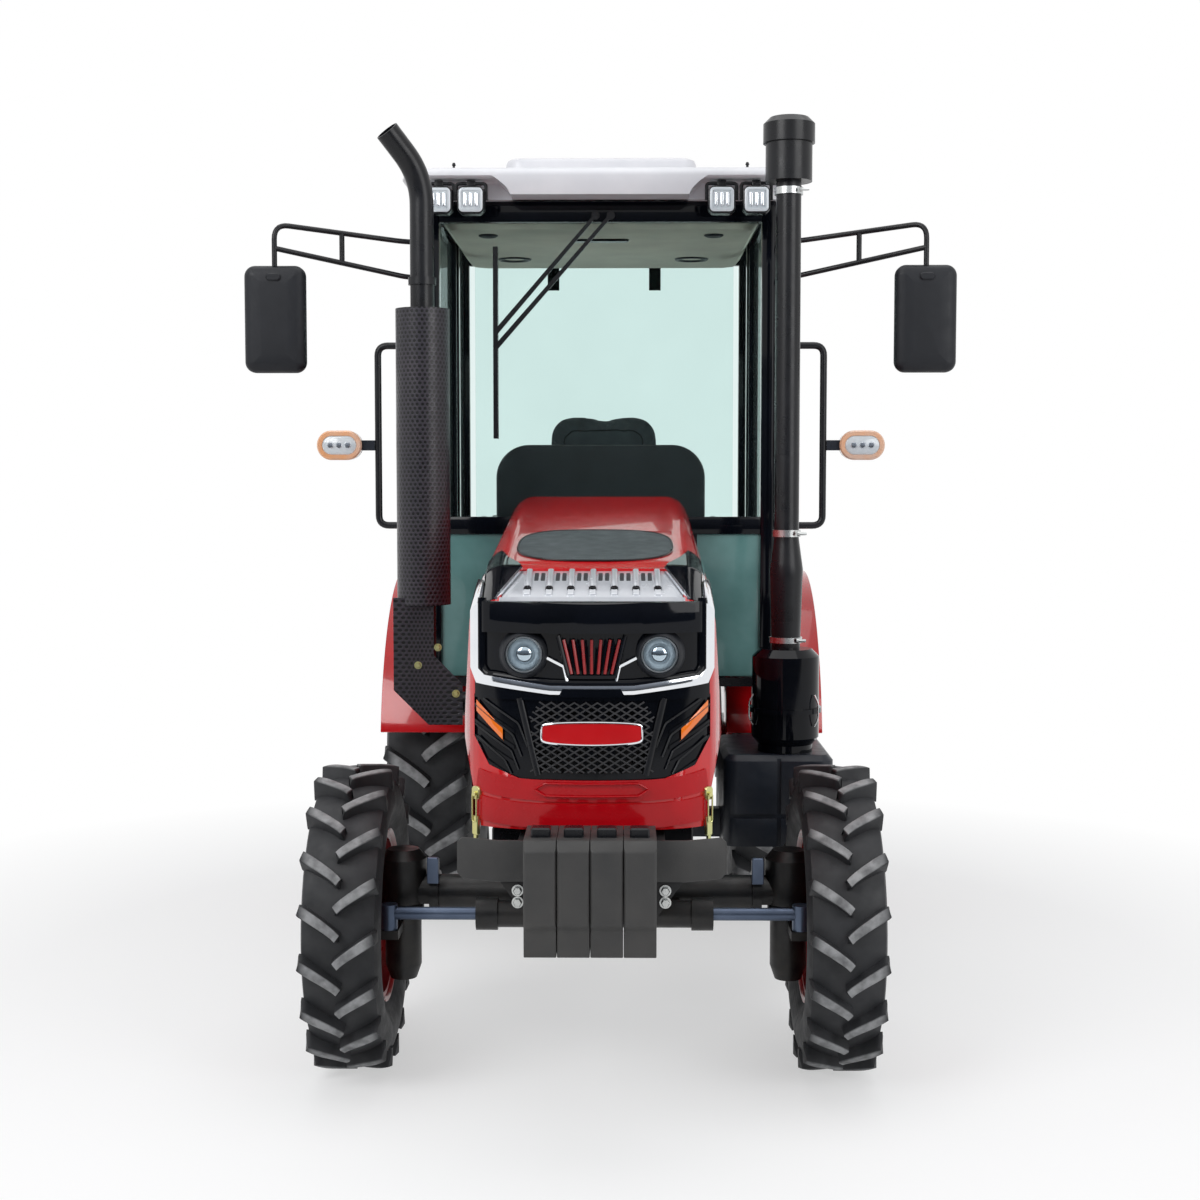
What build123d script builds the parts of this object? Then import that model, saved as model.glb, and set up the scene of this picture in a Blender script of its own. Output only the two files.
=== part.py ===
from build123d import *
import math
import os

# Narrow four-wheel-drive farm tractor with a glazed cab, as separate named pieces.
# Millimetres. +Z is up, the tractor faces -Y, its left side is +X, and the origin is on the ground under
# the middle of its box. A name that ends in V is a distance behind the front axle, and one that ends in U
# is a distance outwards from a wheel's middle plane.

os.makedirs("parts", exist_ok=True)

# Layout
WHEELBASE = 2000
FRONT_OVERHANG = 880
REAR_OVERHANG = 950
OVERALL_LENGTH = FRONT_OVERHANG + WHEELBASE + REAR_OVERHANG
FRONT_AXLE_Y = FRONT_OVERHANG - OVERALL_LENGTH / 2
REAR_AXLE_Y = FRONT_AXLE_Y + WHEELBASE
REAR_END = WHEELBASE + REAR_OVERHANG
SEAT_GAP = 0.3
MOVING_GAP = 6

# Front wheels
FRONT_TYRE_D = 865
FRONT_TYRE_W = 215
FRONT_TRACK = 1366
FRONT_RIM_SEAT_R = 229
FRONT_RIM_HALF = 70
FRONT_DISC_U = -22
FRONT_DISH = 30
FRONT_LUGS = 18
FRONT_LUG_H = 32
FRONT_LUG_RUN = 75
FRONT_LUG_W = 26
FRONT_HUB_R = 70
FRONT_HUB_U = 40
FRONT_AXLE_Z = FRONT_TYRE_D / 2

# Rear wheels
REAR_TYRE_D = 1260
REAR_TYRE_W = 315
REAR_TRACK = 1290
REAR_RIM_SEAT_R = 356
REAR_RIM_HALF = 125
REAR_DISC_U = -30
REAR_DISH = -44
REAR_LUGS = 20
REAR_LUG_H = 42
REAR_LUG_RUN = 115
REAR_LUG_W = 38
REAR_HUB_R = 110
REAR_AXLE_Z = REAR_TYRE_D / 2

# Wheel details shared by front and rear
RIM_FLANGE_H = 18
RIM_FLANGE_T = 10
RIM_WALL = 9
BEAD_GAP = 3
DISC_T = 12
LUG_OVERLAP = 6
LUG_TAPER = 6
HUB_SIDES = 24
WHEEL_NUTS = 8
NUT_R = 13
NUT_H = 14
NUT_MARGIN = 20
HUB_FLANGE_MARGIN = 42

# Front axle and steering
KINGPIN_INSET = 128
KINGPIN_X = FRONT_TRACK / 2 - KINGPIN_INSET
KINGPIN_R = 30
AXLE_TUBE_R = 50
AXLE_TUBE_Z = 500
AXLE_TUBE_SIDES = 16
AXLE_CASE_R = 92
AXLE_CASE_HALF = 78
AXLE_CONE_LENGTH = 70
AXLE_FLANGE_HALF = 62
AXLE_FLANGE_T = 26
AXLE_FLANGE_INSET = 80
BEVEL_BOX_R = 68
BEVEL_BOX_TOP = 625
BEVEL_BOX_BOTTOM = 472
BEVEL_CAP_H = 26
BEVEL_CAP_R = 46
KINGPIN_TOP_WALL = 40
KNUCKLE_R = 52
KNUCKLE_BOTTOM = 250
KNUCKLE_FOOT_H = 40
KNUCKLE_FOOT_R = 38
KNUCKLE_COLLAR_R = 60
KNUCKLE_COLLAR_H = 24
SPINDLE_R = 35
FINAL_CASE_R = 78
FINAL_CASE_DEPTH = 62
TRUNNION_R = 30
TRUNNION_HALF = 100
PIVOT_PLATE_T = 18
PIVOT_PLATE_HALF = 75
PIVOT_PLATE_BOTTOM = 455
STEER_ARM = 160
STEER_ARM_T = 25
STEER_ARM_HALF = 28
STEER_ARM_TOP = 430
STEER_EYE_OFFSET = 20
STEER_EYE_X = KINGPIN_X + STEER_EYE_OFFSET
STEER_EYE_R = 24
STEER_EYE_H = 26
STEER_ROD_R = 18
STEER_ROD_Z = 475
STEER_CYLINDER_R = 38
STEER_CAP_R = 46
STEER_CAP_LENGTH = 60
STEER_CYLINDER_INSET = 225
STEER_CYLINDER_HALF = KINGPIN_X - STEER_CYLINDER_INSET
STEER_BRACKET_W = 30
STEER_BRACKET_INSET = 90
STEER_BRACKET_HALF = 15

# Front frame, weights and bumper
RAIL_X = 160
RAIL_T = 25
RAIL_BOTTOM = 600
RAIL_TOP = 780
RAIL_REAR = 260
SADDLE_T = 40
FRAME_PLATE_HALF = 230
FRAME_PLATE_FRONT = -660
FRAME_PLATE_T = 20
FRAME_PLATE_BOTTOM = 570
BUMPER_HALF = 340
BUMPER_BOTTOM = 680
BUMPER_TOP = 785
BUMPER_T = 8
BUMPER_WING = 105
BUMPER_SWEEP = 45
BUMPER_CORNER = 14
WEIGHT_COUNT = 4
WEIGHT_PITCH = 80
WEIGHT_GAP = 1.5
WEIGHT_BOTTOM = 540
WEIGHT_TOP = 824
WEIGHT_DEPTH = 130
WEIGHT_FOOT_H = 66
WEIGHT_FOOT_STEP = 18
WEIGHT_CORNER = 24
WEIGHT_EDGE = 6
CARRIER_Z = 740
CARRIER_H = 60
CARRIER_T = 22

# Engine, gearbox and rear axle
ENGINE_HALF = 205
ENGINE_FRONT = -60
ENGINE_REAR = 640
ENGINE_TOP = 1280
SUMP_HALF = 140
SUMP_FRONT = 150
SUMP_BOTTOM = 560
GEARBOX_HALF = 190
GEARBOX_TOP = 940
GEARBOX_BOTTOM = 530
GEARBOX_EDGE = 40
BELL_FLANGE = 30
BELL_FLANGE_T = 40
BELL_BOTTOM = 560
TRANSFER_FRONT = 800
TRANSFER_HALF = 80
TRANSFER_LENGTH = 160
TRANSFER_WALL = 20
PROP_SHAFT_R = 28
REAR_CASE_AHEAD = 300
REAR_CASE_BEHIND = 240
REAR_CASE_FRONT = WHEELBASE - REAR_CASE_AHEAD
REAR_CASE_REAR = WHEELBASE + REAR_CASE_BEHIND
REAR_CASE_HALF = 220
REAR_CASE_BOTTOM = 440
REAR_CASE_EDGE = 50
TRUMPET_R = 95
TRUMPET_ROOT_R = 150
TRUMPET_ROOT = 90
TRUMPET_SIDES = 20
TRUMPET_FLANGE_R = 130
TRUMPET_FLANGE_T = 25
TRUMPET_INSET = 171
TRUMPET_END = REAR_TRACK / 2 - TRUMPET_INSET
AXLE_SHAFT_R = 45
AXLE_SHAFT_DEPTH = 134
AXLE_SHAFT_END_GAP = 2

# Rear linkage
LINK_PIVOT_AHEAD = 40
LINK_PIVOT_V = REAR_CASE_REAR - LINK_PIVOT_AHEAD
LINK_PIVOT_Z = 500
LINK_PIVOT_GAP = 25
LINK_PIVOT_X = REAR_CASE_HALF + LINK_PIVOT_GAP
LINK_PIN_R = 16
LINK_END_X = 341
LINK_T = 18
LINK_H = 60
LINK_NECK_H = 44
LINK_EYE_R = 32
LINK_BORE_R = 14.2
LINK_STRAIGHT = 120
LINK_SPREAD = 180
LIFT_CASE_HALF = 190
LIFT_CASE_LENGTH = 160
LIFT_CASE_REAR = REAR_CASE_REAR + LIFT_CASE_LENGTH
LIFT_CASE_BOTTOM = 740
LIFT_CASE_EDGE = 30
ROCKSHAFT_BEHIND = 90
ROCKSHAFT_V = REAR_CASE_REAR + ROCKSHAFT_BEHIND
ROCKSHAFT_Z = 850
ROCKSHAFT_R = 30
LIFT_ARM_REACH = 260
LIFT_ARM_INSET = 44
LIFT_ARM_X = LINK_END_X - LIFT_ARM_INSET
LIFT_ARM_T = 22
LIFT_ARM_ROOT_R = 45
LIFT_ARM_TIP_R = 24
LIFT_ARM_OVER = 10
LIFT_ROD_R = 13
LIFT_ROD_V = ROCKSHAFT_V + LIFT_ARM_REACH
LIFT_ROD_OVER = 25
LIFT_PIN_R = 10
TOP_LINK_BORE_R = 12.7
TOP_LINK_Z = 800
TOP_LINK_BEHIND = 38
TOP_LINK_EAR_R = 34
TOP_LINK_EAR_T = 18
TOP_LINK_SLOT = 52
DRAWBAR_HALF = 40
DRAWBAR_T = 32
DRAWBAR_FRONT = WHEELBASE - 200
DRAWBAR_REAR = WHEELBASE + 640
DRAWBAR_PIN_R = 16
DRAWBAR_PIN_IN = 60
PTO_R = 17.5
PTO_Z = 620
PTO_LENGTH = 85
PTO_DEPTH = 60
PTO_JOURNAL_R = 22

# Cab places along the tractor
A_PILLAR_V = WHEELBASE - 910
A_PILLAR_D = 60
B_PILLAR_V = WHEELBASE - 170
B_PILLAR_D = 50
C_PILLAR_V = WHEELBASE + 290
C_PILLAR_D = 50

# Hood
HOOD_HALF = 335
HOOD_HALF_TOP = 288
HOOD_HALF_LOW = 285
HOOD_WAIST_Z = 1030
HOOD_WALL = 10
HOOD_RUN_ON = 100
HOOD_FRONT = -625
HOOD_LIP_V = -600
HOOD_LIP_Z = 866
HOOD_TO_CAB = 90
HOOD_REAR = A_PILLAR_V - HOOD_TO_CAB
HOOD_BOTTOM = 800
HOOD_CHIN_V = -450
HOOD_FLANK_V = -100
HOOD_SIDE_BOTTOM = 985
HOOD_REAR_BOTTOM = 1060
HOOD_BROW_Z = 1358
HOOD_NOSE_V = -330
HOOD_NOSE_Z = 1455
HOOD_REAR_TOP = 1630
HOOD_SHOULDER_R = 80
HOOD_FACE_HALF = 225
HOOD_FACE_BOW = 40
HOOD_CORNER_V = 210
HOOD_HINGE_AHEAD = 30
HOOD_HINGE_DROP = 60
HOOD_HINGE_V = HOOD_REAR - HOOD_HINGE_AHEAD
HOOD_HINGE_Z = HOOD_REAR_TOP - HOOD_HINGE_DROP
HOOD_PIN_R = 12
HOOD_PIN_OVER = 20
HOOD_EAR_DROP = 3
HOOD_EAR_X = 60
HOOD_EAR_T = 25

# Nose panels, in the front view
PANEL_INSET = 5
PANEL_T = 8
MASK_BOTTOM = 928
MASK_TOP = 1138
MASK_BOTTOM_HALF = 180
MASK_HALF = 302
MASK_CHEEK_HALF = 262
MASK_CHEEK_Z = 960
MASK_SIDE_Z = 1030
LATTICE_BOTTOM = 944
LATTICE_TOP = 1128
LATTICE_HALF = 160
LATTICE_W = 42
LATTICE_H = 30
LATTICE_BAR = 9
BADGE_BAR_Z = 1047
BADGE_BAR_HALF = 128
BADGE_BAR_H = 58
BADGE_BAR_POINT = 18
BADGE_BAR_STAND = 3
LOUVRES = 4
LOUVRE_PITCH = 40
LOUVRE_H = 9
LOUVRE_IN = 196
LOUVRE_RISE = 62
LOUVRE_STAND = 4
INDICATOR_OUT = 296
INDICATOR_IN = 226
INDICATOR_TOP = 1124
INDICATOR_LOW = 1026
INDICATOR_H = 30
INDICATOR_STAND = 2
TRIM_T = 8
TRIM_W = 22
TRIM_HALF = 312
TRIM_TOP = 1420
TRIM_KNEE_Z = 1205
TRIM_HEEL_HALF = 296
TRIM_HEEL_Z = 1168
TRIM_LOW_HALF = 105
TRIM_LOW_Z = 1146
LAMP_HALF = 278
LAMP_LOW_HALF = 90
LAMP_LOW_Z = 1172
LAMP_BOTTOM = 1192
LAMP_TOP = 1350
VISOR_BOTTOM = 1300
VISOR_STAND = 22
VISOR_TOP = 1378
LAMP_GRILLE_TOP_HALF = 80
LAMP_GRILLE_LOW_HALF = 52
LAMP_GRILLE_Z = 1186
LAMP_GRILLE_BARS = 9
LAMP_GRILLE_BAR_W = 6
LAMP_GRILLE_RISE = 4
HEADLAMP_X = 170
HEADLAMP_Z = 1246
HEADLAMP_R = 46
HEADLAMP_LENGTH = 66
HEADLAMP_SET_BACK = 6
HEADLAMP_EDGE = 8
TRAY_FRONT = -560
TRAY_REAR = -350
TRAY_HALF = 232
TRAY_RIBS = 7
TRAY_RIB_PITCH = 56
TRAY_RIB_W = 16
TRAY_RIB_MARGIN = 40
TRAY_RIB_STAND = 5
TOP_MESH_FRONT = -265
TOP_MESH_REAR = 250
TOP_MESH_HALF = 200
TOP_MESH_CORNER = 50
TOP_MESH_SLOTS = 8
TOP_MESH_SLOT_W = 26
TOP_MESH_MARGIN = 40

# Cab
FLOOR_Z = 1000
FLOOR_T = 30
FLOOR_STEP_V = WHEELBASE - 615
CAB_HALF = 605
PILLAR_W = 50
PILLAR_EDGE = 12
ROOF_Z = 2640
FENDER_CLEAR = 32
FLOOR_HALF = REAR_TRACK / 2 - REAR_TYRE_W / 2 - FENDER_CLEAR
WALL_T = 30
WALL_SET_BACK = 5
WALL_V = A_PILLAR_V + WALL_SET_BACK
REAR_WALL_SET_BACK = 10
FENDER_SEAM = 3
FRONT_SILL_Z = 1500
FRONT_SILL_H = 60
HEADER_H = 70
HEADER_D = 45
REAR_WALL_TOP = 1500
GLASS_T = 6
GLASS_SET_BACK = 25
GLASS_V = A_PILLAR_V + GLASS_SET_BACK
COWL_HALF = 335
CAB_MOUNT_V = WHEELBASE - 500
CAB_MOUNT_L = 60
CAB_MOUNT_HALF = 150
EAR_ARM_T = 30
EAR_POST_V = A_PILLAR_V - 45
EAR_POST_D = 35
ROOF_HALF = 670
ROOF_OVER_FRONT = 160
ROOF_OVER_REAR = 150
ROOF_FRONT = A_PILLAR_V - ROOF_OVER_FRONT
ROOF_REAR = C_PILLAR_V + ROOF_OVER_REAR
ROOF_T = 125
ROOF_CORNER_R = 110
ROOF_EDGE = 45
ROOF_BROW_HALF = 300
ROOF_BROW_SLOPE = 60
LAMP_NOTCH_H = 50
LAMP_NOTCH_D = 130
HATCH_HALF = 330
HATCH_FRONT = ROOF_FRONT + 300
HATCH_REAR = ROOF_REAR - 500
HATCH_T = 52
HATCH_EDGE = 18

# Fenders
FENDER_R = REAR_TYRE_D / 2 + 70
FENDER_T = 10
FENDER_OUT = REAR_TRACK / 2 + REAR_TYRE_W / 2 - 2.5
FENDER_LIP = 26
FENDER_WALL_R = 380
FENDER_START = 12
FENDER_SWEEP = 128

# Doors and rear window
DOOR_GAP = 8
DOOR_T = 40
DOOR_BAR = 45
DOOR_BOTTOM = FLOOR_Z + 40
DOOR_KNEE_V = WHEELBASE - 650
DOOR_HIP_V = B_PILLAR_V - 195
DOOR_HIP_Z = REAR_AXLE_Z + FENDER_R - 5
DOOR_INSET = 5
DOOR_GLASS_IN = 17
DOOR_SILL_H = 54
HINGE_R = 8
HINGE_GAP = 0.5
HINGE_L = 80
HINGE_LEAF = 44
HINGE_LEAF_ROOT = 28
DOOR_HINGE_X = CAB_HALF + HINGE_R + HINGE_GAP
DOOR_HINGE_V = B_PILLAR_V + 4
DOOR_HINGE_LOW = 150
DOOR_HINGE_HIGH = 300
WINDOW_HALF = 535
WINDOW_BOTTOM = REAR_WALL_TOP + 15
WINDOW_HINGE_Z = ROOF_Z - 55
WINDOW_HINGE_X = 210
WINDOW_HINGE_HALF = 30
WINDOW_PLATE_HALF = 24
WINDOW_PLATE_H = 110
WINDOW_PLATE_T = 8
WINDOW_GAP = 5
WINDOW_TOP_GAP = 15

# Cab inside
DASH_HALF = 365
DASH_TOP = 1810
DASH_V = A_PILLAR_V + A_PILLAR_D
DASH_DEPTH = 160
DASH_CORNER = 110
DASH_KNEE_Z = 1170
DASH_KNEE_DEPTH = 90
WHEEL_V = WHEELBASE - 490
WHEEL_Z = 1700
WHEEL_R = 194
WHEEL_RIM_W = 28
WHEEL_RIM_T = 24
WHEEL_SIDES = 24
WHEEL_TILT = 30
WHEEL_HUB_R = 36
WHEEL_SPOKE_W = 26
WHEEL_SPOKE_T = 10
COLUMN_R = 18
COLUMN_L = 460
SEAT_HALF = 230
SEAT_FRONT = WHEELBASE - 300
SEAT_L = 410
SEAT_Z = 1390
SEAT_T = 110
SEAT_BACK_T = 115
SEAT_BACK_GAP = 5
SEAT_BACK_TOP = 1960
SEAT_EDGE = 22
SEAT_BASE_HALF = 200
SEAT_BASE_FRONT = WHEELBASE - 220
SEAT_BASE_L = 370
SEAT_BASE_FLARE = 40

# Rails, mirrors, lamps, wiper and step
TUBE_SIDES = 8
RAIL_TUBE_R = 12
GRAB_X = 770
GRAB_V = A_PILLAR_V + 20
GRAB_TOP = 2150
GRAB_BOTTOM = 1530
GRAB_BEND = 35
MIRROR_TUBE_R = 9
MIRROR_ARM_V = A_PILLAR_V + 25
MIRROR_ARM_Z = 2505
MIRROR_LOW_Z = 2385
MIRROR_LEG = 60
MIRROR_BEND = 50
MIRROR_X = 1088
MIRROR_V = A_PILLAR_V - 165
MIRROR_RISE = 35
MIRROR_JOIN_Z = 2460
MIRROR_HALF = 102.5
MIRROR_TOP = 2402
MIRROR_BOTTOM = 2046
MIRROR_T = 50
MIRROR_CORNER = 34
MIRROR_EDGE = 12
WORK_LAMP_XS = (-540, -432, 408, 524)
WORK_LAMP_HALF = 46
WORK_LAMP_CORNER = 14
WORK_LAMP_V = ROOF_FRONT + 15
WORK_LAMP_T = 55
WORK_LAMP_DROP = 28
WORK_LAMP_STEM = 15
WORK_LAMP_STEM_IN = 15
WORK_LAMP_STEM_D = 25
MARKER_X = 903
MARKER_HALF = 77
MARKER_Z = 1807
MARKER_HALF_H = 50
MARKER_T = 40
MARKER_STEM_T = 20
MARKER_STEM_H = 35
WIPER_TOP_Z = 2590
WIPER_PIVOT_X = 10
WIPER_SPACING = 52
WIPER_END_X = -360
WIPER_END_Z = 2170
WIPER_BLADE_TOP = 2485
WIPER_BLADE_BOTTOM = 1830
WIPER_ARM_W = 16
WIPER_T = 8
WIPER_STAND = 12
WIPER_PIVOT_R = 14
STEP_IN = 540
STEP_PLATE_T = 20
STEP_OUT = 740
STEP_UPPER_OUT = 700
STEP_FRONT = A_PILLAR_V + 20
STEP_L = 170
STEP_BOTTOM = 480
STEP_RISE = 250
STEP_TREAD_T = 20

# Stacks and tank
EXHAUST_X = -557
EXHAUST_V = 600
EXHAUST_R = 38
EXHAUST_SIDES = 16
EXHAUST_TOP = 2640
EXHAUST_PORT_Z = 970
EXHAUST_BEND = 90
EXHAUST_TAIL_OUT = 100
EXHAUST_TAIL_AHEAD = 60
EXHAUST_TAIL_RISE = 130
EXHAUST_CLAMP_Z = 2300
EXHAUST_CLAMP_H = 24
EXHAUST_CLAMP_T = 6
GUARD_R = 85
GUARD_WALL = 4
GUARD_BOTTOM = 1290
GUARD_TOP = 2225
GUARD_RING = 12
SHIELD_AHEAD = 66
SHIELD_T = 6
SHIELD_OUT = -648
SHIELD_IN = -430
SHIELD_BOTTOM = 910
SHIELD_HEEL = 110
SHIELD_NECK = 90
SHIELD_STRAP = 24
INTAKE_X = 604
INTAKE_V = 660
CLEANER_R = 108
CLEANER_FOOT_R = 88
CLEANER_TOP = 1144
CLEANER_CUP_TOP = 940
CLEANER_CLAMP = 8
CLEANER_CLAMP_H = 16
CLEANER_SHOULDER = 24
INTAKE_R = 40
HOSE_R = 46
HOSE_BULGE_R = 54
HOSE_BULGE_Z = 1400
HOSE_TOP = 1500
PRECLEANER_R = 82
PRECLEANER_MESH_R = 74
PRECLEANER_BOTTOM = 2630
PRECLEANER_CAP_Z = 2750
PRECLEANER_TOP = 2830
PRECLEANER_EDGE = 20
TANK_IN = 400
TANK_OUT = 750
TANK_FRONT = 540
TANK_TO_CAB = 50
TANK_REAR = A_PILLAR_V - TANK_TO_CAB
TANK_BOTTOM = 520
TANK_TOP = 812
TANK_CORNER_R = 45
TANK_EDGE = 18
TANK_GROOVE = 8
TANK_GROOVE_W = 14
TANK_STRAP_W = 60
TANK_STRAP_V = 220
TANK_STRAP_T = 12
TANK_STRAP_RISE = 80


def at(v):
    """Y of a point v behind the front axle."""
    return FRONT_AXLE_Y + v


def save(builder, name):
    """Label a finished piece and write its STEP file."""
    builder.part.label = name
    export_step(builder.part, f"parts/{name}.step")


def span(x0, x1, v0, v1, z0, z1, mode=Mode.ADD):
    """Box between two corners, given as x, distance behind the front axle, and z."""
    centre = ((x0 + x1) / 2, at((v0 + v1) / 2), (z0 + z1) / 2)
    with Locations(centre):
        Box(abs(x1 - x0), abs(v1 - v0), abs(z1 - z0), mode=mode)


def rod_x(radius, x0, x1, v, z, mode=Mode.ADD):
    """Cylinder along X."""
    with Locations(Location(((x0 + x1) / 2, at(v), z), (0, 90, 0))):
        Cylinder(radius, abs(x1 - x0), mode=mode)


def rod_y(radius, x, v0, v1, z, mode=Mode.ADD):
    """Cylinder along Y."""
    with Locations(Location((x, at((v0 + v1) / 2), z), (90, 0, 0))):
        Cylinder(radius, abs(v1 - v0), mode=mode)


def rod_z(radius, x, v, z0, z1, mode=Mode.ADD):
    """Cylinder along Z."""
    with Locations((x, at(v), (z0 + z1) / 2)):
        Cylinder(radius, abs(z1 - z0), mode=mode)


def drum(radius, x0, x1, v, z, sides, end_radius=None):
    """Flat-sided drum along X, tapered to another radius at x1 when one is given."""
    with BuildPart() as body:
        for x, r in ((x0, radius), (x1, end_radius or radius)):
            with BuildSketch(Plane.YZ.offset(x)):
                with Locations((at(v), z)):
                    RegularPolygon(r, sides)
        loft(ruled=True)
    return body.part


def outline(plane, points, inset=0):
    """Closed straight-edged outline on a plane, moved inwards by inset."""
    with BuildSketch(plane) as sketch:
        with BuildLine():
            Polyline(*points, close=True)
        make_face()
        if inset:
            offset(amount=-inset, kind=Kind.INTERSECTION, mode=Mode.REPLACE)
    return sketch.sketch


def slab_x(points, x0, x1, inset=0):
    """Plate between x0 and x1 over an outline in v and z."""
    places = [(at(v), z) for v, z in points]
    with BuildPart() as body:
        extrude(outline(Plane.YZ.offset(x0), places, inset), amount=x1 - x0, dir=(1, 0, 0))
    return body.part


def slab_y(points, v0, v1, inset=0):
    """Plate between v0 and v1 over an outline in x and z."""
    with BuildPart() as body:
        extrude(outline(Plane.XZ.offset(-at(v0)), points, inset), amount=v1 - v0, dir=(0, 1, 0))
    return body.part


def slab_z(points, z0, z1, inset=0):
    """Plate between z0 and z1 over an outline in x and v."""
    places = [(x, at(v)) for x, v in points]
    with BuildPart() as body:
        extrude(outline(Plane.XY.offset(z0), places, inset), amount=z1 - z0, dir=(0, 0, 1))
    return body.part


def turned_z(points, x, v):
    """Body turned about an upright axis, from points given as radius and z."""
    axis = (x, at(v), 0)
    with BuildPart() as body:
        with BuildSketch(Plane(origin=axis, x_dir=(1, 0, 0), z_dir=(0, -1, 0))):
            with BuildLine():
                Polyline(*points, close=True)
            make_face()
        revolve(axis=Axis(axis, (0, 0, 1)))
    return body.part


def bend(points, reach):
    """Route with each inner corner cut into two chords that start reach away from it."""
    route = [Vector(*points[0])]
    for before, corner, after in zip(points, points[1:], points[2:]):
        corner = Vector(*corner)
        start = corner + (Vector(*before) - corner).normalized() * reach
        end = corner + (Vector(*after) - corner).normalized() * reach
        route += [start, (start + corner * 2 + end) / 4, end]
    return route + [Vector(*points[-1])]


def tube(route, radius, sides=TUBE_SIDES):
    """Flat-sided tube along a route, mitred at each point."""
    with BuildPart() as body:
        with BuildLine():
            Polyline(*route)
        with BuildSketch(Plane(origin=route[0], z_dir=Vector(*route[1]) - Vector(*route[0]))):
            RegularPolygon(radius, sides)
        sweep(transition=Transition.RIGHT)
    return body.part


def both_sides(points):
    """Closed outline from the points of its right half, mirrored about the middle."""
    return points + [(-x, z) for x, z in reversed(points)]


def tyre(v, z, outer_d, width, seat_r, bead_half, lugs, lug_h, run, lug_w):
    """Lugged tyre on the middle plane: a carcass lofted through flat-sided rings, with two rows of lugs.

    A lug's nose, near the middle of the tread, leads when the tractor rolls forwards. The lugs' corners lie
    on the tyre's outer diameter, and one of them stands on the ground.
    """
    half = width / 2
    tip = outer_d / 2
    tread = tip - lug_h
    bead = seat_r + RIM_FLANGE_H + BEAD_GAP
    shoulder = (0.86 * half, tread - 0.2 * half)
    rings = [(bead_half, bead), (half, (bead + tip) / 2), shoulder, (0.5 * half, tread)]
    rings = [(-u, r) for u, r in rings] + [(u, r) for u, r in reversed(rings)]
    reach = (run + lug_w) / 2
    crown = math.sqrt(tip**2 - reach**2)
    lug_root = tread - 0.5 * half
    lug_end = 0.88 * half
    with BuildPart() as lug:
        with BuildSketch(Plane(origin=(0, 0, crown), x_dir=(1, 0, 0), z_dir=(0, 0, -1))):
            with BuildLine():
                Polyline(
                    (-LUG_OVERLAP, (run - lug_w) / 2),
                    (-LUG_OVERLAP, (run + lug_w) / 2),
                    (lug_end, (lug_w - run) / 2),
                    (lug_end, -(lug_w + run) / 2),
                    close=True,
                )
            make_face()
        extrude(amount=crown - lug_root, taper=-LUG_TAPER)
    pitch = 360 / lugs
    first = 180 + math.degrees(math.asin(reach / tip))
    left_row = [Location((0, at(v), z), (first + i * pitch, 0, 0)) for i in range(lugs)]
    right_row = [Location((0, at(v), z), (first + (i + 0.5) * pitch, 0, 0)) for i in range(lugs)]
    with BuildPart() as body:
        for u, r in rings:
            with BuildSketch(Plane.YZ.offset(u)):
                with Locations((at(v), z)):
                    RegularPolygon(r, 2 * lugs)
        loft(ruled=True)
        with Locations(*left_row):
            add(lug.part)
        with Locations(*right_row):
            add(mirror(lug.part, about=Plane.YZ, mode=Mode.PRIVATE))
        add(drum(seat_r, -width, width, v, z, 2 * lugs), mode=Mode.SUBTRACT)
    return body.part


def rim_barrel(middle, v, z, seat_r, half, sides, disc_u, dish, hub_r):
    """Rim barrel with its two flanges and a dished disc that runs in to the hub."""
    seat = seat_r - SEAT_GAP
    inside = seat - RIM_WALL
    bead = half + SEAT_GAP
    edge = bead + RIM_FLANGE_T
    ring = (v, z, sides)

    def out(u):
        return middle + u

    with BuildPart() as disc:
        add(drum(seat, out(disc_u - DISC_T), out(disc_u), *ring))
        if dish > 0:
            add(drum(inside, out(disc_u), out(disc_u + dish), *ring, end_radius=hub_r))
            low = disc_u - DISC_T
            hollow = drum(inside, out(low), out(low + dish), *ring, end_radius=hub_r)
        else:
            low = disc_u - DISC_T
            add(drum(inside, out(low), out(low + dish), *ring, end_radius=hub_r))
            hollow = drum(inside, out(disc_u), out(disc_u + dish), *ring, end_radius=hub_r)
        add(hollow, mode=Mode.SUBTRACT)
    with BuildPart() as barrel:
        add(drum(seat, out(-bead), out(bead), *ring))
        for end in (1, -1):
            add(drum(seat + RIM_FLANGE_H, out(end * bead), out(end * edge), *ring))
        add(drum(inside, out(-edge), out(edge), *ring), mode=Mode.SUBTRACT)
        add(disc.part)
    return barrel.part


def wheel_nuts(face_x, v, z, circle):
    """Ring of hexagon nuts on a hub flange."""
    with BuildPart() as nuts:
        with BuildSketch(Plane.YZ.offset(face_x)):
            with Locations((at(v), z)):
                with PolarLocations(circle, WHEEL_NUTS):
                    RegularPolygon(NUT_R, 6)
        extrude(amount=NUT_H)
    return nuts.part


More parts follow.
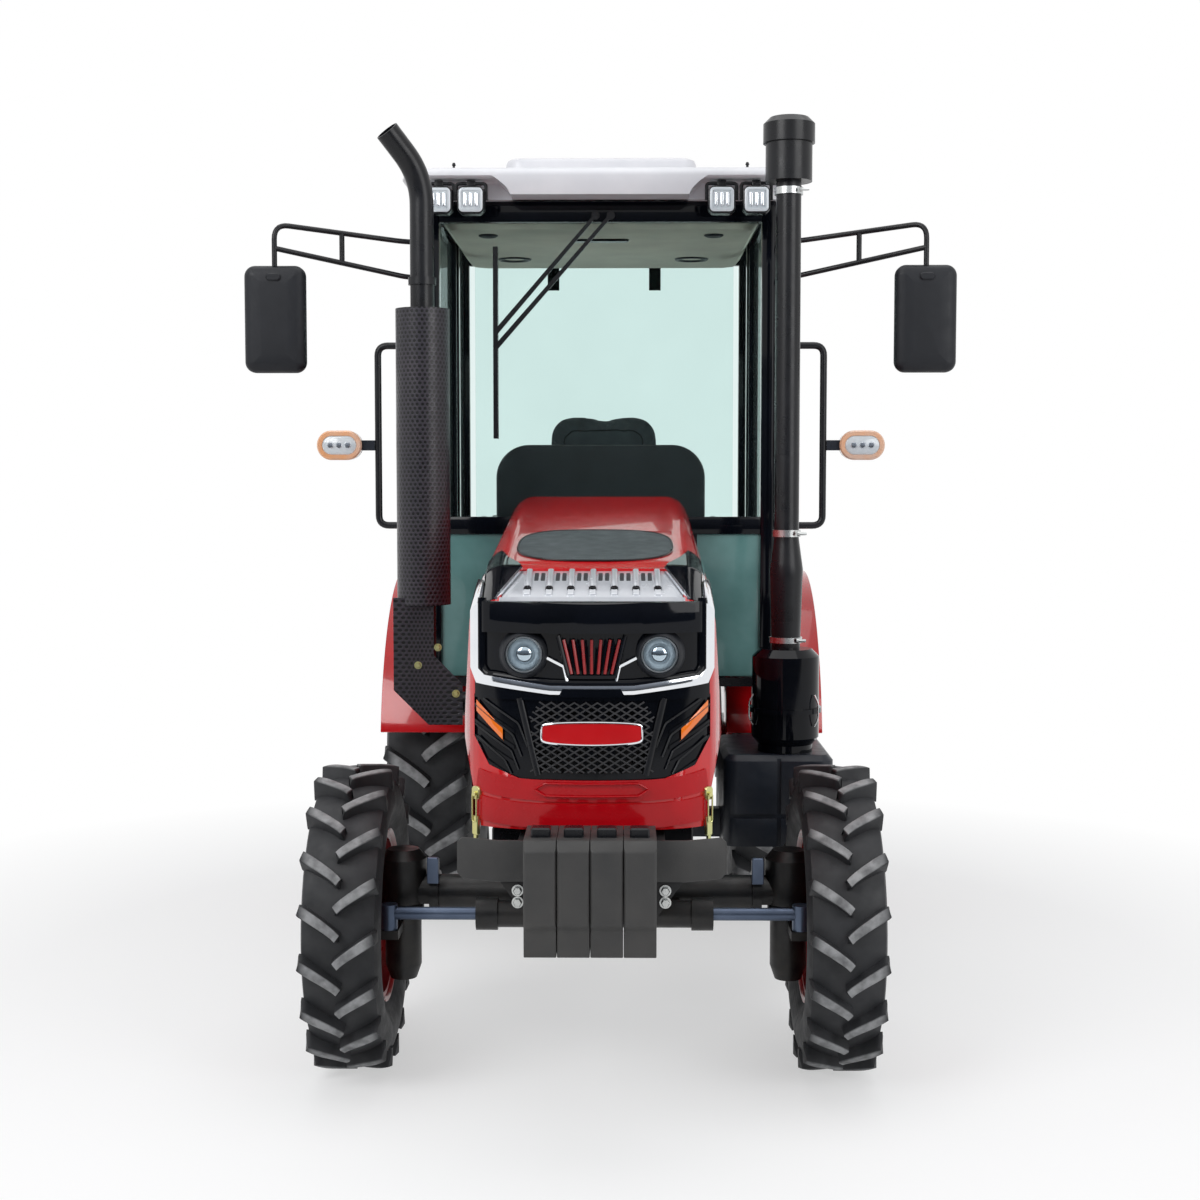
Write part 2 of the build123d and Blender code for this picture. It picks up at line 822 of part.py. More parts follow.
def front_rim():
    """Left front rim, dished disc, hub and nuts. The hub turns on the knuckle's spindle."""
    middle = FRONT_TRACK / 2
    hub_in = KINGPIN_X + FINAL_CASE_DEPTH + MOVING_GAP
    face = middle + FRONT_DISC_U + FRONT_DISH
    flange_r = FRONT_HUB_R + HUB_FLANGE_MARGIN
    bore_end = middle + FRONT_HUB_U - DISC_T
    seat = (FRONT_RIM_SEAT_R, FRONT_RIM_HALF, 2 * FRONT_LUGS)
    with BuildPart() as rim:
        add(rim_barrel(middle, 0, FRONT_AXLE_Z, *seat, FRONT_DISC_U, FRONT_DISH, flange_r))
        add(drum(flange_r, face - DISC_T, face, 0, FRONT_AXLE_Z, HUB_SIDES))
        add(drum(FRONT_HUB_R, hub_in, middle + FRONT_HUB_U, 0, FRONT_AXLE_Z, HUB_SIDES))
        add(wheel_nuts(face, 0, FRONT_AXLE_Z, flange_r - NUT_MARGIN))
        rod_x(SPINDLE_R + SEAT_GAP, hub_in, bore_end, 0, FRONT_AXLE_Z, mode=Mode.SUBTRACT)
    return rim.part


def rear_rim():
    """Left rear rim, disc dished inwards, hub, nuts and the axle shaft that turns in the axle trumpet."""
    middle = REAR_TRACK / 2
    face = middle + REAR_DISC_U + REAR_DISH
    flange_r = REAR_HUB_R + HUB_FLANGE_MARGIN
    hub_in = TRUMPET_END + MOVING_GAP
    place = (WHEELBASE, REAR_AXLE_Z, HUB_SIDES)
    seat = (REAR_RIM_SEAT_R, REAR_RIM_HALF, 2 * REAR_LUGS)
    with BuildPart() as rim:
        add(rim_barrel(middle, WHEELBASE, REAR_AXLE_Z, *seat, REAR_DISC_U, REAR_DISH, flange_r))
        add(drum(flange_r, face - DISC_T, face, *place))
        add(drum(REAR_HUB_R, hub_in, face, *place))
        add(drum(AXLE_SHAFT_R + NUT_MARGIN, face, face + 2 * DISC_T, *place, end_radius=AXLE_SHAFT_R))
        add(wheel_nuts(face, WHEELBASE, REAR_AXLE_Z, flange_r - NUT_MARGIN))
        rod_x(AXLE_SHAFT_R, TRUMPET_END - AXLE_SHAFT_DEPTH, hub_in, WHEELBASE, REAR_AXLE_Z)
    return rim.part


# Wheels, left on +X
front_tread = (FRONT_LUGS, FRONT_LUG_H, FRONT_LUG_RUN, FRONT_LUG_W)
rear_tread = (REAR_LUGS, REAR_LUG_H, REAR_LUG_RUN, REAR_LUG_W)
front_seat = (FRONT_TYRE_D, FRONT_TYRE_W, FRONT_RIM_SEAT_R, FRONT_RIM_HALF)
rear_seat = (REAR_TYRE_D, REAR_TYRE_W, REAR_RIM_SEAT_R, REAR_RIM_HALF)
front_tyre = tyre(0, FRONT_AXLE_Z, *front_seat, *front_tread)
rear_tyre = tyre(WHEELBASE, REAR_AXLE_Z, *rear_seat, *rear_tread)
front_rim_left = front_rim()
rear_rim_left = rear_rim()
for side, word in ((1, "left"), (-1, "right")):
    front_tyre_placed = Location((side * FRONT_TRACK / 2, 0, 0)) * front_tyre
    rear_tyre_placed = Location((side * REAR_TRACK / 2, 0, 0)) * rear_tyre
    with BuildPart() as front_tyre_side:
        add(front_tyre_placed)
    save(front_tyre_side, f"front_tyre_{word}")
    with BuildPart() as rear_tyre_side:
        add(rear_tyre_placed)
    save(rear_tyre_side, f"rear_tyre_{word}")
    with BuildPart() as front_rim_side:
        add(front_rim_left if side > 0 else mirror(front_rim_left, about=Plane.YZ, mode=Mode.PRIVATE))
    save(front_rim_side, f"front_rim_{word}")
    with BuildPart() as rear_rim_side:
        add(rear_rim_left if side > 0 else mirror(rear_rim_left, about=Plane.YZ, mode=Mode.PRIVATE))
    save(rear_rim_side, f"rear_rim_{word}")

# Front axle beam: centre case on its fore-and-aft trunnion, tubes, bevel boxes, and the steering cylinder
kingpin_end = BEVEL_BOX_TOP - KINGPIN_TOP_WALL
with BuildPart() as front_axle_beam:
    rod_y(AXLE_CASE_R, 0, -AXLE_CASE_HALF, AXLE_CASE_HALF, AXLE_TUBE_Z)
    rod_y(TRUNNION_R, 0, -TRUNNION_HALF, TRUNNION_HALF, AXLE_TUBE_Z)
    for side in (1, -1):
        cone_end = side * (AXLE_CASE_R + AXLE_CONE_LENGTH)
        flange_out = KINGPIN_X - AXLE_FLANGE_INSET
        flange_in = flange_out - AXLE_FLANGE_T
        tube_ring = (0, AXLE_TUBE_Z, AXLE_TUBE_SIDES)
        add(drum(AXLE_CASE_HALF, 0, cone_end, *tube_ring, end_radius=AXLE_TUBE_R))
        add(drum(AXLE_TUBE_R, 0, side * KINGPIN_X, *tube_ring))
        add(drum(AXLE_FLANGE_HALF, side * flange_in, side * flange_out, *tube_ring))
        bevel = [
            (0, BEVEL_BOX_BOTTOM),
            (BEVEL_BOX_R, BEVEL_BOX_BOTTOM),
            (BEVEL_BOX_R, BEVEL_BOX_TOP - BEVEL_CAP_H),
            (BEVEL_CAP_R, BEVEL_BOX_TOP),
            (0, BEVEL_BOX_TOP),
        ]
        add(turned_z(bevel, side * KINGPIN_X, 0))
        under = (-AXLE_TUBE_R, AXLE_TUBE_R, AXLE_TUBE_Z - AXLE_TUBE_R, BEVEL_BOX_BOTTOM)
        span(side * flange_out, side * KINGPIN_X, *under, Mode.SUBTRACT)
        bracket = side * (STEER_CYLINDER_HALF - STEER_BRACKET_INSET)
        bracket_z = (STEER_ROD_Z - STEER_BRACKET_HALF, STEER_ROD_Z + STEER_BRACKET_HALF)
        span(bracket, bracket - side * STEER_BRACKET_W, -STEER_ARM, 0, *bracket_z)
        cap_in = side * (STEER_CYLINDER_HALF - STEER_CAP_LENGTH)
        add(drum(STEER_CAP_R, cap_in, side * STEER_CYLINDER_HALF, -STEER_ARM, STEER_ROD_Z, AXLE_TUBE_SIDES))
    reach = STEER_CYLINDER_HALF
    rod_x(STEER_CYLINDER_R, -reach, reach, -STEER_ARM, STEER_ROD_Z)
    rod_x(STEER_ROD_R + SEAT_GAP, -reach, reach, -STEER_ARM, STEER_ROD_Z, Mode.SUBTRACT)
    for side in (1, -1):
        rod_z(KINGPIN_R + SEAT_GAP, side * KINGPIN_X, 0, BEVEL_BOX_BOTTOM, kingpin_end, Mode.SUBTRACT)
save(front_axle_beam, "front_axle_beam")

# Steering knuckles: a turned upright case, the kingpin, the spindle and the steering arm
for side, word in ((1, "left"), (-1, "right")):
    knuckle_top = BEVEL_BOX_BOTTOM - MOVING_GAP
    upright = [
        (0, KNUCKLE_BOTTOM),
        (KNUCKLE_FOOT_R, KNUCKLE_BOTTOM),
        (KNUCKLE_R, KNUCKLE_BOTTOM + KNUCKLE_FOOT_H),
        (KNUCKLE_R, knuckle_top - KNUCKLE_COLLAR_H),
        (KNUCKLE_COLLAR_R, knuckle_top - KNUCKLE_COLLAR_H),
        (KNUCKLE_COLLAR_R, knuckle_top),
        (KINGPIN_R, knuckle_top),
        (KINGPIN_R, kingpin_end - SEAT_GAP),
        (0, kingpin_end - SEAT_GAP),
    ]
    case_out = side * (KINGPIN_X + FINAL_CASE_DEPTH)
    spindle_out = side * (FRONT_TRACK / 2 + FRONT_HUB_U - DISC_T - SEAT_GAP)
    arm_in = side * (STEER_EYE_X - STEER_ARM_HALF)
    arm_out = side * (STEER_EYE_X + STEER_ARM_HALF)
    arm_end = -STEER_ARM - STEER_EYE_R
    with BuildPart() as knuckle:
        final_ring = (0, FRONT_AXLE_Z, AXLE_TUBE_SIDES)
        add(drum(FINAL_CASE_R, side * KINGPIN_X, case_out, *final_ring, end_radius=KNUCKLE_COLLAR_R))
        over = (-FINAL_CASE_R, FINAL_CASE_R, knuckle_top, BEVEL_BOX_TOP)
        span(side * KINGPIN_X, case_out, *over, Mode.SUBTRACT)
        add(turned_z(upright, side * KINGPIN_X, 0))
        rod_x(SPINDLE_R, side * KINGPIN_X, spindle_out, 0, FRONT_AXLE_Z)
        span(arm_in, arm_out, arm_end, 0, STEER_ARM_TOP - STEER_ARM_T, STEER_ARM_TOP)
    save(knuckle, f"knuckle_{word}")

# Steering rod: one bar through the cylinder with an eye at each end, just above the knuckle arms
with BuildPart() as steer_rod:
    rod_x(STEER_ROD_R, -STEER_EYE_X, STEER_EYE_X, -STEER_ARM, STEER_ROD_Z)
    for side in (1, -1):
        eye_x = side * STEER_EYE_X
        rod_z(STEER_EYE_R, eye_x, -STEER_ARM, STEER_ARM_TOP + SEAT_GAP, STEER_ROD_Z + STEER_EYE_H)
save(steer_rod, "steer_rod")

# Front frame: rails, front plate, saddle and the two plates that hold the axle's trunnion
frame_plate_back = FRAME_PLATE_FRONT + FRAME_PLATE_T
saddle_top = RAIL_BOTTOM + SADDLE_T
with BuildPart() as front_frame:
    for side in (1, -1):
        rail = [
            (frame_plate_back, RAIL_BOTTOM + SADDLE_T),
            (-TRUNNION_HALF - SADDLE_T, RAIL_BOTTOM),
            (RAIL_REAR, RAIL_BOTTOM),
            (RAIL_REAR, RAIL_TOP),
            (frame_plate_back, RAIL_TOP),
        ]
        add(slab_x(rail, side * RAIL_X, side * (RAIL_X + RAIL_T)))
        plate_v = side * (TRUNNION_HALF - PIVOT_PLATE_T / 2)
        plate = both_sides(
            [
                (TRUNNION_R, PIVOT_PLATE_BOTTOM),
                (PIVOT_PLATE_HALF, AXLE_TUBE_Z),
                (PIVOT_PLATE_HALF, saddle_top),
            ]
        )
        add(slab_y(plate, plate_v - PIVOT_PLATE_T / 2, plate_v + PIVOT_PLATE_T / 2))
    span(-RAIL_X, RAIL_X, -TRUNNION_HALF, TRUNNION_HALF, RAIL_BOTTOM, saddle_top)
    front_plate = both_sides(
        [
            (FRAME_PLATE_HALF - 2 * SADDLE_T, FRAME_PLATE_BOTTOM),
            (FRAME_PLATE_HALF, BUMPER_BOTTOM),
            (FRAME_PLATE_HALF, RAIL_TOP),
        ]
    )
    add(slab_y(front_plate, FRAME_PLATE_FRONT, frame_plate_back))
    rod_y(TRUNNION_R + SEAT_GAP, 0, -TRUNNION_HALF, TRUNNION_HALF, AXLE_TUBE_Z, Mode.SUBTRACT)
save(front_frame, "front_frame")

# Bumper plate with swept wings and the toothed bar that carries the weights
bumper_front = FRAME_PLATE_FRONT - BUMPER_T
with BuildPart() as bumper_plate:
    wing = BUMPER_HALF - BUMPER_WING
    swept = bumper_front + BUMPER_SWEEP
    strip = [
        (wing, bumper_front),
        (BUMPER_HALF, swept),
        (BUMPER_HALF, swept + BUMPER_T),
        (wing, FRAME_PLATE_FRONT),
    ]
    add(slab_z(strip + [(-x, v) for x, v in reversed(strip)], BUMPER_BOTTOM, BUMPER_TOP))
    face = both_sides(
        [
            (BUMPER_HALF - BUMPER_CORNER, BUMPER_BOTTOM),
            (BUMPER_HALF, BUMPER_BOTTOM + BUMPER_CORNER),
            (BUMPER_HALF, BUMPER_TOP - BUMPER_CORNER),
            (BUMPER_HALF - BUMPER_CORNER, BUMPER_TOP),
        ]
    )
    add(slab_y(face, bumper_front, swept + BUMPER_T), mode=Mode.INTERSECT)
    carrier_half = WEIGHT_PITCH * WEIGHT_COUNT / 2
    carrier = (bumper_front - CARRIER_T, bumper_front, CARRIER_Z, CARRIER_Z + CARRIER_H)
    span(-carrier_half, carrier_half, *carrier)
save(bumper_plate, "bumper_plate")

# Front weights: plates with a set-back foot, hooked over the carrier bar
with BuildPart() as front_weights:
    front = -FRONT_OVERHANG
    carrier_top = CARRIER_Z + CARRIER_H + HINGE_GAP
    hook_back = bumper_front - HINGE_GAP
    hook_in = hook_back - CARRIER_T
    side_view = [
        (front + WEIGHT_FOOT_STEP, WEIGHT_BOTTOM),
        (front + WEIGHT_FOOT_STEP, WEIGHT_BOTTOM + WEIGHT_FOOT_H),
        (front, WEIGHT_BOTTOM + WEIGHT_FOOT_H + WEIGHT_FOOT_STEP),
        (front, WEIGHT_TOP - WEIGHT_CORNER),
        (front + WEIGHT_CORNER, WEIGHT_TOP),
        (hook_back, WEIGHT_TOP),
        (hook_back, carrier_top),
        (hook_in, carrier_top),
        (hook_in, WEIGHT_BOTTOM + WEIGHT_FOOT_H),
        (front + WEIGHT_DEPTH, WEIGHT_BOTTOM),
    ]
    for index in range(WEIGHT_COUNT):
        x0 = (index - WEIGHT_COUNT / 2) * WEIGHT_PITCH + WEIGHT_GAP / 2
        add(slab_x(side_view, x0, x0 + WEIGHT_PITCH - WEIGHT_GAP))
    chamfer(front_weights.edges().filter_by(Axis.Z).group_by(Axis.Y)[0], WEIGHT_EDGE)
save(front_weights, "front_weights")

# Engine as one plain block with its sump
with BuildPart() as engine_block:
    span(-ENGINE_HALF, ENGINE_HALF, ENGINE_FRONT, ENGINE_REAR, RAIL_TOP, ENGINE_TOP)
    span(-SUMP_HALF, SUMP_HALF, SUMP_FRONT, ENGINE_REAR, SUMP_BOTTOM, RAIL_TOP)
save(engine_block, "engine_block")

# Gearbox housing behind the engine, with its bell flange and the transfer case for the front axle
with BuildPart() as gearbox_housing:
    section = both_sides(
        [
            (GEARBOX_HALF - GEARBOX_EDGE, GEARBOX_BOTTOM),
            (GEARBOX_HALF, GEARBOX_BOTTOM + GEARBOX_EDGE),
            (GEARBOX_HALF, GEARBOX_TOP - GEARBOX_EDGE),
            (GEARBOX_HALF - GEARBOX_EDGE, GEARBOX_TOP),
        ]
    )
    bell_half = GEARBOX_HALF + BELL_FLANGE
    bell = both_sides(
        [
            (bell_half - GEARBOX_EDGE, BELL_BOTTOM),
            (bell_half, BELL_BOTTOM + GEARBOX_EDGE),
            (bell_half, GEARBOX_TOP),
        ]
    )
    add(slab_y(section, ENGINE_REAR, REAR_CASE_FRONT))
    add(slab_y(bell, ENGINE_REAR, ENGINE_REAR + BELL_FLANGE_T))
    transfer_bottom = AXLE_TUBE_Z - PROP_SHAFT_R - TRANSFER_WALL
    transfer_rear = TRANSFER_FRONT + TRANSFER_LENGTH
    transfer = [
        (TRANSFER_FRONT, GEARBOX_BOTTOM),
        (TRANSFER_FRONT, transfer_bottom),
        (transfer_rear - GEARBOX_EDGE, transfer_bottom),
        (transfer_rear, GEARBOX_BOTTOM),
    ]
    add(slab_x(transfer, -TRANSFER_HALF, TRANSFER_HALF))
save(gearbox_housing, "gearbox_housing")

# Propeller shaft tube from the transfer case to the front axle
with BuildPart() as prop_shaft:
    rod_y(PROP_SHAFT_R, 0, TRUNNION_HALF + SEAT_GAP, TRANSFER_FRONT - SEAT_GAP, AXLE_TUBE_Z)
save(prop_shaft, "prop_shaft")

# Rear axle case and trumpets
with BuildPart() as rear_axle_housing:
    section = both_sides(
        [
            (REAR_CASE_HALF - REAR_CASE_EDGE, REAR_CASE_BOTTOM),
            (REAR_CASE_HALF, REAR_CASE_BOTTOM + REAR_CASE_EDGE),
            (REAR_CASE_HALF, GEARBOX_TOP - REAR_CASE_EDGE),
            (REAR_CASE_HALF - REAR_CASE_EDGE, GEARBOX_TOP),
        ]
    )
    add(slab_y(section, REAR_CASE_FRONT, REAR_CASE_REAR))
    trumpet = (WHEELBASE, REAR_AXLE_Z, TRUMPET_SIDES)
    for side in (1, -1):
        root = side * REAR_CASE_HALF
        end = side * TRUMPET_END
        add(drum(TRUMPET_ROOT_R, root, root + side * TRUMPET_ROOT, *trumpet, end_radius=TRUMPET_R))
        add(drum(TRUMPET_R, root, end, *trumpet))
        add(drum(TRUMPET_FLANGE_R, end - side * TRUMPET_FLANGE_T, end, *trumpet))
        shaft_in = side * (TRUMPET_END - AXLE_SHAFT_DEPTH - AXLE_SHAFT_END_GAP)
        rod_x(AXLE_SHAFT_R + SEAT_GAP, shaft_in, end, WHEELBASE, REAR_AXLE_Z, Mode.SUBTRACT)
        rod_x(LINK_PIN_R, root, side * (LINK_PIVOT_X + LINK_T), LINK_PIVOT_V, LINK_PIVOT_Z)
    rod_y(PTO_JOURNAL_R + SEAT_GAP, 0, REAR_CASE_REAR - PTO_DEPTH, REAR_CASE_REAR, PTO_Z, Mode.SUBTRACT)
save(rear_axle_housing, "rear_axle_housing")

# Power take-off shaft
with BuildPart() as pto_shaft:
    rod_y(PTO_JOURNAL_R, 0, REAR_CASE_REAR - PTO_DEPTH + SEAT_GAP, REAR_CASE_REAR, PTO_Z)
    rod_y(PTO_R, 0, REAR_CASE_REAR, REAR_CASE_REAR + PTO_LENGTH, PTO_Z)
save(pto_shaft, "pto_shaft")

# Drawbar under the rear axle case
with BuildPart() as drawbar:
    bar_bottom = REAR_CASE_BOTTOM - DRAWBAR_T
    bar = [
        (DRAWBAR_HALF, DRAWBAR_FRONT),
        (DRAWBAR_HALF, DRAWBAR_REAR - DRAWBAR_HALF / 2),
        (DRAWBAR_HALF / 2, DRAWBAR_REAR),
    ]
    add(slab_z(bar + [(-x, v) for x, v in reversed(bar)], bar_bottom, REAR_CASE_BOTTOM))
    rod_z(DRAWBAR_PIN_R, 0, DRAWBAR_REAR - DRAWBAR_PIN_IN, bar_bottom, REAR_CASE_BOTTOM, Mode.SUBTRACT)
save(drawbar, "drawbar")

# Hydraulic lift case with the top link's ears
with BuildPart() as lift_housing:
    case = [
        (REAR_CASE_REAR, LIFT_CASE_BOTTOM),
        (LIFT_CASE_REAR - LIFT_CASE_EDGE, LIFT_CASE_BOTTOM),
        (LIFT_CASE_REAR, LIFT_CASE_BOTTOM + LIFT_CASE_EDGE),
        (LIFT_CASE_REAR, ROCKSHAFT_Z + LIFT_CASE_EDGE),
        (LIFT_CASE_REAR - LIFT_CASE_EDGE, GEARBOX_TOP),
        (REAR_CASE_REAR, GEARBOX_TOP),
    ]
    add(slab_x(case, -LIFT_CASE_HALF, LIFT_CASE_HALF))
    pin_v = LIFT_CASE_REAR + TOP_LINK_BEHIND
    ear_out = TOP_LINK_SLOT / 2 + TOP_LINK_EAR_T
    for side in (1, -1):
        rod_x(TOP_LINK_EAR_R, side * TOP_LINK_SLOT / 2, side * ear_out, pin_v, TOP_LINK_Z)
        ear_bottom = TOP_LINK_Z - TOP_LINK_EAR_R
        ear_top = TOP_LINK_Z + TOP_LINK_EAR_R
        span(side * TOP_LINK_SLOT / 2, side * ear_out, LIFT_CASE_REAR, pin_v, ear_bottom, ear_top)
    rod_x(ROCKSHAFT_R + SEAT_GAP, -LIFT_CASE_HALF, LIFT_CASE_HALF, ROCKSHAFT_V, ROCKSHAFT_Z, Mode.SUBTRACT)
    rod_x(TOP_LINK_BORE_R, -ear_out, ear_out, pin_v, TOP_LINK_Z, Mode.SUBTRACT)
save(lift_housing, "lift_housing")

# Lift arms on the rockshaft, tapered from a round boss to the tip
with BuildPart() as lift_arms:
    arm_in = LIFT_ARM_X - LIFT_ARM_T / 2
    arm_out = LIFT_ARM_X + LIFT_ARM_T / 2
    tip_v = LIFT_ROD_V + LIFT_ARM_OVER
    arm = [
        (ROCKSHAFT_V, ROCKSHAFT_Z - LIFT_ARM_ROOT_R),
        (tip_v, ROCKSHAFT_Z - LIFT_ARM_TIP_R),
        (tip_v, ROCKSHAFT_Z + LIFT_ARM_TIP_R),
        (ROCKSHAFT_V, ROCKSHAFT_Z + LIFT_ARM_ROOT_R),
    ]
    rod_x(ROCKSHAFT_R, -arm_out, arm_out, ROCKSHAFT_V, ROCKSHAFT_Z)
    for side in (1, -1):
        add(slab_x(arm, side * arm_in, side * arm_out))
        rod_x(LIFT_ARM_ROOT_R, side * arm_in, side * arm_out, ROCKSHAFT_V, ROCKSHAFT_Z)
save(lift_arms, "lift_arms")

# Lower links, spread from their pivots to the ball ends
ball_v = REAR_END - LINK_EYE_R
knee_v = LINK_PIVOT_V + LINK_STRAIGHT
heel_v = knee_v + LINK_SPREAD
link_out = LINK_END_X + LINK_T
side_view = [
    (LINK_PIVOT_V - LINK_EYE_R, LINK_PIVOT_Z - LINK_H / 2),
    (knee_v, LINK_PIVOT_Z - LINK_NECK_H / 2),
    (ball_v - LINK_H, LINK_PIVOT_Z - LINK_NECK_H / 2),
    (ball_v - LINK_EYE_R / 2, LINK_PIVOT_Z - LINK_H / 2),
    (REAR_END, LINK_PIVOT_Z - LINK_NECK_H / 4),
]
side_view += [(v, 2 * LINK_PIVOT_Z - z) for v, z in reversed(side_view)]
plan = [
    (LINK_PIVOT_X, LINK_PIVOT_V - LINK_EYE_R),
    (LINK_PIVOT_X, knee_v),
    (LINK_END_X, heel_v),
    (LINK_END_X, REAR_END),
    (link_out, REAR_END),
    (link_out, heel_v),
    (LINK_PIVOT_X + LINK_T, knee_v),
    (LINK_PIVOT_X + LINK_T, LINK_PIVOT_V - LINK_EYE_R),
]
with BuildPart() as link:
    add(slab_z(plan, LINK_PIVOT_Z - LINK_H, LINK_PIVOT_Z + LINK_H))
    add(slab_x(side_view, 0, 2 * link_out), mode=Mode.INTERSECT)
with BuildPart() as lower_links:
    add(link.part)
    mirror(link.part, about=Plane.YZ)
    for side in (1, -1):
        outer = side * 2 * link_out
        rod_x(LINK_PIN_R + SEAT_GAP, 0, outer, LINK_PIVOT_V, LINK_PIVOT_Z, Mode.SUBTRACT)
        rod_x(LIFT_PIN_R + SEAT_GAP, 0, outer, LIFT_ROD_V, LINK_PIVOT_Z, Mode.SUBTRACT)
        rod_x(LINK_BORE_R, 0, outer, ball_v, LINK_PIVOT_Z, Mode.SUBTRACT)
save(lower_links, "lower_links")

# Lift rods between the lower links and the lift arms
with BuildPart() as lift_rods:
    for side in (1, -1):
        x = side * (LINK_END_X - LIFT_ROD_R - SEAT_GAP)
        rod_z(LIFT_ROD_R, x, LIFT_ROD_V, LINK_PIVOT_Z - LIFT_ROD_OVER, ROCKSHAFT_Z + LIFT_ROD_OVER)
        rod_x(LIFT_PIN_R, x, side * (LINK_END_X + LINK_T), LIFT_ROD_V, LINK_PIVOT_Z)
save(lift_rods, "lift_rods")


def hood_form(inset):
    """Solid inside the hood's outer skin moved inwards by inset.

    It is a side profile cut by a waisted front section and a bowed plan, with rounded shoulders. The
    underside and the rear run on when inset is positive, so that one form cuts another right through.
    """
    run_on = HOOD_RUN_ON if inset > 0 else 0
    rear = HOOD_REAR + run_on
    profile = [
        (HOOD_LIP_V, HOOD_BOTTOM - run_on),
        (HOOD_FRONT, HOOD_LIP_Z),
        (HOOD_FRONT, HOOD_BROW_Z),
        (HOOD_NOSE_V, HOOD_NOSE_Z),
        (rear, HOOD_REAR_TOP),
        (rear, HOOD_REAR_BOTTOM - run_on),
        (HOOD_FLANK_V, HOOD_SIDE_BOTTOM - run_on),
        (HOOD_CHIN_V, HOOD_BOTTOM - run_on),
    ]
    section = both_sides(
        [
            (HOOD_HALF_LOW, HOOD_BOTTOM - 2 * HOOD_RUN_ON),
            (HOOD_HALF_LOW, HOOD_BOTTOM),
            (HOOD_HALF, HOOD_WAIST_Z),
            (HOOD_HALF_TOP, HOOD_REAR_TOP + HOOD_RUN_ON),
        ]
    )
    face_y = at(HOOD_FRONT) + inset
    half = HOOD_HALF - inset
    cheek = (HOOD_FACE_HALF - inset / 2, face_y + HOOD_FACE_BOW)
    flank = (half, at(HOOD_FRONT) + HOOD_CORNER_V)
    mid = (0.3 * cheek[0] + 0.7 * flank[0], 0.68 * cheek[1] + 0.32 * flank[1])
    end_y = at(HOOD_REAR) + 2 * HOOD_RUN_ON
    with BuildPart() as form:
        add(slab_x(profile, -2 * HOOD_HALF, 2 * HOOD_HALF, inset))
        add(slab_y(section, HOOD_FRONT - HOOD_RUN_ON, rear + HOOD_RUN_ON, inset), mode=Mode.INTERSECT)
        shoulder = [
            edge
            for edge in form.edges()
            if edge.center().Z > HOOD_BROW_Z + 10
            and abs(edge.center().X) > HOOD_FACE_HALF
            and abs(edge.tangent_at(0.5).Y) > 0.5
        ]
        fillet(shoulder, HOOD_SHOULDER_R - inset)
        with BuildSketch(Plane.XY):
            with BuildLine():
                ThreePointArc((-cheek[0], cheek[1]), (0, face_y), cheek)
                ThreePointArc(cheek, mid, flank)
                Polyline(flank, (half, end_y), (-half, end_y), (-half, flank[1]))
                ThreePointArc((-flank[0], flank[1]), (-mid[0], mid[1]), (-cheek[0], cheek[1]))
            make_face()
        extrude(amount=2 * HOOD_REAR_TOP, dir=(0, 0, 1), mode=Mode.INTERSECT)
    return form.part


def hood_layer(outer, inner):
    """Skin between two insets of the hood's form."""
    with BuildPart() as layer:
        add(hood_form(outer))
        add(hood_form(inner), mode=Mode.SUBTRACT)
    return layer.part


def front_cut(points, inset=0):
    """Prism along Y through the nose, over an outline in x and z."""
    return slab_y(points, HOOD_FRONT - HOOD_RUN_ON, HOOD_FRONT + 3 * HOOD_RUN_ON, inset)


def top_cut(points, inset=0):
    """Upright prism through the hood's top, over an outline in x and v."""
    return slab_z(points, HOOD_BROW_Z, HOOD_REAR_TOP, inset)


mask_edge = both_sides(
    [
        (MASK_BOTTOM_HALF, MASK_BOTTOM),
        (MASK_CHEEK_HALF, MASK_CHEEK_Z),
        (MASK_HALF, MASK_SIDE_Z),
        (MASK_HALF, MASK_TOP),
    ]
)
lamp_edge = both_sides(
    [
        (LAMP_LOW_HALF, LAMP_LOW_Z),
        (LAMP_HALF, LAMP_BOTTOM),
        (LAMP_HALF, LAMP_TOP),
    ]
)
tray_edge = both_sides([(TRAY_HALF, TRAY_FRONT), (TRAY_HALF, TRAY_REAR)])
mesh_edge = both_sides(
    [
        (TOP_MESH_HALF - TOP_MESH_CORNER, TOP_MESH_FRONT),
        (TOP_MESH_HALF, TOP_MESH_FRONT + TOP_MESH_CORNER),
        (TOP_MESH_HALF, TOP_MESH_REAR - TOP_MESH_CORNER),
        (TOP_MESH_HALF - TOP_MESH_CORNER, TOP_MESH_REAR),
    ]
)
panel_back = PANEL_INSET + PANEL_T
panel_skin = hood_layer(PANEL_INSET, panel_back)
raised_skin = hood_layer(PANEL_INSET - LOUVRE_STAND, panel_back)

# Hood shell with the openings for its nose panels and the mesh on its top
with BuildPart() as hood_shell:
    add(hood_layer(0, HOOD_WALL))
    add(front_cut(mask_edge), mode=Mode.SUBTRACT)
    add(front_cut(lamp_edge), mode=Mode.SUBTRACT)
    add(top_cut(tray_edge), mode=Mode.SUBTRACT)
    add(top_cut(mesh_edge), mode=Mode.SUBTRACT)
    for side in (1, -1):
        pin_out = side * (HOOD_HALF_TOP - HOOD_WALL / 2)
        rod_x(HOOD_PIN_R, pin_out, side * (HOOD_EAR_X - HOOD_PIN_OVER), HOOD_HINGE_V, HOOD_HINGE_Z)
save(hood_shell, "hood_shell")

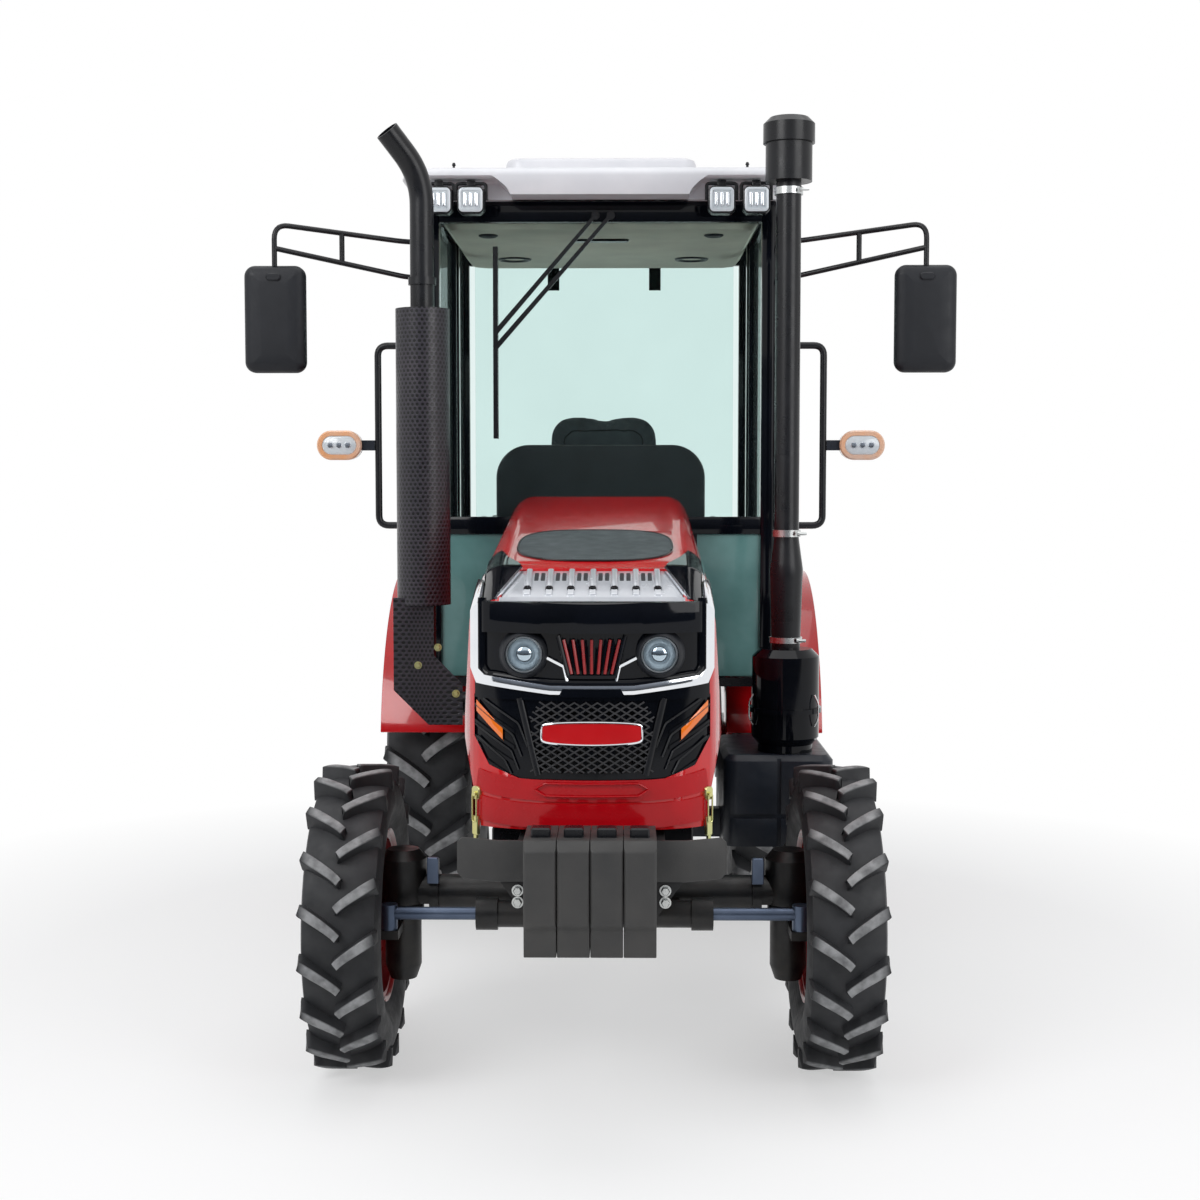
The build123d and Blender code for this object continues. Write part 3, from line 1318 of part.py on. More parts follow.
# Lower grille with its lattice and louvred cheeks, and the slotted mesh on the hood's top
bar_edge = both_sides(
    [
        (BADGE_BAR_HALF - BADGE_BAR_POINT, BADGE_BAR_Z - BADGE_BAR_H / 2),
        (BADGE_BAR_HALF, BADGE_BAR_Z),
        (BADGE_BAR_HALF - BADGE_BAR_POINT, BADGE_BAR_Z + BADGE_BAR_H / 2),
    ]
)
with BuildPart() as louvres:
    for side in (1, -1):
        for index in range(LOUVRES):
            top = MASK_TOP - LOUVRE_PITCH * (index + 0.6)
            low = top - LOUVRE_RISE
            edge = [
                (side * MASK_HALF, top),
                (side * LOUVRE_IN, low),
                (side * LOUVRE_IN, low - LOUVRE_H),
                (side * MASK_HALF, top - LOUVRE_H),
            ]
            add(front_cut(edge))
with BuildPart() as lattice:
    column_pitch = LATTICE_W + LATTICE_BAR
    row_pitch = (LATTICE_H + LATTICE_BAR) / 2
    rows = int((LATTICE_TOP - LATTICE_BOTTOM - LATTICE_H) / row_pitch) + 1
    for row in range(rows):
        z = LATTICE_BOTTOM + LATTICE_H / 2 + row * row_pitch
        clear_of_bar = abs(z - BADGE_BAR_Z) > (BADGE_BAR_H + LATTICE_H) / 2
        columns = int(2 * LATTICE_HALF / column_pitch) - row % 2
        for column in range(columns if clear_of_bar else 0):
            x = (column - (columns - 1) / 2) * column_pitch
            wide = LATTICE_W / 2
            tall = LATTICE_H / 2
            add(front_cut([(x - wide, z), (x, z - tall), (x + wide, z), (x, z + tall)]))
with BuildPart() as mesh_slots:
    slot_pitch = (TOP_MESH_REAR - TOP_MESH_FRONT - 2 * TOP_MESH_MARGIN) / TOP_MESH_SLOTS
    for index in range(TOP_MESH_SLOTS):
        v = TOP_MESH_FRONT + TOP_MESH_MARGIN + slot_pitch * (index + 0.5)
        slot_half = TOP_MESH_HALF - TOP_MESH_MARGIN
        corners = [(slot_half, v - TOP_MESH_SLOT_W / 2), (slot_half, v + TOP_MESH_SLOT_W / 2)]
        add(top_cut(both_sides(corners)))
with BuildPart() as cheek_ribs:
    add(raised_skin)
    add(louvres.part, mode=Mode.INTERSECT)
    add(front_cut(mask_edge, SEAT_GAP), mode=Mode.INTERSECT)
with BuildPart() as top_mesh:
    add(panel_skin)
    add(top_cut(mesh_edge, SEAT_GAP), mode=Mode.INTERSECT)
    add(mesh_slots.part, mode=Mode.SUBTRACT)
with BuildPart() as hood_grille:
    add(panel_skin)
    add(front_cut(mask_edge, SEAT_GAP), mode=Mode.INTERSECT)
    add(lattice.part, mode=Mode.SUBTRACT)
    add(cheek_ribs.part)
    add(top_mesh.part)
save(hood_grille, "hood_grille")

# Plain bar across the grille
with BuildPart() as grille_bar:
    add(hood_layer(-BADGE_BAR_STAND, PANEL_INSET - SEAT_GAP))
    add(front_cut(bar_edge), mode=Mode.INTERSECT)
save(grille_bar, "grille_bar")

# Slanted indicators on the cheeks, over the louvres
with BuildPart() as lenses:
    for side in (1, -1):
        edge = [
            (side * INDICATOR_OUT, INDICATOR_TOP),
            (side * INDICATOR_IN, INDICATOR_LOW + INDICATOR_H),
            (side * INDICATOR_IN, INDICATOR_LOW),
            (side * INDICATOR_OUT, INDICATOR_TOP - INDICATOR_H),
        ]
        add(front_cut(edge))
with BuildPart() as indicators:
    add(hood_layer(-INDICATOR_STAND, PANEL_INSET - LOUVRE_STAND - SEAT_GAP))
    add(lenses.part, mode=Mode.INTERSECT)
save(indicators, "indicators")

# Bright trim that runs under the lamps and up both corners of the nose
trim_edge = both_sides(
    [
        (TRIM_LOW_HALF, TRIM_LOW_Z),
        (TRIM_HEEL_HALF, TRIM_HEEL_Z),
        (TRIM_HALF, TRIM_KNEE_Z),
        (TRIM_HALF, TRIM_TOP),
    ]
)
trim_inner = both_sides(
    [
        (TRIM_LOW_HALF, TRIM_LOW_Z + TRIM_W),
        (TRIM_HEEL_HALF - TRIM_W, TRIM_HEEL_Z + TRIM_W),
        (TRIM_HALF - TRIM_W, TRIM_KNEE_Z),
        (TRIM_HALF - TRIM_W, TRIM_TOP + TRIM_W),
    ]
)
with BuildPart() as hood_trim:
    add(hood_layer(-TRIM_T, -SEAT_GAP))
    add(front_cut(trim_edge), mode=Mode.INTERSECT)
    add(front_cut(trim_inner), mode=Mode.SUBTRACT)
save(hood_trim, "hood_trim")

# Lamp panel with its middle grille, the lamp holes and the visor
visor_edge = both_sides([(LAMP_HALF, VISOR_BOTTOM), (LAMP_HALF, LAMP_TOP)])
brow_edge = both_sides([(LAMP_HALF, VISOR_BOTTOM), (LAMP_HALF, VISOR_TOP)])
with BuildPart() as brow:
    add(hood_layer(-VISOR_STAND, -SEAT_GAP))
    add(front_cut(brow_edge, SEAT_GAP), mode=Mode.INTERSECT)
with BuildPart() as visor:
    add(hood_layer(-VISOR_STAND, panel_back))
    add(front_cut(visor_edge, SEAT_GAP), mode=Mode.INTERSECT)
    add(brow.part)
with BuildPart() as bars:
    for index in range(LAMP_GRILLE_BARS):
        share = 2 * index / (LAMP_GRILLE_BARS - 1) - 1
        low = share * LAMP_GRILLE_LOW_HALF
        top = share * LAMP_GRILLE_TOP_HALF
        half = LAMP_GRILLE_BAR_W / 2
        edge = [
            (low - half, LAMP_GRILLE_Z),
            (low + half, LAMP_GRILLE_Z),
            (top + half, VISOR_BOTTOM + half),
            (top - half, VISOR_BOTTOM + half),
        ]
        add(front_cut(edge))
with BuildPart() as lamp_bars:
    add(hood_layer(PANEL_INSET - LAMP_GRILLE_RISE, panel_back))
    add(bars.part, mode=Mode.INTERSECT)
with BuildPart() as hood_lamp_panel:
    add(panel_skin)
    add(front_cut(lamp_edge, SEAT_GAP), mode=Mode.INTERSECT)
    add(visor.part)
    add(lamp_bars.part)
    for side in (1, -1):
        hole = (side * HEADLAMP_X, HOOD_FRONT - HOOD_RUN_ON, HOOD_FRONT + HOOD_RUN_ON, HEADLAMP_Z)
        rod_y(HEADLAMP_R + SEAT_GAP, *hole, Mode.SUBTRACT)
save(hood_lamp_panel, "hood_lamp_panel")

# Headlamps
with BuildPart() as headlamps:
    for side in (1, -1):
        lamp_front = HOOD_FRONT + HEADLAMP_SET_BACK
        rod_y(HEADLAMP_R, side * HEADLAMP_X, lamp_front, lamp_front + HEADLAMP_LENGTH, HEADLAMP_Z)
    chamfer(headlamps.edges().group_by(Axis.Y)[0], HEADLAMP_EDGE)
save(headlamps, "headlamps")

# Ribbed tray between the visor and the hood's edge
with BuildPart() as strips:
    for index in range(TRAY_RIBS):
        x = (index - (TRAY_RIBS - 1) / 2) * TRAY_RIB_PITCH
        strip = [
            (x - TRAY_RIB_W / 2, TRAY_FRONT + TRAY_RIB_MARGIN),
            (x + TRAY_RIB_W / 2, TRAY_FRONT + TRAY_RIB_MARGIN),
            (x + TRAY_RIB_W / 2, TRAY_REAR - TRAY_RIB_MARGIN),
            (x - TRAY_RIB_W / 2, TRAY_REAR - TRAY_RIB_MARGIN),
        ]
        add(top_cut(strip))
with BuildPart() as ribs:
    add(hood_layer(PANEL_INSET - TRAY_RIB_STAND, panel_back))
    add(strips.part, mode=Mode.INTERSECT)
with BuildPart() as hood_tray:
    add(panel_skin)
    add(ribs.part)
    add(top_cut(tray_edge, SEAT_GAP), mode=Mode.INTERSECT)
save(hood_tray, "hood_tray")

# Fuel tank with moulded grooves and its strap
with BuildPart() as fuel_tank:
    span(TANK_IN, TANK_OUT, TANK_FRONT, TANK_REAR, TANK_BOTTOM, TANK_TOP)
    fillet(fuel_tank.edges().filter_by(Axis.Z), TANK_CORNER_R)
    chamfer(fuel_tank.faces().sort_by(Axis.Z)[-1].edges(), TANK_EDGE)
    middle = (TANK_IN + TANK_OUT) / 2
    groove_half = TANK_GROOVE_W / 2
    groove_back = TANK_FRONT + TANK_GROOVE
    low = TANK_BOTTOM + (TANK_TOP - TANK_BOTTOM) / 3
    groove_v = (TANK_FRONT, groove_back)
    groove_z = (low - groove_half, low + groove_half)
    span(middle - groove_half, middle + groove_half, *groove_v, TANK_BOTTOM, TANK_TOP, Mode.SUBTRACT)
    span(TANK_IN, TANK_OUT, *groove_v, *groove_z, Mode.SUBTRACT)
    strap_v = TANK_FRONT + TANK_STRAP_V
    strap = (strap_v, strap_v + TANK_STRAP_W)
    strap_bottom = TANK_BOTTOM - TANK_STRAP_T
    span(GEARBOX_HALF, TANK_OUT - TANK_STRAP_RISE, *strap, strap_bottom, TANK_BOTTOM)
    span(GEARBOX_HALF, TANK_IN, *strap, strap_bottom, TANK_BOTTOM + TANK_STRAP_RISE)
save(fuel_tank, "fuel_tank")

# Air cleaner on the tank: foot, cup, clamp ring and rounded body
with BuildPart() as air_cleaner:
    clamp_r = CLEANER_R + CLEANER_CLAMP
    profile = [
        (0, TANK_TOP + SEAT_GAP),
        (CLEANER_FOOT_R, TANK_TOP + SEAT_GAP),
        (CLEANER_FOOT_R, TANK_TOP + CLEANER_SHOULDER),
        (CLEANER_R, TANK_TOP + 2 * CLEANER_SHOULDER),
        (CLEANER_R, CLEANER_CUP_TOP),
        (clamp_r, CLEANER_CUP_TOP),
        (clamp_r, CLEANER_CUP_TOP + CLEANER_CLAMP_H),
        (CLEANER_R, CLEANER_CUP_TOP + CLEANER_CLAMP_H),
        (CLEANER_R, CLEANER_TOP - CLEANER_SHOULDER),
        (CLEANER_R - CLEANER_SHOULDER, CLEANER_TOP),
        (0, CLEANER_TOP),
    ]
    add(turned_z(profile, INTAKE_X, INTAKE_V))
save(air_cleaner, "air_cleaner")

# Intake stack: hose, pipe and pre-cleaner
with BuildPart() as intake_stack:
    profile = [
        (0, CLEANER_TOP),
        (HOSE_R, CLEANER_TOP),
        (HOSE_BULGE_R, HOSE_BULGE_Z),
        (INTAKE_R, HOSE_TOP),
        (INTAKE_R, PRECLEANER_BOTTOM),
        (PRECLEANER_MESH_R, PRECLEANER_BOTTOM),
        (PRECLEANER_MESH_R, PRECLEANER_CAP_Z),
        (PRECLEANER_R, PRECLEANER_CAP_Z),
        (PRECLEANER_R, PRECLEANER_TOP - PRECLEANER_EDGE),
        (PRECLEANER_R - PRECLEANER_EDGE, PRECLEANER_TOP),
        (0, PRECLEANER_TOP),
    ]
    add(turned_z(profile, INTAKE_X, INTAKE_V))
save(intake_stack, "intake_stack")

# Exhaust: port pipe under the hood's edge, riser and the bent tail
with BuildPart() as exhaust_pipe:
    exhaust_y = at(EXHAUST_V)
    tail = (EXHAUST_X - EXHAUST_TAIL_OUT, exhaust_y - EXHAUST_TAIL_AHEAD, EXHAUST_TOP + EXHAUST_TAIL_RISE)
    route = [
        (-ENGINE_HALF, exhaust_y, EXHAUST_PORT_Z),
        (EXHAUST_X, exhaust_y, EXHAUST_PORT_Z),
        (EXHAUST_X, exhaust_y, EXHAUST_TOP),
        tail,
    ]
    add(tube(bend(route, EXHAUST_BEND), EXHAUST_R, EXHAUST_SIDES))
    clamp_top = EXHAUST_CLAMP_Z + EXHAUST_CLAMP_H
    rod_z(EXHAUST_R + EXHAUST_CLAMP_T, EXHAUST_X, EXHAUST_V, EXHAUST_CLAMP_Z, clamp_top)
save(exhaust_pipe, "exhaust_pipe")

# Guard sleeve round the muffler, and the shield plate that hangs from it in front of the port pipe
with BuildPart() as exhaust_guard:
    rod_z(GUARD_R, EXHAUST_X, EXHAUST_V, GUARD_BOTTOM, GUARD_TOP)
    wall_r = GUARD_R - GUARD_WALL
    rod_z(wall_r, EXHAUST_X, EXHAUST_V, GUARD_BOTTOM + GUARD_RING, GUARD_TOP - GUARD_RING, Mode.SUBTRACT)
    rod_z(EXHAUST_R + SEAT_GAP, EXHAUST_X, EXHAUST_V, GUARD_BOTTOM, GUARD_TOP, Mode.SUBTRACT)
    shield_v = EXHAUST_V - SHIELD_AHEAD
    neck_in = SHIELD_IN - SHIELD_NECK
    neck_low = SHIELD_BOTTOM + 2 * SHIELD_HEEL
    shield = [
        (SHIELD_OUT, GUARD_BOTTOM + SHIELD_STRAP),
        (SHIELD_OUT, SHIELD_BOTTOM + SHIELD_HEEL),
        (SHIELD_OUT + SHIELD_HEEL, SHIELD_BOTTOM),
        (SHIELD_IN, SHIELD_BOTTOM),
        (SHIELD_IN, neck_low - SHIELD_NECK),
        (neck_in, neck_low),
        (neck_in, GUARD_BOTTOM + SHIELD_STRAP),
    ]
    add(slab_y(shield, shield_v, shield_v + SHIELD_T))
    strap = (shield_v, EXHAUST_V, GUARD_BOTTOM, GUARD_BOTTOM + GUARD_RING)
    span(EXHAUST_X - SHIELD_STRAP, EXHAUST_X + SHIELD_STRAP, *strap)
    rod_z(EXHAUST_R + SEAT_GAP, EXHAUST_X, EXHAUST_V, GUARD_BOTTOM, GUARD_TOP, Mode.SUBTRACT)
save(exhaust_guard, "exhaust_guard")

# Cab floor with the firewall, the rear wall and the ears that carry the hood's hinge
pillar_in = CAB_HALF - PILLAR_W
with BuildPart() as cab_floor:
    rear_in = C_PILLAR_V + REAR_WALL_SET_BACK
    rear_out = rear_in + WALL_T
    wall_half = pillar_in - SEAT_GAP
    fender_top = REAR_AXLE_Z + math.sqrt(FENDER_R**2 - (rear_in - WHEELBASE) ** 2) + FENDER_SEAM
    span(-CAB_HALF, CAB_HALF, A_PILLAR_V, FLOOR_STEP_V, FLOOR_Z - FLOOR_T, FLOOR_Z)
    span(-FLOOR_HALF, FLOOR_HALF, FLOOR_STEP_V, C_PILLAR_V + C_PILLAR_D, FLOOR_Z - FLOOR_T, FLOOR_Z)
    span(-COWL_HALF, COWL_HALF, WALL_V, WALL_V + WALL_T, FLOOR_Z, FRONT_SILL_Z - SEAT_GAP)
    span(-FLOOR_HALF, FLOOR_HALF, rear_in, rear_out, FLOOR_Z, REAR_WALL_TOP)
    span(-wall_half, wall_half, rear_in, rear_out, fender_top, REAR_WALL_TOP)
    mount = (CAB_MOUNT_V, CAB_MOUNT_V + CAB_MOUNT_L, GEARBOX_TOP, FLOOR_Z - FLOOR_T)
    span(-CAB_MOUNT_HALF, CAB_MOUNT_HALF, *mount)
    post_back = EAR_POST_V + EAR_POST_D
    arm_top = HOOD_HINGE_Z - HOOD_PIN_R - HOOD_EAR_DROP
    ear = [
        (WALL_V, FRONT_SILL_Z - SEAT_GAP),
        (WALL_V, FRONT_SILL_Z - 2 * EAR_ARM_T),
        (EAR_POST_V, FRONT_SILL_Z - 2 * EAR_ARM_T),
        (EAR_POST_V, arm_top - EAR_ARM_T),
        (HOOD_HINGE_V, arm_top - EAR_ARM_T),
        (HOOD_HINGE_V, arm_top),
        (post_back, arm_top),
        (post_back, FRONT_SILL_Z - SEAT_GAP),
    ]
    for side in (1, -1):
        ear_in = side * HOOD_EAR_X
        ear_out = side * (HOOD_EAR_X + HOOD_EAR_T)
        add(slab_x(ear, ear_in, ear_out))
        rod_x(2 * HOOD_PIN_R, ear_in, ear_out, HOOD_HINGE_V, HOOD_HINGE_Z)
        rod_x(HOOD_PIN_R + SEAT_GAP, ear_in, ear_out, HOOD_HINGE_V, HOOD_HINGE_Z, Mode.SUBTRACT)
save(cab_floor, "cab_floor")

# Cab frame: pillars, headers, front sill and the panels under the doors
with BuildPart() as fender_drum:
    rod_x(FENDER_R + SEAT_GAP, -2 * CAB_HALF, 2 * CAB_HALF, WHEELBASE, REAR_AXLE_Z)

with BuildPart() as cab_frame:
    rear_foot = REAR_AXLE_Z + FENDER_R / 2
    for side in (1, -1):
        for v, depth, foot in (
            (A_PILLAR_V, A_PILLAR_D, FLOOR_Z),
            (B_PILLAR_V, B_PILLAR_D, rear_foot),
            (C_PILLAR_V, C_PILLAR_D, rear_foot),
        ):
            outer = CAB_HALF - PILLAR_EDGE
            front = v + PILLAR_EDGE if v == A_PILLAR_V else v
            back = v + depth - PILLAR_EDGE if v == C_PILLAR_V else v + depth
            pillar = [
                (side * pillar_in, v),
                (side * outer, v),
                (side * CAB_HALF, front),
                (side * CAB_HALF, back),
                (side * outer, v + depth),
                (side * pillar_in, v + depth),
            ]
            if v == B_PILLAR_V:
                pillar = [pillar[0], (side * CAB_HALF, v), (side * CAB_HALF, v + depth), pillar[-1]]
            add(slab_z(pillar, foot, ROOF_Z))
        under_door = [
            (A_PILLAR_V + A_PILLAR_D + SEAT_GAP, FLOOR_Z),
            (A_PILLAR_V + A_PILLAR_D + SEAT_GAP, DOOR_BOTTOM - MOVING_GAP),
            (DOOR_KNEE_V - 2, DOOR_BOTTOM - MOVING_GAP),
            (DOOR_HIP_V - 2, DOOR_HIP_Z - MOVING_GAP),
            (B_PILLAR_V - SEAT_GAP, DOOR_HIP_Z - MOVING_GAP),
            (B_PILLAR_V - SEAT_GAP, DOOR_HIP_Z - MOVING_GAP - DOOR_SILL_H),
            (FLOOR_STEP_V, FLOOR_Z),
        ]
        add(slab_x(under_door, side * (pillar_in + DOOR_INSET), side * (CAB_HALF - DOOR_INSET)))
    reach = pillar_in - SEAT_GAP
    sill = (WALL_V, WALL_V + HEADER_D)
    span(-reach, reach, *sill, FRONT_SILL_Z, FRONT_SILL_Z + FRONT_SILL_H)
    span(-reach, reach, *sill, ROOF_Z - HEADER_H, ROOF_Z)
    span(-reach, reach, C_PILLAR_V + WALL_SET_BACK, C_PILLAR_V + HEADER_D, ROOF_Z - HEADER_H, ROOF_Z)
    add(fender_drum.part, mode=Mode.SUBTRACT)
save(cab_frame, "cab_frame")

# Roof with a deep front brow, notched corners for the lamps, and the raised hatch
with BuildPart() as cab_roof:
    span(-ROOF_HALF, ROOF_HALF, ROOF_FRONT, ROOF_REAR, ROOF_Z, ROOF_Z + ROOF_T)
    fillet(cab_roof.edges().filter_by(Axis.Z), ROOF_CORNER_R)
    chamfer(cab_roof.faces().sort_by(Axis.Z)[-1].edges(), ROOF_EDGE)
    for side in (1, -1):
        notch = [
            (side * ROOF_BROW_HALF, ROOF_Z),
            (side * (ROOF_BROW_HALF + ROOF_BROW_SLOPE), ROOF_Z + LAMP_NOTCH_H),
            (side * 2 * ROOF_HALF, ROOF_Z + LAMP_NOTCH_H),
            (side * 2 * ROOF_HALF, ROOF_Z),
        ]
        add(slab_y(notch, ROOF_FRONT, ROOF_FRONT + LAMP_NOTCH_D), mode=Mode.SUBTRACT)
    roof_top = ROOF_Z + ROOF_T
    hatch = both_sides([(HATCH_HALF, HATCH_FRONT), (HATCH_HALF, HATCH_REAR)])
    add(slab_z(hatch, roof_top, roof_top + HATCH_T))
    chamfer(cab_roof.faces().sort_by(Axis.Z)[-1].edges(), HATCH_EDGE)
save(cab_roof, "cab_roof")

# Fixed glass: windscreen, the two low front panes and the rear quarter windows
with BuildPart() as cab_glass:
    pane = pillar_in - 4 * SEAT_GAP
    glass = (GLASS_V, GLASS_V + GLASS_T)
    quarter_x = CAB_HALF - PILLAR_W / 2
    quarter = (B_PILLAR_V + B_PILLAR_D + SEAT_GAP, C_PILLAR_V - SEAT_GAP, rear_foot, ROOF_Z - SEAT_GAP)
    span(-pane, pane, *glass, FRONT_SILL_Z + FRONT_SILL_H + SEAT_GAP, ROOF_Z - HEADER_H - SEAT_GAP)
    for side in (1, -1):
        low = (FLOOR_Z + SEAT_GAP, FRONT_SILL_Z - SEAT_GAP)
        span(side * (COWL_HALF + SEAT_GAP), side * pane, *glass, *low)
        span(side * (quarter_x - GLASS_T / 2), side * (quarter_x + GLASS_T / 2), *quarter)
    add(fender_drum.part, mode=Mode.SUBTRACT)
save(cab_glass, "cab_glass")

# Rear fenders: an inner wall and a rolled top with a lip over each rear tyre
fender_start = math.radians(FENDER_START)
fender_plane = Plane(
    origin=(0, REAR_AXLE_Y, REAR_AXLE_Z),
    x_dir=(1, 0, 0),
    z_dir=(0, -math.sin(fender_start), -math.cos(fender_start)),
)
with BuildPart() as fenders:
    for side in (1, -1):
        inner = FLOOR_HALF + SEAT_GAP
        under = FENDER_R - FENDER_T
        with BuildSketch(fender_plane):
            with BuildLine():
                Polyline(
                    (side * inner, FENDER_WALL_R),
                    (side * (inner + FENDER_T), FENDER_WALL_R),
                    (side * (inner + FENDER_T), under),
                    (side * (FENDER_OUT - FENDER_T), under),
                    (side * (FENDER_OUT - FENDER_T), FENDER_R - FENDER_LIP),
                    (side * FENDER_OUT, FENDER_R - FENDER_LIP),
                    (side * FENDER_OUT, FENDER_R),
                    (side * inner, FENDER_R),
                    close=True,
                )
            make_face()
        revolve(axis=Axis((0, REAR_AXLE_Y, REAR_AXLE_Z), (-1, 0, 0)), revolution_arc=FENDER_SWEEP)
save(fenders, "fenders")

# Doors, hinged on the B pillars, with the low rear corner cut away over the fender
door_edge = [
    (A_PILLAR_V + A_PILLAR_D + DOOR_GAP, DOOR_BOTTOM),
    (DOOR_KNEE_V, DOOR_BOTTOM),
    (DOOR_HIP_V, DOOR_HIP_Z),
    (B_PILLAR_V - MOVING_GAP, DOOR_HIP_Z),
    (B_PILLAR_V - MOVING_GAP, ROOF_Z - DOOR_GAP),
    (A_PILLAR_V + A_PILLAR_D + DOOR_GAP, ROOF_Z - DOOR_GAP),
]
for side, word in ((1, "left"), (-1, "right")):
    door_in = side * (pillar_in + DOOR_INSET)
    door_out = door_in + side * DOOR_T
    leaf_in = side * (CAB_HALF + 1)
    leaf_out = side * (DOOR_HINGE_X - 1)
    leaf_end = DOOR_HINGE_V - HINGE_LEAF
    with BuildPart() as door:
        add(slab_x(door_edge, door_in, door_out))
        add(slab_x(door_edge, door_in, door_out, DOOR_BAR), mode=Mode.SUBTRACT)
        for z in (DOOR_HIP_Z + DOOR_HINGE_LOW, ROOF_Z - DOOR_HINGE_HIGH):
            rod_z(HINGE_R, side * DOOR_HINGE_X, DOOR_HINGE_V, z, z + HINGE_L)
            span(leaf_in, leaf_out, leaf_end, DOOR_HINGE_V, z, z + HINGE_L)
            span(door_out, leaf_in, leaf_end, leaf_end + HINGE_LEAF_ROOT, z, z + HINGE_L)
    save(door, f"door_{word}")
    with BuildPart() as door_glass:
        glass_in = door_in + side * DOOR_GLASS_IN
        add(slab_x(door_edge, glass_in, glass_in + side * GLASS_T, DOOR_BAR + SEAT_GAP))
    save(door_glass, f"door_glass_{word}")

# Rear window, hinged along its top
window_v = C_PILLAR_V + C_PILLAR_D + WINDOW_GAP
with BuildPart() as rear_window:
    window_top = WINDOW_HINGE_Z - WINDOW_TOP_GAP
    span(-WINDOW_HALF, WINDOW_HALF, window_v, window_v + GLASS_T, WINDOW_BOTTOM, window_top)
save(rear_window, "rear_window")

with BuildPart() as rear_window_hinges:
    barrel_v = C_PILLAR_V + HEADER_D + HINGE_R + HINGE_GAP
    for side in (1, -1):
        x = side * WINDOW_HINGE_X
        rod_x(HINGE_R, x - WINDOW_HINGE_HALF, x + WINDOW_HINGE_HALF, barrel_v, WINDOW_HINGE_Z)
        plate = (window_v + GLASS_T + SEAT_GAP, window_v + GLASS_T + WINDOW_PLATE_T)
        plate_z = (WINDOW_HINGE_Z - WINDOW_PLATE_H, WINDOW_HINGE_Z)
        span(x - WINDOW_PLATE_HALF, x + WINDOW_PLATE_HALF, *plate, *plate_z)
save(rear_window_hinges, "rear_window_hinges")

# Dashboard: an arched cowl behind the windscreen, cut back at the knees
with BuildPart() as dashboard:
    dash_foot = FLOOR_Z + SEAT_GAP
    arch = both_sides(
        [
            (DASH_HALF, dash_foot),
            (DASH_HALF, DASH_TOP - DASH_CORNER),
            (DASH_HALF - 0.3 * DASH_CORNER, DASH_TOP - 0.3 * DASH_CORNER),
            (DASH_HALF - DASH_CORNER, DASH_TOP),
        ]
    )
    dash_side = [
        (DASH_V, dash_foot),
        (DASH_V + DASH_KNEE_DEPTH, dash_foot),
        (DASH_V + DASH_KNEE_DEPTH, DASH_KNEE_Z),
        (DASH_V + DASH_DEPTH, DASH_KNEE_Z + DASH_DEPTH),
        (DASH_V + DASH_DEPTH, DASH_TOP - DASH_CORNER),
        (DASH_V + DASH_KNEE_DEPTH, DASH_TOP),
        (DASH_V, DASH_TOP),
    ]
    add(slab_y(arch, DASH_V, DASH_V + DASH_DEPTH))
    add(slab_x(dash_side, -DASH_HALF, DASH_HALF), mode=Mode.INTERSECT)
save(dashboard, "dashboard")

# Steering wheel with three spokes on its column, which ends at the dashboard
with BuildPart() as steering_wheel:
    tilt = math.radians(WHEEL_TILT)
    wheel_axis = (0, math.sin(tilt), math.cos(tilt))
    wheel_at = Plane(origin=(0, at(WHEEL_V), WHEEL_Z), x_dir=(1, 0, 0), z_dir=wheel_axis)
    with BuildSketch(wheel_at.offset(-WHEEL_RIM_T / 2)):
        RegularPolygon(WHEEL_R, WHEEL_SIDES)
        RegularPolygon(WHEEL_R - WHEEL_RIM_W, WHEEL_SIDES, mode=Mode.SUBTRACT)
    extrude(amount=WHEEL_RIM_T)
    with BuildSketch(wheel_at.offset(-WHEEL_SPOKE_T / 2)):
        for turn in (90, 210, 330):
            with Locations(Location((0, 0, 0), turn)):
                with Locations((WHEEL_R / 2, 0)):
                    Rectangle(WHEEL_R - WHEEL_RIM_W, WHEEL_SPOKE_W)
    extrude(amount=WHEEL_SPOKE_T)
    with BuildSketch(wheel_at.offset(-WHEEL_RIM_T / 2)):
        RegularPolygon(WHEEL_HUB_R, 12)
    extrude(amount=WHEEL_RIM_T)
    with Locations(wheel_at.offset(-COLUMN_L / 2)):
        Cylinder(COLUMN_R, COLUMN_L)
    dash_face = DASH_V + DASH_DEPTH + SEAT_GAP
    span(-WHEEL_HUB_R, WHEEL_HUB_R, A_PILLAR_V, dash_face, FLOOR_Z, DASH_TOP, Mode.SUBTRACT)
save(steering_wheel, "steering_wheel")

# Seat on its pedestal
with BuildPart() as seat_base:
    seat_back_v = SEAT_BASE_FRONT + SEAT_BASE_L
    base = both_sides([(SEAT_BASE_HALF, FLOOR_Z), (SEAT_BASE_HALF - SEAT_BASE_FLARE, SEAT_Z)])
    add(slab_y(base, SEAT_BASE_FRONT, seat_back_v))
save(seat_base, "seat_base")

with BuildPart() as seat_cushions:
    seat_rear = SEAT_FRONT + SEAT_L
    back_v = seat_rear + SEAT_BACK_GAP
    span(-SEAT_HALF, SEAT_HALF, SEAT_FRONT, seat_rear, SEAT_Z + SEAT_GAP, SEAT_Z + SEAT_T)
    span(-SEAT_HALF, SEAT_HALF, back_v, back_v + SEAT_BACK_T, SEAT_Z + SEAT_GAP, SEAT_BACK_TOP)
    chamfer(seat_cushions.edges().filter_by(Axis.Z), SEAT_EDGE)
save(seat_cushions, "seat_cushions")

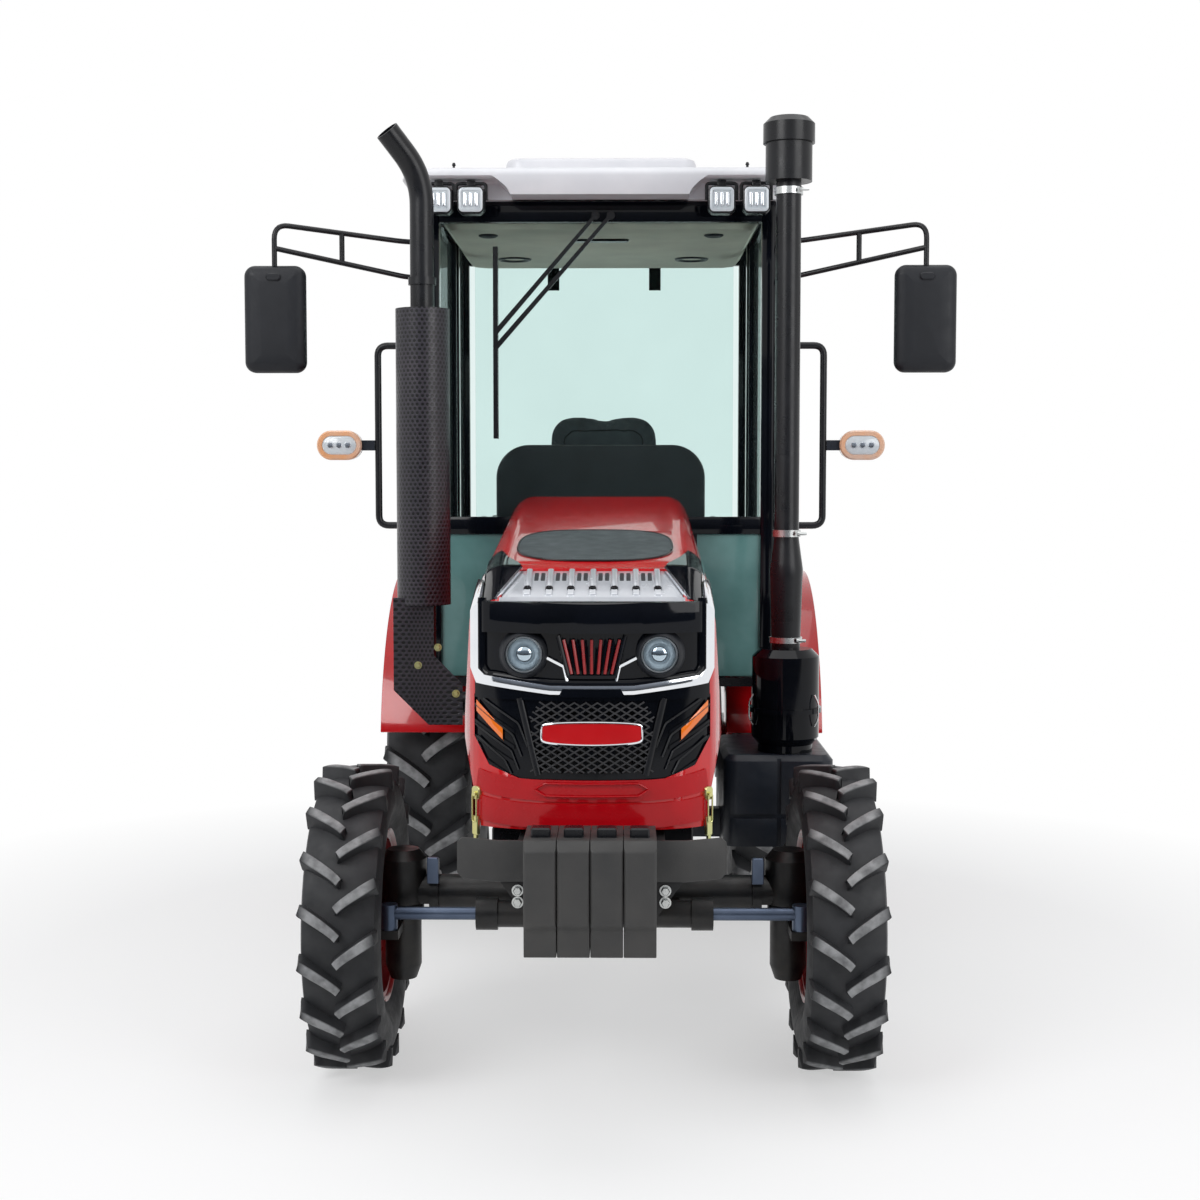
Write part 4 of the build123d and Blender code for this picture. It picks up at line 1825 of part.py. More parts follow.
# Grab rails and mirror arms, all round tube
with BuildPart() as cab_rails:
    for side in (1, -1):
        foot = side * (CAB_HALF + SEAT_GAP)
        route = [
            (foot, at(GRAB_V), GRAB_TOP),
            (side * GRAB_X, at(GRAB_V), GRAB_TOP),
            (side * GRAB_X, at(GRAB_V), GRAB_BOTTOM),
            (foot, at(GRAB_V), GRAB_BOTTOM),
        ]
        add(tube(bend(route, GRAB_BEND), RAIL_TUBE_R))
save(cab_rails, "cab_rails")

with BuildPart() as mirror_arms:
    for side in (1, -1):
        foot = side * (CAB_HALF + SEAT_GAP)
        knee = side * (CAB_HALF + MIRROR_LEG)
        outer = (side * MIRROR_X, at(MIRROR_V))
        upper = [
            (foot, at(MIRROR_ARM_V), MIRROR_ARM_Z),
            (knee, at(MIRROR_ARM_V), MIRROR_ARM_Z),
            (*outer, MIRROR_ARM_Z + MIRROR_RISE),
            (*outer, MIRROR_TOP + SEAT_GAP),
        ]
        lower = [
            (foot, at(MIRROR_ARM_V), MIRROR_LOW_Z),
            (knee, at(MIRROR_ARM_V), MIRROR_LOW_Z),
            (*outer, MIRROR_JOIN_Z),
        ]
        middle = ((knee + outer[0]) / 2, (at(MIRROR_ARM_V) + outer[1]) / 2)
        brace_low = (MIRROR_LOW_Z + MIRROR_JOIN_Z) / 2
        brace_top = MIRROR_ARM_Z + MIRROR_RISE / 2
        add(tube(bend(upper, MIRROR_BEND), MIRROR_TUBE_R))
        add(tube(lower, MIRROR_TUBE_R))
        add(tube([(*middle, brace_low), (*middle, brace_top)], MIRROR_TUBE_R))
save(mirror_arms, "mirror_arms")

with BuildPart() as mirror_heads:
    for side in (1, -1):
        x0 = side * MIRROR_X - MIRROR_HALF
        x1 = side * MIRROR_X + MIRROR_HALF
        c = MIRROR_CORNER
        head = [
            (x0 + c, MIRROR_BOTTOM),
            (x1 - c, MIRROR_BOTTOM),
            (x1, MIRROR_BOTTOM + c),
            (x1, MIRROR_TOP - c),
            (x1 - c, MIRROR_TOP),
            (x0 + c, MIRROR_TOP),
            (x0, MIRROR_TOP - c),
            (x0, MIRROR_BOTTOM + c),
        ]
        add(slab_y(head, MIRROR_V - MIRROR_T / 2, MIRROR_V + MIRROR_T / 2))
    chamfer(mirror_heads.faces().group_by(Axis.Y)[0].edges(), MIRROR_EDGE)
save(mirror_heads, "mirror_heads")

# Lamps
with BuildPart() as work_lamps:
    lamp_z = ROOF_Z - WORK_LAMP_HALF + WORK_LAMP_DROP
    lamp_half = WORK_LAMP_HALF
    c = WORK_LAMP_CORNER
    stem_v = WORK_LAMP_V + WORK_LAMP_STEM_IN
    stem = (stem_v, stem_v + WORK_LAMP_STEM_D, lamp_z + lamp_half, ROOF_Z + LAMP_NOTCH_H)
    for x in WORK_LAMP_XS:
        face = [
            (x - lamp_half + c, lamp_z - lamp_half),
            (x + lamp_half - c, lamp_z - lamp_half),
            (x + lamp_half, lamp_z - lamp_half + c),
            (x + lamp_half, lamp_z + lamp_half - c),
            (x + lamp_half - c, lamp_z + lamp_half),
            (x - lamp_half + c, lamp_z + lamp_half),
            (x - lamp_half, lamp_z + lamp_half - c),
            (x - lamp_half, lamp_z - lamp_half + c),
        ]
        add(slab_y(face, WORK_LAMP_V, WORK_LAMP_V + WORK_LAMP_T))
        span(x - WORK_LAMP_STEM, x + WORK_LAMP_STEM, *stem)
save(work_lamps, "work_lamps")

with BuildPart() as marker_lamps:
    with BuildSketch(Plane.XZ.offset(-at(GRAB_V - MARKER_T / 2))):
        for side in (1, -1):
            with Locations((side * MARKER_X, MARKER_Z)):
                SlotOverall(2 * MARKER_HALF, 2 * MARKER_HALF_H)
    extrude(amount=-MARKER_T)
    stem_v = (GRAB_V - MARKER_STEM_T / 2, GRAB_V + MARKER_STEM_T / 2)
    stem_z = (MARKER_Z - MARKER_STEM_H / 2, MARKER_Z + MARKER_STEM_H / 2)
    for side in (1, -1):
        stem_in = side * (GRAB_X + RAIL_TUBE_R + SEAT_GAP)
        span(stem_in, side * (MARKER_X - MARKER_HALF + MARKER_STEM_H), *stem_v, *stem_z)
save(marker_lamps, "marker_lamps")

# Wiper: two parallel arms from the header to one upright blade
with BuildPart() as wiper:
    glass_face = GLASS_V - SEAT_GAP
    header_face = WALL_V - SEAT_GAP
    arm_back = header_face - WIPER_STAND
    for step in (0, WIPER_SPACING):
        top_x = WIPER_PIVOT_X + step - WIPER_SPACING / 2
        end_z = WIPER_END_Z + WIPER_SPACING / 2 - step
        arm = [
            (top_x - WIPER_ARM_W / 2, WIPER_TOP_Z),
            (top_x + WIPER_ARM_W / 2, WIPER_TOP_Z),
            (WIPER_END_X + WIPER_ARM_W / 2, end_z - WIPER_ARM_W / 2),
            (WIPER_END_X - WIPER_ARM_W / 2, end_z),
        ]
        add(slab_y(arm, arm_back - WIPER_T, arm_back))
        rod_y(WIPER_PIVOT_R, top_x, arm_back - WIPER_T, header_face, WIPER_TOP_Z)
    blade_in = WIPER_END_X - WIPER_ARM_W / 2
    blade_out = WIPER_END_X + WIPER_ARM_W / 2
    span(blade_in, blade_out, arm_back - WIPER_T, glass_face, WIPER_BLADE_BOTTOM, WIPER_BLADE_TOP)
save(wiper, "wiper")

# Step under the left door: hanger plate with two treads
with BuildPart() as step_left:
    plate_out = STEP_IN + STEP_PLATE_T
    step = (STEP_FRONT, STEP_FRONT + STEP_L)
    upper = STEP_BOTTOM + STEP_RISE
    span(STEP_IN, plate_out, *step, STEP_BOTTOM, FLOOR_Z - FLOOR_T)
    span(plate_out, STEP_OUT, *step, STEP_BOTTOM, STEP_BOTTOM + STEP_TREAD_T)
    span(plate_out, STEP_UPPER_OUT, *step, upper, upper + STEP_TREAD_T)
save(step_left, "step_left")
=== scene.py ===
import logging
import math
from dataclasses import dataclass
from enum import Enum
from typing import Callable, Sequence

import bmesh
import bpy
import numpy as np
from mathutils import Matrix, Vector


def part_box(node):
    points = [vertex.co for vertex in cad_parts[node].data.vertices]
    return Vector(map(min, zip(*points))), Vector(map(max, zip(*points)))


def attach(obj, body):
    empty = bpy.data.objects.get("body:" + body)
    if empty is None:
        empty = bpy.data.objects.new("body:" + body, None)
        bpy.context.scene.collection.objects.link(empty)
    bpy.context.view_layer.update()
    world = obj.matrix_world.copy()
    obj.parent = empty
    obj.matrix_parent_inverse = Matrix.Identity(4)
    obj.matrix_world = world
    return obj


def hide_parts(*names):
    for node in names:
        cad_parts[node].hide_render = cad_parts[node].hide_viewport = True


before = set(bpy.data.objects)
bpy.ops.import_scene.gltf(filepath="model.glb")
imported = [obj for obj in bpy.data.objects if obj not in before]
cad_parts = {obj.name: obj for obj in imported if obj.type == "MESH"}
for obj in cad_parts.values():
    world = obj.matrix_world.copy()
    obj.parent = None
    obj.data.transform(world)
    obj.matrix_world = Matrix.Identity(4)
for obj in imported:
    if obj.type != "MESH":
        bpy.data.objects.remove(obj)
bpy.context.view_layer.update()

# Finishes and fine parts of a narrow farm tractor with a cab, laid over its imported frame.
# Metres. +Z is up, the tractor faces -Y, and its left side is +X.

LOG = logging.getLogger("tractor")
Array = np.ndarray
Triple = tuple[float, float, float]
LEFT: Triple = (1, 0, 0)
AHEAD: Triple = (0, -1, 0)
BACK: Triple = (0, 1, 0)
UP: Triple = (0, 0, 1)
FRONT_AXLE_Y = float(sum(corner[1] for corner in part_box("front_tyre_left")) / 2)


def behind(v: float) -> float:
    """Y of a point v metres behind the front axle."""
    return FRONT_AXLE_Y + v


def corners_of(node: str) -> tuple[Array, Array]:
    """Low and high corner of a node's box."""
    low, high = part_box(node)
    return np.asarray(low, float), np.asarray(high, float)


def tint(red: int, green: int, blue: int) -> Triple:
    """Linear colour of an sRGB colour given in 0 to 255.

    Args:
        red, green, blue: the colour's parts as a picture shows them.

    Returns:
        The same colour in linear light.
    """
    parts = np.array((red, green, blue)) / 255.0
    linear = np.where(parts <= 0.04045, parts / 12.92, ((parts + 0.055) / 1.055) ** 2.4)
    return tuple(float(part) for part in linear)


# Surfaces


@dataclass
class Patch:
    """A surface: points, and arrays of faces with equal numbers of corners."""

    points: Array
    faces: list[Array]

    def moved(self, offset: Sequence[float]) -> "Patch":
        """The same surface moved by an offset."""
        return Patch(self.points + np.asarray(offset, float), self.faces)

    def mirrored(self) -> "Patch":
        """The surface mirrored to the tractor's other side."""
        return Patch(self.points * np.array((-1.0, 1.0, 1.0)), [face[:, ::-1] for face in self.faces])

    def both(self) -> "Patch":
        """The surface together with its mirror image."""
        return Patch.joined([self, self.mirrored()])

    @staticmethod
    def joined(patches: Sequence["Patch"]) -> "Patch":
        """One surface from several.

        Args:
            patches: the surfaces to join.

        Returns:
            All their points and faces, renumbered.
        """
        starts = np.cumsum([0] + [len(patch.points) for patch in patches])
        faces = [face + start for patch, start in zip(patches, starts) for face in patch.faces]
        return Patch(np.concatenate([patch.points for patch in patches]), faces)


def grid_faces(rows: int, columns: int, close_rows: bool, close_columns: bool) -> Array:
    """Quads between the points of a grid, row after row.

    Args:
        rows, columns: the grid's size.
        close_rows, close_columns: whether the last row or column joins the first.

    Returns:
        Point numbers, four to a face.
    """
    row, column = np.meshgrid(
        np.arange(rows if close_rows else rows - 1),
        np.arange(columns if close_columns else columns - 1),
        indexing="ij",
    )
    next_row = (row + 1) % rows
    next_column = (column + 1) % columns
    corners = [row * columns + column, row * columns + next_column]
    corners += [next_row * columns + next_column, next_row * columns + column]
    return np.stack(corners, axis=-1).reshape(-1, 4)


def basis(axis: Sequence[float]) -> tuple[Array, Array, Array]:
    """Two directions square to an axis, and the axis itself.

    Args:
        axis: the axis, of any length.

    Returns:
        Three unit directions, the axis last.
    """
    along = np.asarray(axis, float) / np.linalg.norm(axis)
    helper = np.array((0.0, 0.0, 1.0)) if abs(along[2]) < 0.9 else np.array((1.0, 0.0, 0.0))
    first = np.cross(helper, along)
    first /= np.linalg.norm(first)
    return first, np.cross(along, first), along


def lathe(profile: Sequence, centre: Sequence[float], axis: Sequence[float], sides: int = 48) -> Patch:
    """Turned body: centre + height * axis + radius * (cos a * e1 + sin a * e2), the profile's loop closed.

    Args:
        profile: radius and height pairs.
        centre: where height is nought.
        axis: the turning axis.
        sides: steps round the axis.

    Returns:
        The turned surface.
    """
    first, second, along = basis(axis)
    radius, height = np.asarray(profile, float).T
    angle = np.linspace(0, 2 * np.pi, sides, endpoint=False)
    ring = np.cos(angle)[:, None] * first + np.sin(angle)[:, None] * second
    points = ring[:, None] * radius[
        None, :, None,
    ] + along * height[None, :, None] + np.asarray(centre, float)
    return Patch(points.reshape(-1, 3), [grid_faces(sides, len(radius), True, True)])


def ring_profile(radius: float, steps: int = 12, flat: float = 1.0) -> Array:
    """Closed round profile: radius * (cos a, flat * sin a)."""
    angle = np.linspace(0, 2 * np.pi, steps, endpoint=False)
    return np.stack([radius * np.cos(angle), flat * radius * np.sin(angle)], axis=1)


def sweep(profile: Array, path: Array, up: Sequence[float], closed: bool = False) -> Patch:
    """Profile carried along a path: p + a * n + b * m, n square to the path and to up, m square to both.

    Args:
        profile: closed loop of a and b pairs.
        path: points of the path.
        up: direction that m leans towards.
        closed: whether the path's end joins its start.

    Returns:
        The swept surface, capped where the path is open.
    """
    path = np.asarray(path, float)
    ends = np.concatenate([path[-1:], path, path[:1]]) if closed else None
    run = ends[2:] - ends[:-2] if closed else np.gradient(path, axis=0)
    run /= np.linalg.norm(run, axis=1, keepdims=True)
    side = np.cross(np.asarray(up, float), run)
    side /= np.linalg.norm(side, axis=1, keepdims=True)
    rise = np.cross(run, side)
    points = path[:, None] + profile[None, :, :1] * side[:, None] + profile[None, :, 1:] * rise[:, None]
    count = len(profile)
    faces = [grid_faces(len(path), count, closed, True)]
    if not closed:
        first = np.arange(count)[None]
        faces += [first[:, ::-1], first + count * (len(path) - 1)]
    return Patch(points.reshape(-1, 3), faces)


def rounded_path(points: Sequence, reach: float, steps: int = 8) -> Array:
    """Route with its corners rounded: (1-t)^2 a + 2t(1-t) c + t^2 b between points reach away.

    Args:
        points: the route's corners.
        reach: how far from a corner its curve starts.
        steps: points on each curve.

    Returns:
        The rounded route.
    """
    corners = np.asarray(points, float)
    inner = corners[1:-1]
    before = corners[:-2] - inner
    after = corners[2:] - inner
    start = inner + before / np.linalg.norm(before, axis=1, keepdims=True) * reach
    end = inner + after / np.linalg.norm(after, axis=1, keepdims=True) * reach
    share = np.linspace(0, 1, steps)[None, :, None]
    curve = (1 - share) ** 2 * start[:, None] + share**2 * end[:, None]
    curve = curve + 2 * share * (1 - share) * inner[:, None]
    return np.concatenate([corners[:1], curve.reshape(-1, 3), corners[-1:]])


def even_path(points: Sequence, count: int, closed: bool = False) -> Array:
    """The same route with its points spread evenly along it, by linear interpolation over its length.

    Args:
        points: the route's corners.
        count: how many points.
        closed: whether its end joins its start.

    Returns:
        The spread points.
    """
    corners = np.asarray(points, float)
    corners = np.concatenate([corners, corners[:1]]) if closed else corners
    length = np.concatenate([[0.0], np.cumsum(np.linalg.norm(np.diff(corners, axis=0), axis=1))])
    places = np.linspace(0, length[-1], count, endpoint=not closed)
    return np.stack([np.interp(places, length, corners[:, axis]) for axis in range(3)], axis=1)


def plate(
    size: tuple[float, float],
    corner: float,
    steps: Sequence[tuple[float, float]],
    centre: Sequence[float],
    across: Sequence[float] = LEFT,
    up: Sequence[float] = UP,
    turns: int = 6,
) -> Patch:
    """Rounded plate: loops of a rounded rectangle, each moved in by an inset and out by a depth, capped.

    Args:
        size: width and height.
        corner: corner radius.
        steps: inset and depth of each loop, from back to front.
        centre: the plate's middle at depth nought.
        across, up: directions of its width and height; it faces across x up.
        turns: points on each corner.

    Returns:
        The plate's surface.
    """
    across = np.asarray(across, float) / np.linalg.norm(across)
    up = np.asarray(up, float) / np.linalg.norm(up)
    out = np.cross(across, up)
    inset, depth = np.asarray(steps, float).T
    angle = (np.arange(4)[:, None] * 90 + np.linspace(0, 90, turns)[None]) * np.pi / 180
    sign = np.array(((1, 1), (-1, 1), (-1, -1), (1, -1)), float)
    corner = min(corner, size[0] / 2 - 1e-4, size[1] / 2 - 1e-4)
    middle = sign * (np.asarray(size, float) / 2 - corner)
    radius = np.maximum(corner - inset, 2e-4)
    shrink = np.maximum(inset - corner + 2e-4, 0)
    x = (middle[:, None, 0] + 0 * angle)[None] - shrink[:, None, None] * sign[None, :, :1]
    z = (middle[:, None, 1] + 0 * angle)[None] - shrink[:, None, None] * sign[None, :, 1:]
    x = (x + radius[:, None, None] * np.cos(angle)).reshape(len(steps), -1)
    z = (z + radius[:, None, None] * np.sin(angle)).reshape(len(steps), -1)
    points = x[..., None] * across + z[..., None] * up + depth[
        :, None, None,
    ] * out + np.asarray(centre, float)
    count = x.shape[1]
    first = np.arange(count)[None]
    faces = [grid_faces(len(steps), count, False, True), first[:, ::-1], first + count * (len(steps) - 1)]
    return Patch(points.reshape(-1, 3), faces)


def surface(
    shape: Callable[[Array, Array], Array], rows: int, columns: int, thick: float, out: Triple,
) -> Patch:
    """Thin sheet over a function of two parameters from 0 to 1, with a back face thick away against out.

    Args:
        shape: gives points for arrays of both parameters.
        rows, columns: the grid's size.
        thick: the sheet's thickness.
        out: direction that the sheet faces.

    Returns:
        The closed sheet.
    """
    a, b = np.meshgrid(np.linspace(0, 1, rows), np.linspace(0, 1, columns), indexing="ij")
    front = shape(a, b).reshape(-1, 3)
    back = front - np.asarray(out, float) * thick
    count = rows * columns
    top = grid_faces(rows, columns, False, False)
    number = np.arange(count).reshape(rows, columns)
    edge = np.concatenate([number[0, :-1], number[:-1, -1], number[-1, :0:-1], number[:0:-1, 0]])
    after = np.roll(edge, -1)
    rim = np.stack([edge, after, after + count, edge + count], axis=1)
    return Patch(np.concatenate([front, back]), [top, top[:, ::-1] + count, rim])


def bolt(centre: Sequence[float], axis: Sequence[float], radius: float, height: float) -> Patch:
    """Hexagon bolt head on a round washer: two turned bodies, the head of six sides with a crowned end.

    Args:
        centre: middle of the face that it sits on.
        axis: direction that it points in.
        radius, height: the head's size.

    Returns:
        Head and washer.
    """
    head = [(0, 0), (radius, 0), (radius, height * 0.8), (radius * 0.82, height), (0, height)]
    washer = [(0, 0), (radius * 1.35, 0), (radius * 1.35, height * 0.22), (0, height * 0.22)]
    return Patch.joined([lathe(head, centre, axis, 6), lathe(washer, centre, axis, 20)])


# Finishes


class Grain(Enum):
    """The fine relief of a surface."""

    PEEL = "sprayed paint"
    CAST = "cast or rolled metal"
    MOULDED = "moulded plastic"
    SMOOTH = "polished"


GRAIN_SIZE = {Grain.PEEL: 900.0, Grain.CAST: 260.0, Grain.MOULDED: 1400.0, Grain.SMOOTH: 300.0}
GRAIN_DEPTH = {Grain.PEEL: 0.03, Grain.CAST: 0.25, Grain.MOULDED: 0.12, Grain.SMOOTH: 0.01}
DUST = tint(150, 138, 118)
MADE: dict[str, bpy.types.Material] = {}


class Shader:
    """A material's nodes while they are laid out."""

    def __init__(self, name: str) -> None:
        """Start a material with one main shader.

        Args:
            name: the material's name.
        """
        self.material = bpy.data.materials.new(name)
        self.material.use_nodes = True
        self.nodes = self.material.node_tree.nodes
        self.links = self.material.node_tree.links
        self.main = next(node for node in self.nodes if node.type == "BSDF_PRINCIPLED")
        self.output = next(node for node in self.nodes if node.type == "OUTPUT_MATERIAL")
        self.place = self.nodes.new("ShaderNodeTexCoord").outputs["Object"]

    def put(self, socket: bpy.types.NodeSocket, value: object) -> None:
        """Link a socket to another one, or set its value.

        Args:
            socket: the socket that takes the value.
            value: a socket, a colour or a number.
        """
        if isinstance(value, bpy.types.NodeSocket):
            self.links.new(value, socket)
        elif isinstance(value, tuple) and len(value) == 3 and socket.type == "RGBA":
            socket.default_value = (*value, 1.0)
        else:
            socket.default_value = value

    def sum(self, kind: str, *values: object) -> bpy.types.NodeSocket:
        """Result of one arithmetic step.

        Args:
            kind: the step, as Blender names it.
            values: its sockets or numbers.

        Returns:
            A value socket.
        """
        node = self.nodes.new("ShaderNodeMath")
        node.operation = kind
        for socket, value in zip(node.inputs, values):
            self.put(socket, value)
        return node.outputs[0]

    def length(self, a: object, b: object) -> bpy.types.NodeSocket:
        """Root of a^2 + b^2."""
        return self.sum("SQRT", self.sum("ADD", self.sum("MULTIPLY", a, a), self.sum("MULTIPLY", b, b)))

    def noise(self, scale: float, detail: float = 4.0, place: object = None) -> bpy.types.NodeSocket:
        """Cloudy pattern from 0 to 1.

        Args:
            scale: cells to the metre.
            detail: how many finer layers.
            place: where it is read, the object's own place if none.

        Returns:
            A value socket.
        """
        node = self.nodes.new("ShaderNodeTexNoise")
        self.put(node.inputs["Vector"], place or self.place)
        node.inputs["Scale"].default_value = scale
        node.inputs["Detail"].default_value = detail
        return node.outputs[0]

    def spread(
        self, value: object, low: float, high: float, out_low: float, out_high: float,
    ) -> bpy.types.NodeSocket:
        """A value moved from one range to another, held at both ends.

        Args:
            value: a socket or number.
            low, high: the range that it comes from.
            out_low, out_high: the range that it goes to.

        Returns:
            A value socket.
        """
        node = self.nodes.new("ShaderNodeMapRange")
        for socket, number in zip(node.inputs, (value, low, high, out_low, out_high)):
            self.put(socket, number)
        return node.outputs[0]

    def blend(self, share: object, first: object, second: object) -> bpy.types.NodeSocket:
        """Colour between two colours.

        Args:
            share: share of the second.
            first, second: the colours.

        Returns:
            A colour socket.
        """
        node = self.nodes.new("ShaderNodeMix")
        node.data_type = "RGBA"
        self.put(node.inputs[0], share)
        self.put(node.inputs[6], first)
        self.put(node.inputs[7], second)
        return node.outputs[2]

    def parts(self) -> tuple[bpy.types.NodeSocket, bpy.types.NodeSocket, bpy.types.NodeSocket]:
        """The place's x, y and z.

        Returns:
            Three value sockets.
        """
        node = self.nodes.new("ShaderNodeSeparateXYZ")
        self.put(node.inputs[0], self.place)
        return node.outputs[0], node.outputs[1], node.outputs[2]

    def layer(self, share: object, first: bpy.types.NodeSocket, second: bpy.types.NodeSocket) -> None:
        """Mix two shaders into the material's surface.

        Args:
            share: share of the second.
            first, second: the shaders.
        """
        mix = self.nodes.new("ShaderNodeMixShader")
        self.put(mix.inputs[0], share)
        self.links.new(first, mix.inputs[1])
        self.links.new(second, mix.inputs[2])
        self.links.new(mix.outputs[0], self.output.inputs["Surface"])

    def relief(self, height: object, strength: float, depth: float) -> None:
        """Bump on the main shader.

        Args:
            height: the relief, from 0 to 1.
            strength: how much of it shows.
            depth: its depth in metres.
        """
        node = self.nodes.new("ShaderNodeBump")
        node.inputs["Strength"].default_value = strength
        node.inputs["Distance"].default_value = depth
        self.put(node.inputs["Height"], height)
        self.links.new(node.outputs[0], self.main.inputs["Normal"])


class Look:
    """Anything that is made into a material once."""

    name: str

    def build(self) -> Shader:
        """Lay out the nodes."""
        raise NotImplementedError

    def material(self) -> bpy.types.Material:
        """The look as a material."""
        if self.name not in MADE:
            MADE[self.name] = self.build().material
        return MADE[self.name]


@dataclass(frozen=True)
class Finish(Look):
    """A painted, cast, moulded or plated surface: mottled colour, uneven gloss, fine relief, some dust."""

    name: str
    colour: Triple
    shade: Triple
    rough: tuple[float, float]
    grain: Grain
    metal: float = 0.0
    coat: float = 0.0
    dust: float = 0.0
    dust_top: float = 1.0
    glow: float = 0.0
    shine: float = 0.5

    def colours(self, shader: Shader) -> object:
        """Colour of the surface: cloudy from colour to shade, dusty below dust_top.

        Args:
            shader: the nodes.

        Returns:
            A colour socket.
        """
        cloud = shader.spread(shader.noise(7.0), 0.35, 0.7, 0.0, 1.0)
        colour = shader.blend(cloud, self.colour, self.shade)
        if self.dust:
            height = shader.parts()[2]
            low = shader.spread(height, 0.0, self.dust_top, self.dust, 0.0)
            patch = shader.spread(shader.noise(18.0, 8.0), 0.4, 0.75, 0.2, 1.0)
            colour = shader.blend(shader.sum("MULTIPLY", low, patch), colour, DUST)
        return colour

    def build(self) -> Shader:
        """Lay out the nodes.

        Returns:
            The finished shader.
        """
        shader = Shader(self.name)
        main = shader.main
        shader.put(main.inputs["Base Color"], self.colours(shader))
        shader.put(main.inputs["Roughness"], shader.spread(shader.noise(23.0, 6.0), 0.3, 0.7, *self.rough))
        main.inputs["Metallic"].default_value = self.metal
        main.inputs["Specular IOR Level"].default_value = self.shine
        main.inputs["Coat Weight"].default_value = self.coat
        main.inputs["Coat Roughness"].default_value = 0.04
        if self.glow:
            shader.put(main.inputs["Emission Color"], self.colour)
            main.inputs["Emission Strength"].default_value = self.glow
        self.texture(shader)
        return shader

    def texture(self, shader: Shader) -> None:
        """Fine relief of the grain."""
        shader.relief(shader.noise(GRAIN_SIZE[self.grain], 3.0), GRAIN_DEPTH[self.grain], 0.001)


@dataclass(frozen=True)
class Rubber(Finish):
    """Tyre rubber: a painted highlight on the lug tops, and moulded rings on the sidewall."""

    axle: tuple[float, float] = (0.0, 0.0)
    tread: float = 0.4
    tip: float = 0.43
    lug_highlight: Triple = tint(150, 151, 152)

    def radius(self, shader: Shader) -> bpy.types.NodeSocket:
        """Distance from the axle.

        Args:
            shader: the nodes.

        Returns:
            A value socket.
        """
        _, y, z = shader.parts()
        y = shader.sum("SUBTRACT", y, self.axle[0])
        z = shader.sum("SUBTRACT", z, self.axle[1])
        return shader.length(y, z)

    def colours(self, shader: Shader) -> object:
        """Black rubber, with a painted highlight on the lug tops all round.

        Args:
            shader: the nodes.

        Returns:
            A colour socket.
        """
        radius = self.radius(shader)
        base = shader.blend(
            shader.spread(shader.noise(9.0, 6.0), 0.35, 0.7, 0.0, 1.0), self.colour, self.shade,
        )
        # Painted highlight: the outer 5 mm of the lugs blend towards pale grey, broken up by noise.
        top = shader.spread(radius, self.tip - 0.006, self.tip - 0.001, 0.0, 0.85)
        highlight_breakup = shader.spread(shader.noise(30.0, 8.0), 0.3, 0.62, 0.35, 1.0)
        return shader.blend(shader.sum("MULTIPLY", top, highlight_breakup), base, self.lug_highlight)

    def texture(self, shader: Shader) -> None:
        """Rings on the sidewall and a fine grain.

        Args:
            shader: the nodes.
        """
        radius = self.radius(shader)
        wave = shader.sum("SINE", shader.sum("MULTIPLY", radius, 700.0))
        side = shader.spread(radius, self.tread * 0.93, self.tread * 0.88, 0.0, 0.35)
        grain = shader.noise(420.0, 3.0)
        shader.relief(shader.sum("ADD", grain, shader.sum("MULTIPLY", wave, side)), 0.3, 0.001)


@dataclass(frozen=True)
class Perforated(Finish):
    """Sheet with rows of round holes, staggered: two square lattices of dots half a pitch apart."""

    axis: tuple[float, float] = (0.0, 0.0)
    round_r: float = 0.0
    pitch: float = 0.011
    hole: float = 0.32
    hole_colour: Triple = tint(4, 4, 6)
    flat: bool = False

    def dots(self, shader: Shader) -> bpy.types.NodeSocket:
        """Share of hole at each point, 1 inside a hole.

        Args:
            shader: the nodes.

        Returns:
            A value socket.
        """
        x, y, z = shader.parts()
        if self.round_r:
            turn = shader.sum(
                "ARCTAN2", shader.sum("SUBTRACT", x, self.axis[0]),
                shader.sum("SUBTRACT", y, self.axis[1]),
            )
            across = shader.sum("MULTIPLY", turn, self.round_r / self.pitch)
        else:
            across = shader.sum("MULTIPLY", x, 1 / self.pitch)
        rise = shader.sum("MULTIPLY", y if self.flat else z, 1 / (self.pitch * 1.732))
        near = [self.dot(shader, across, rise, 0.0), self.dot(shader, across, rise, 0.5)]
        return shader.spread(shader.sum("MINIMUM", *near), self.hole, self.hole + 0.06, 1.0, 0.0)

    def dot(self, shader: Shader, across: object, rise: object, shift: float) -> bpy.types.NodeSocket:
        """Distance to the nearest centre of one lattice, in pitches.

        Args:
            shader: the nodes.
            across, rise: place in pitches.
            shift: the lattice's shift, in pitches.

        Returns:
            A value socket.
        """
        a = shader.sum("SUBTRACT", shader.sum("FRACT", shader.sum("ADD", across, shift)), 0.5)
        b = shader.sum("SUBTRACT", shader.sum("FRACT", shader.sum("ADD", rise, shift)), 0.5)
        b = shader.sum("MULTIPLY", b, 1.732)
        return shader.length(a, b)

    def colours(self, shader: Shader) -> object:
        """Painted sheet with dark holes."""
        return shader.blend(self.dots(shader), super().colours(shader), self.hole_colour)

    def texture(self, shader: Shader) -> None:
        """Holes sunk into the sheet."""
        shader.relief(shader.sum("SUBTRACT", 1.0, self.dots(shader)), 0.6, 0.002)


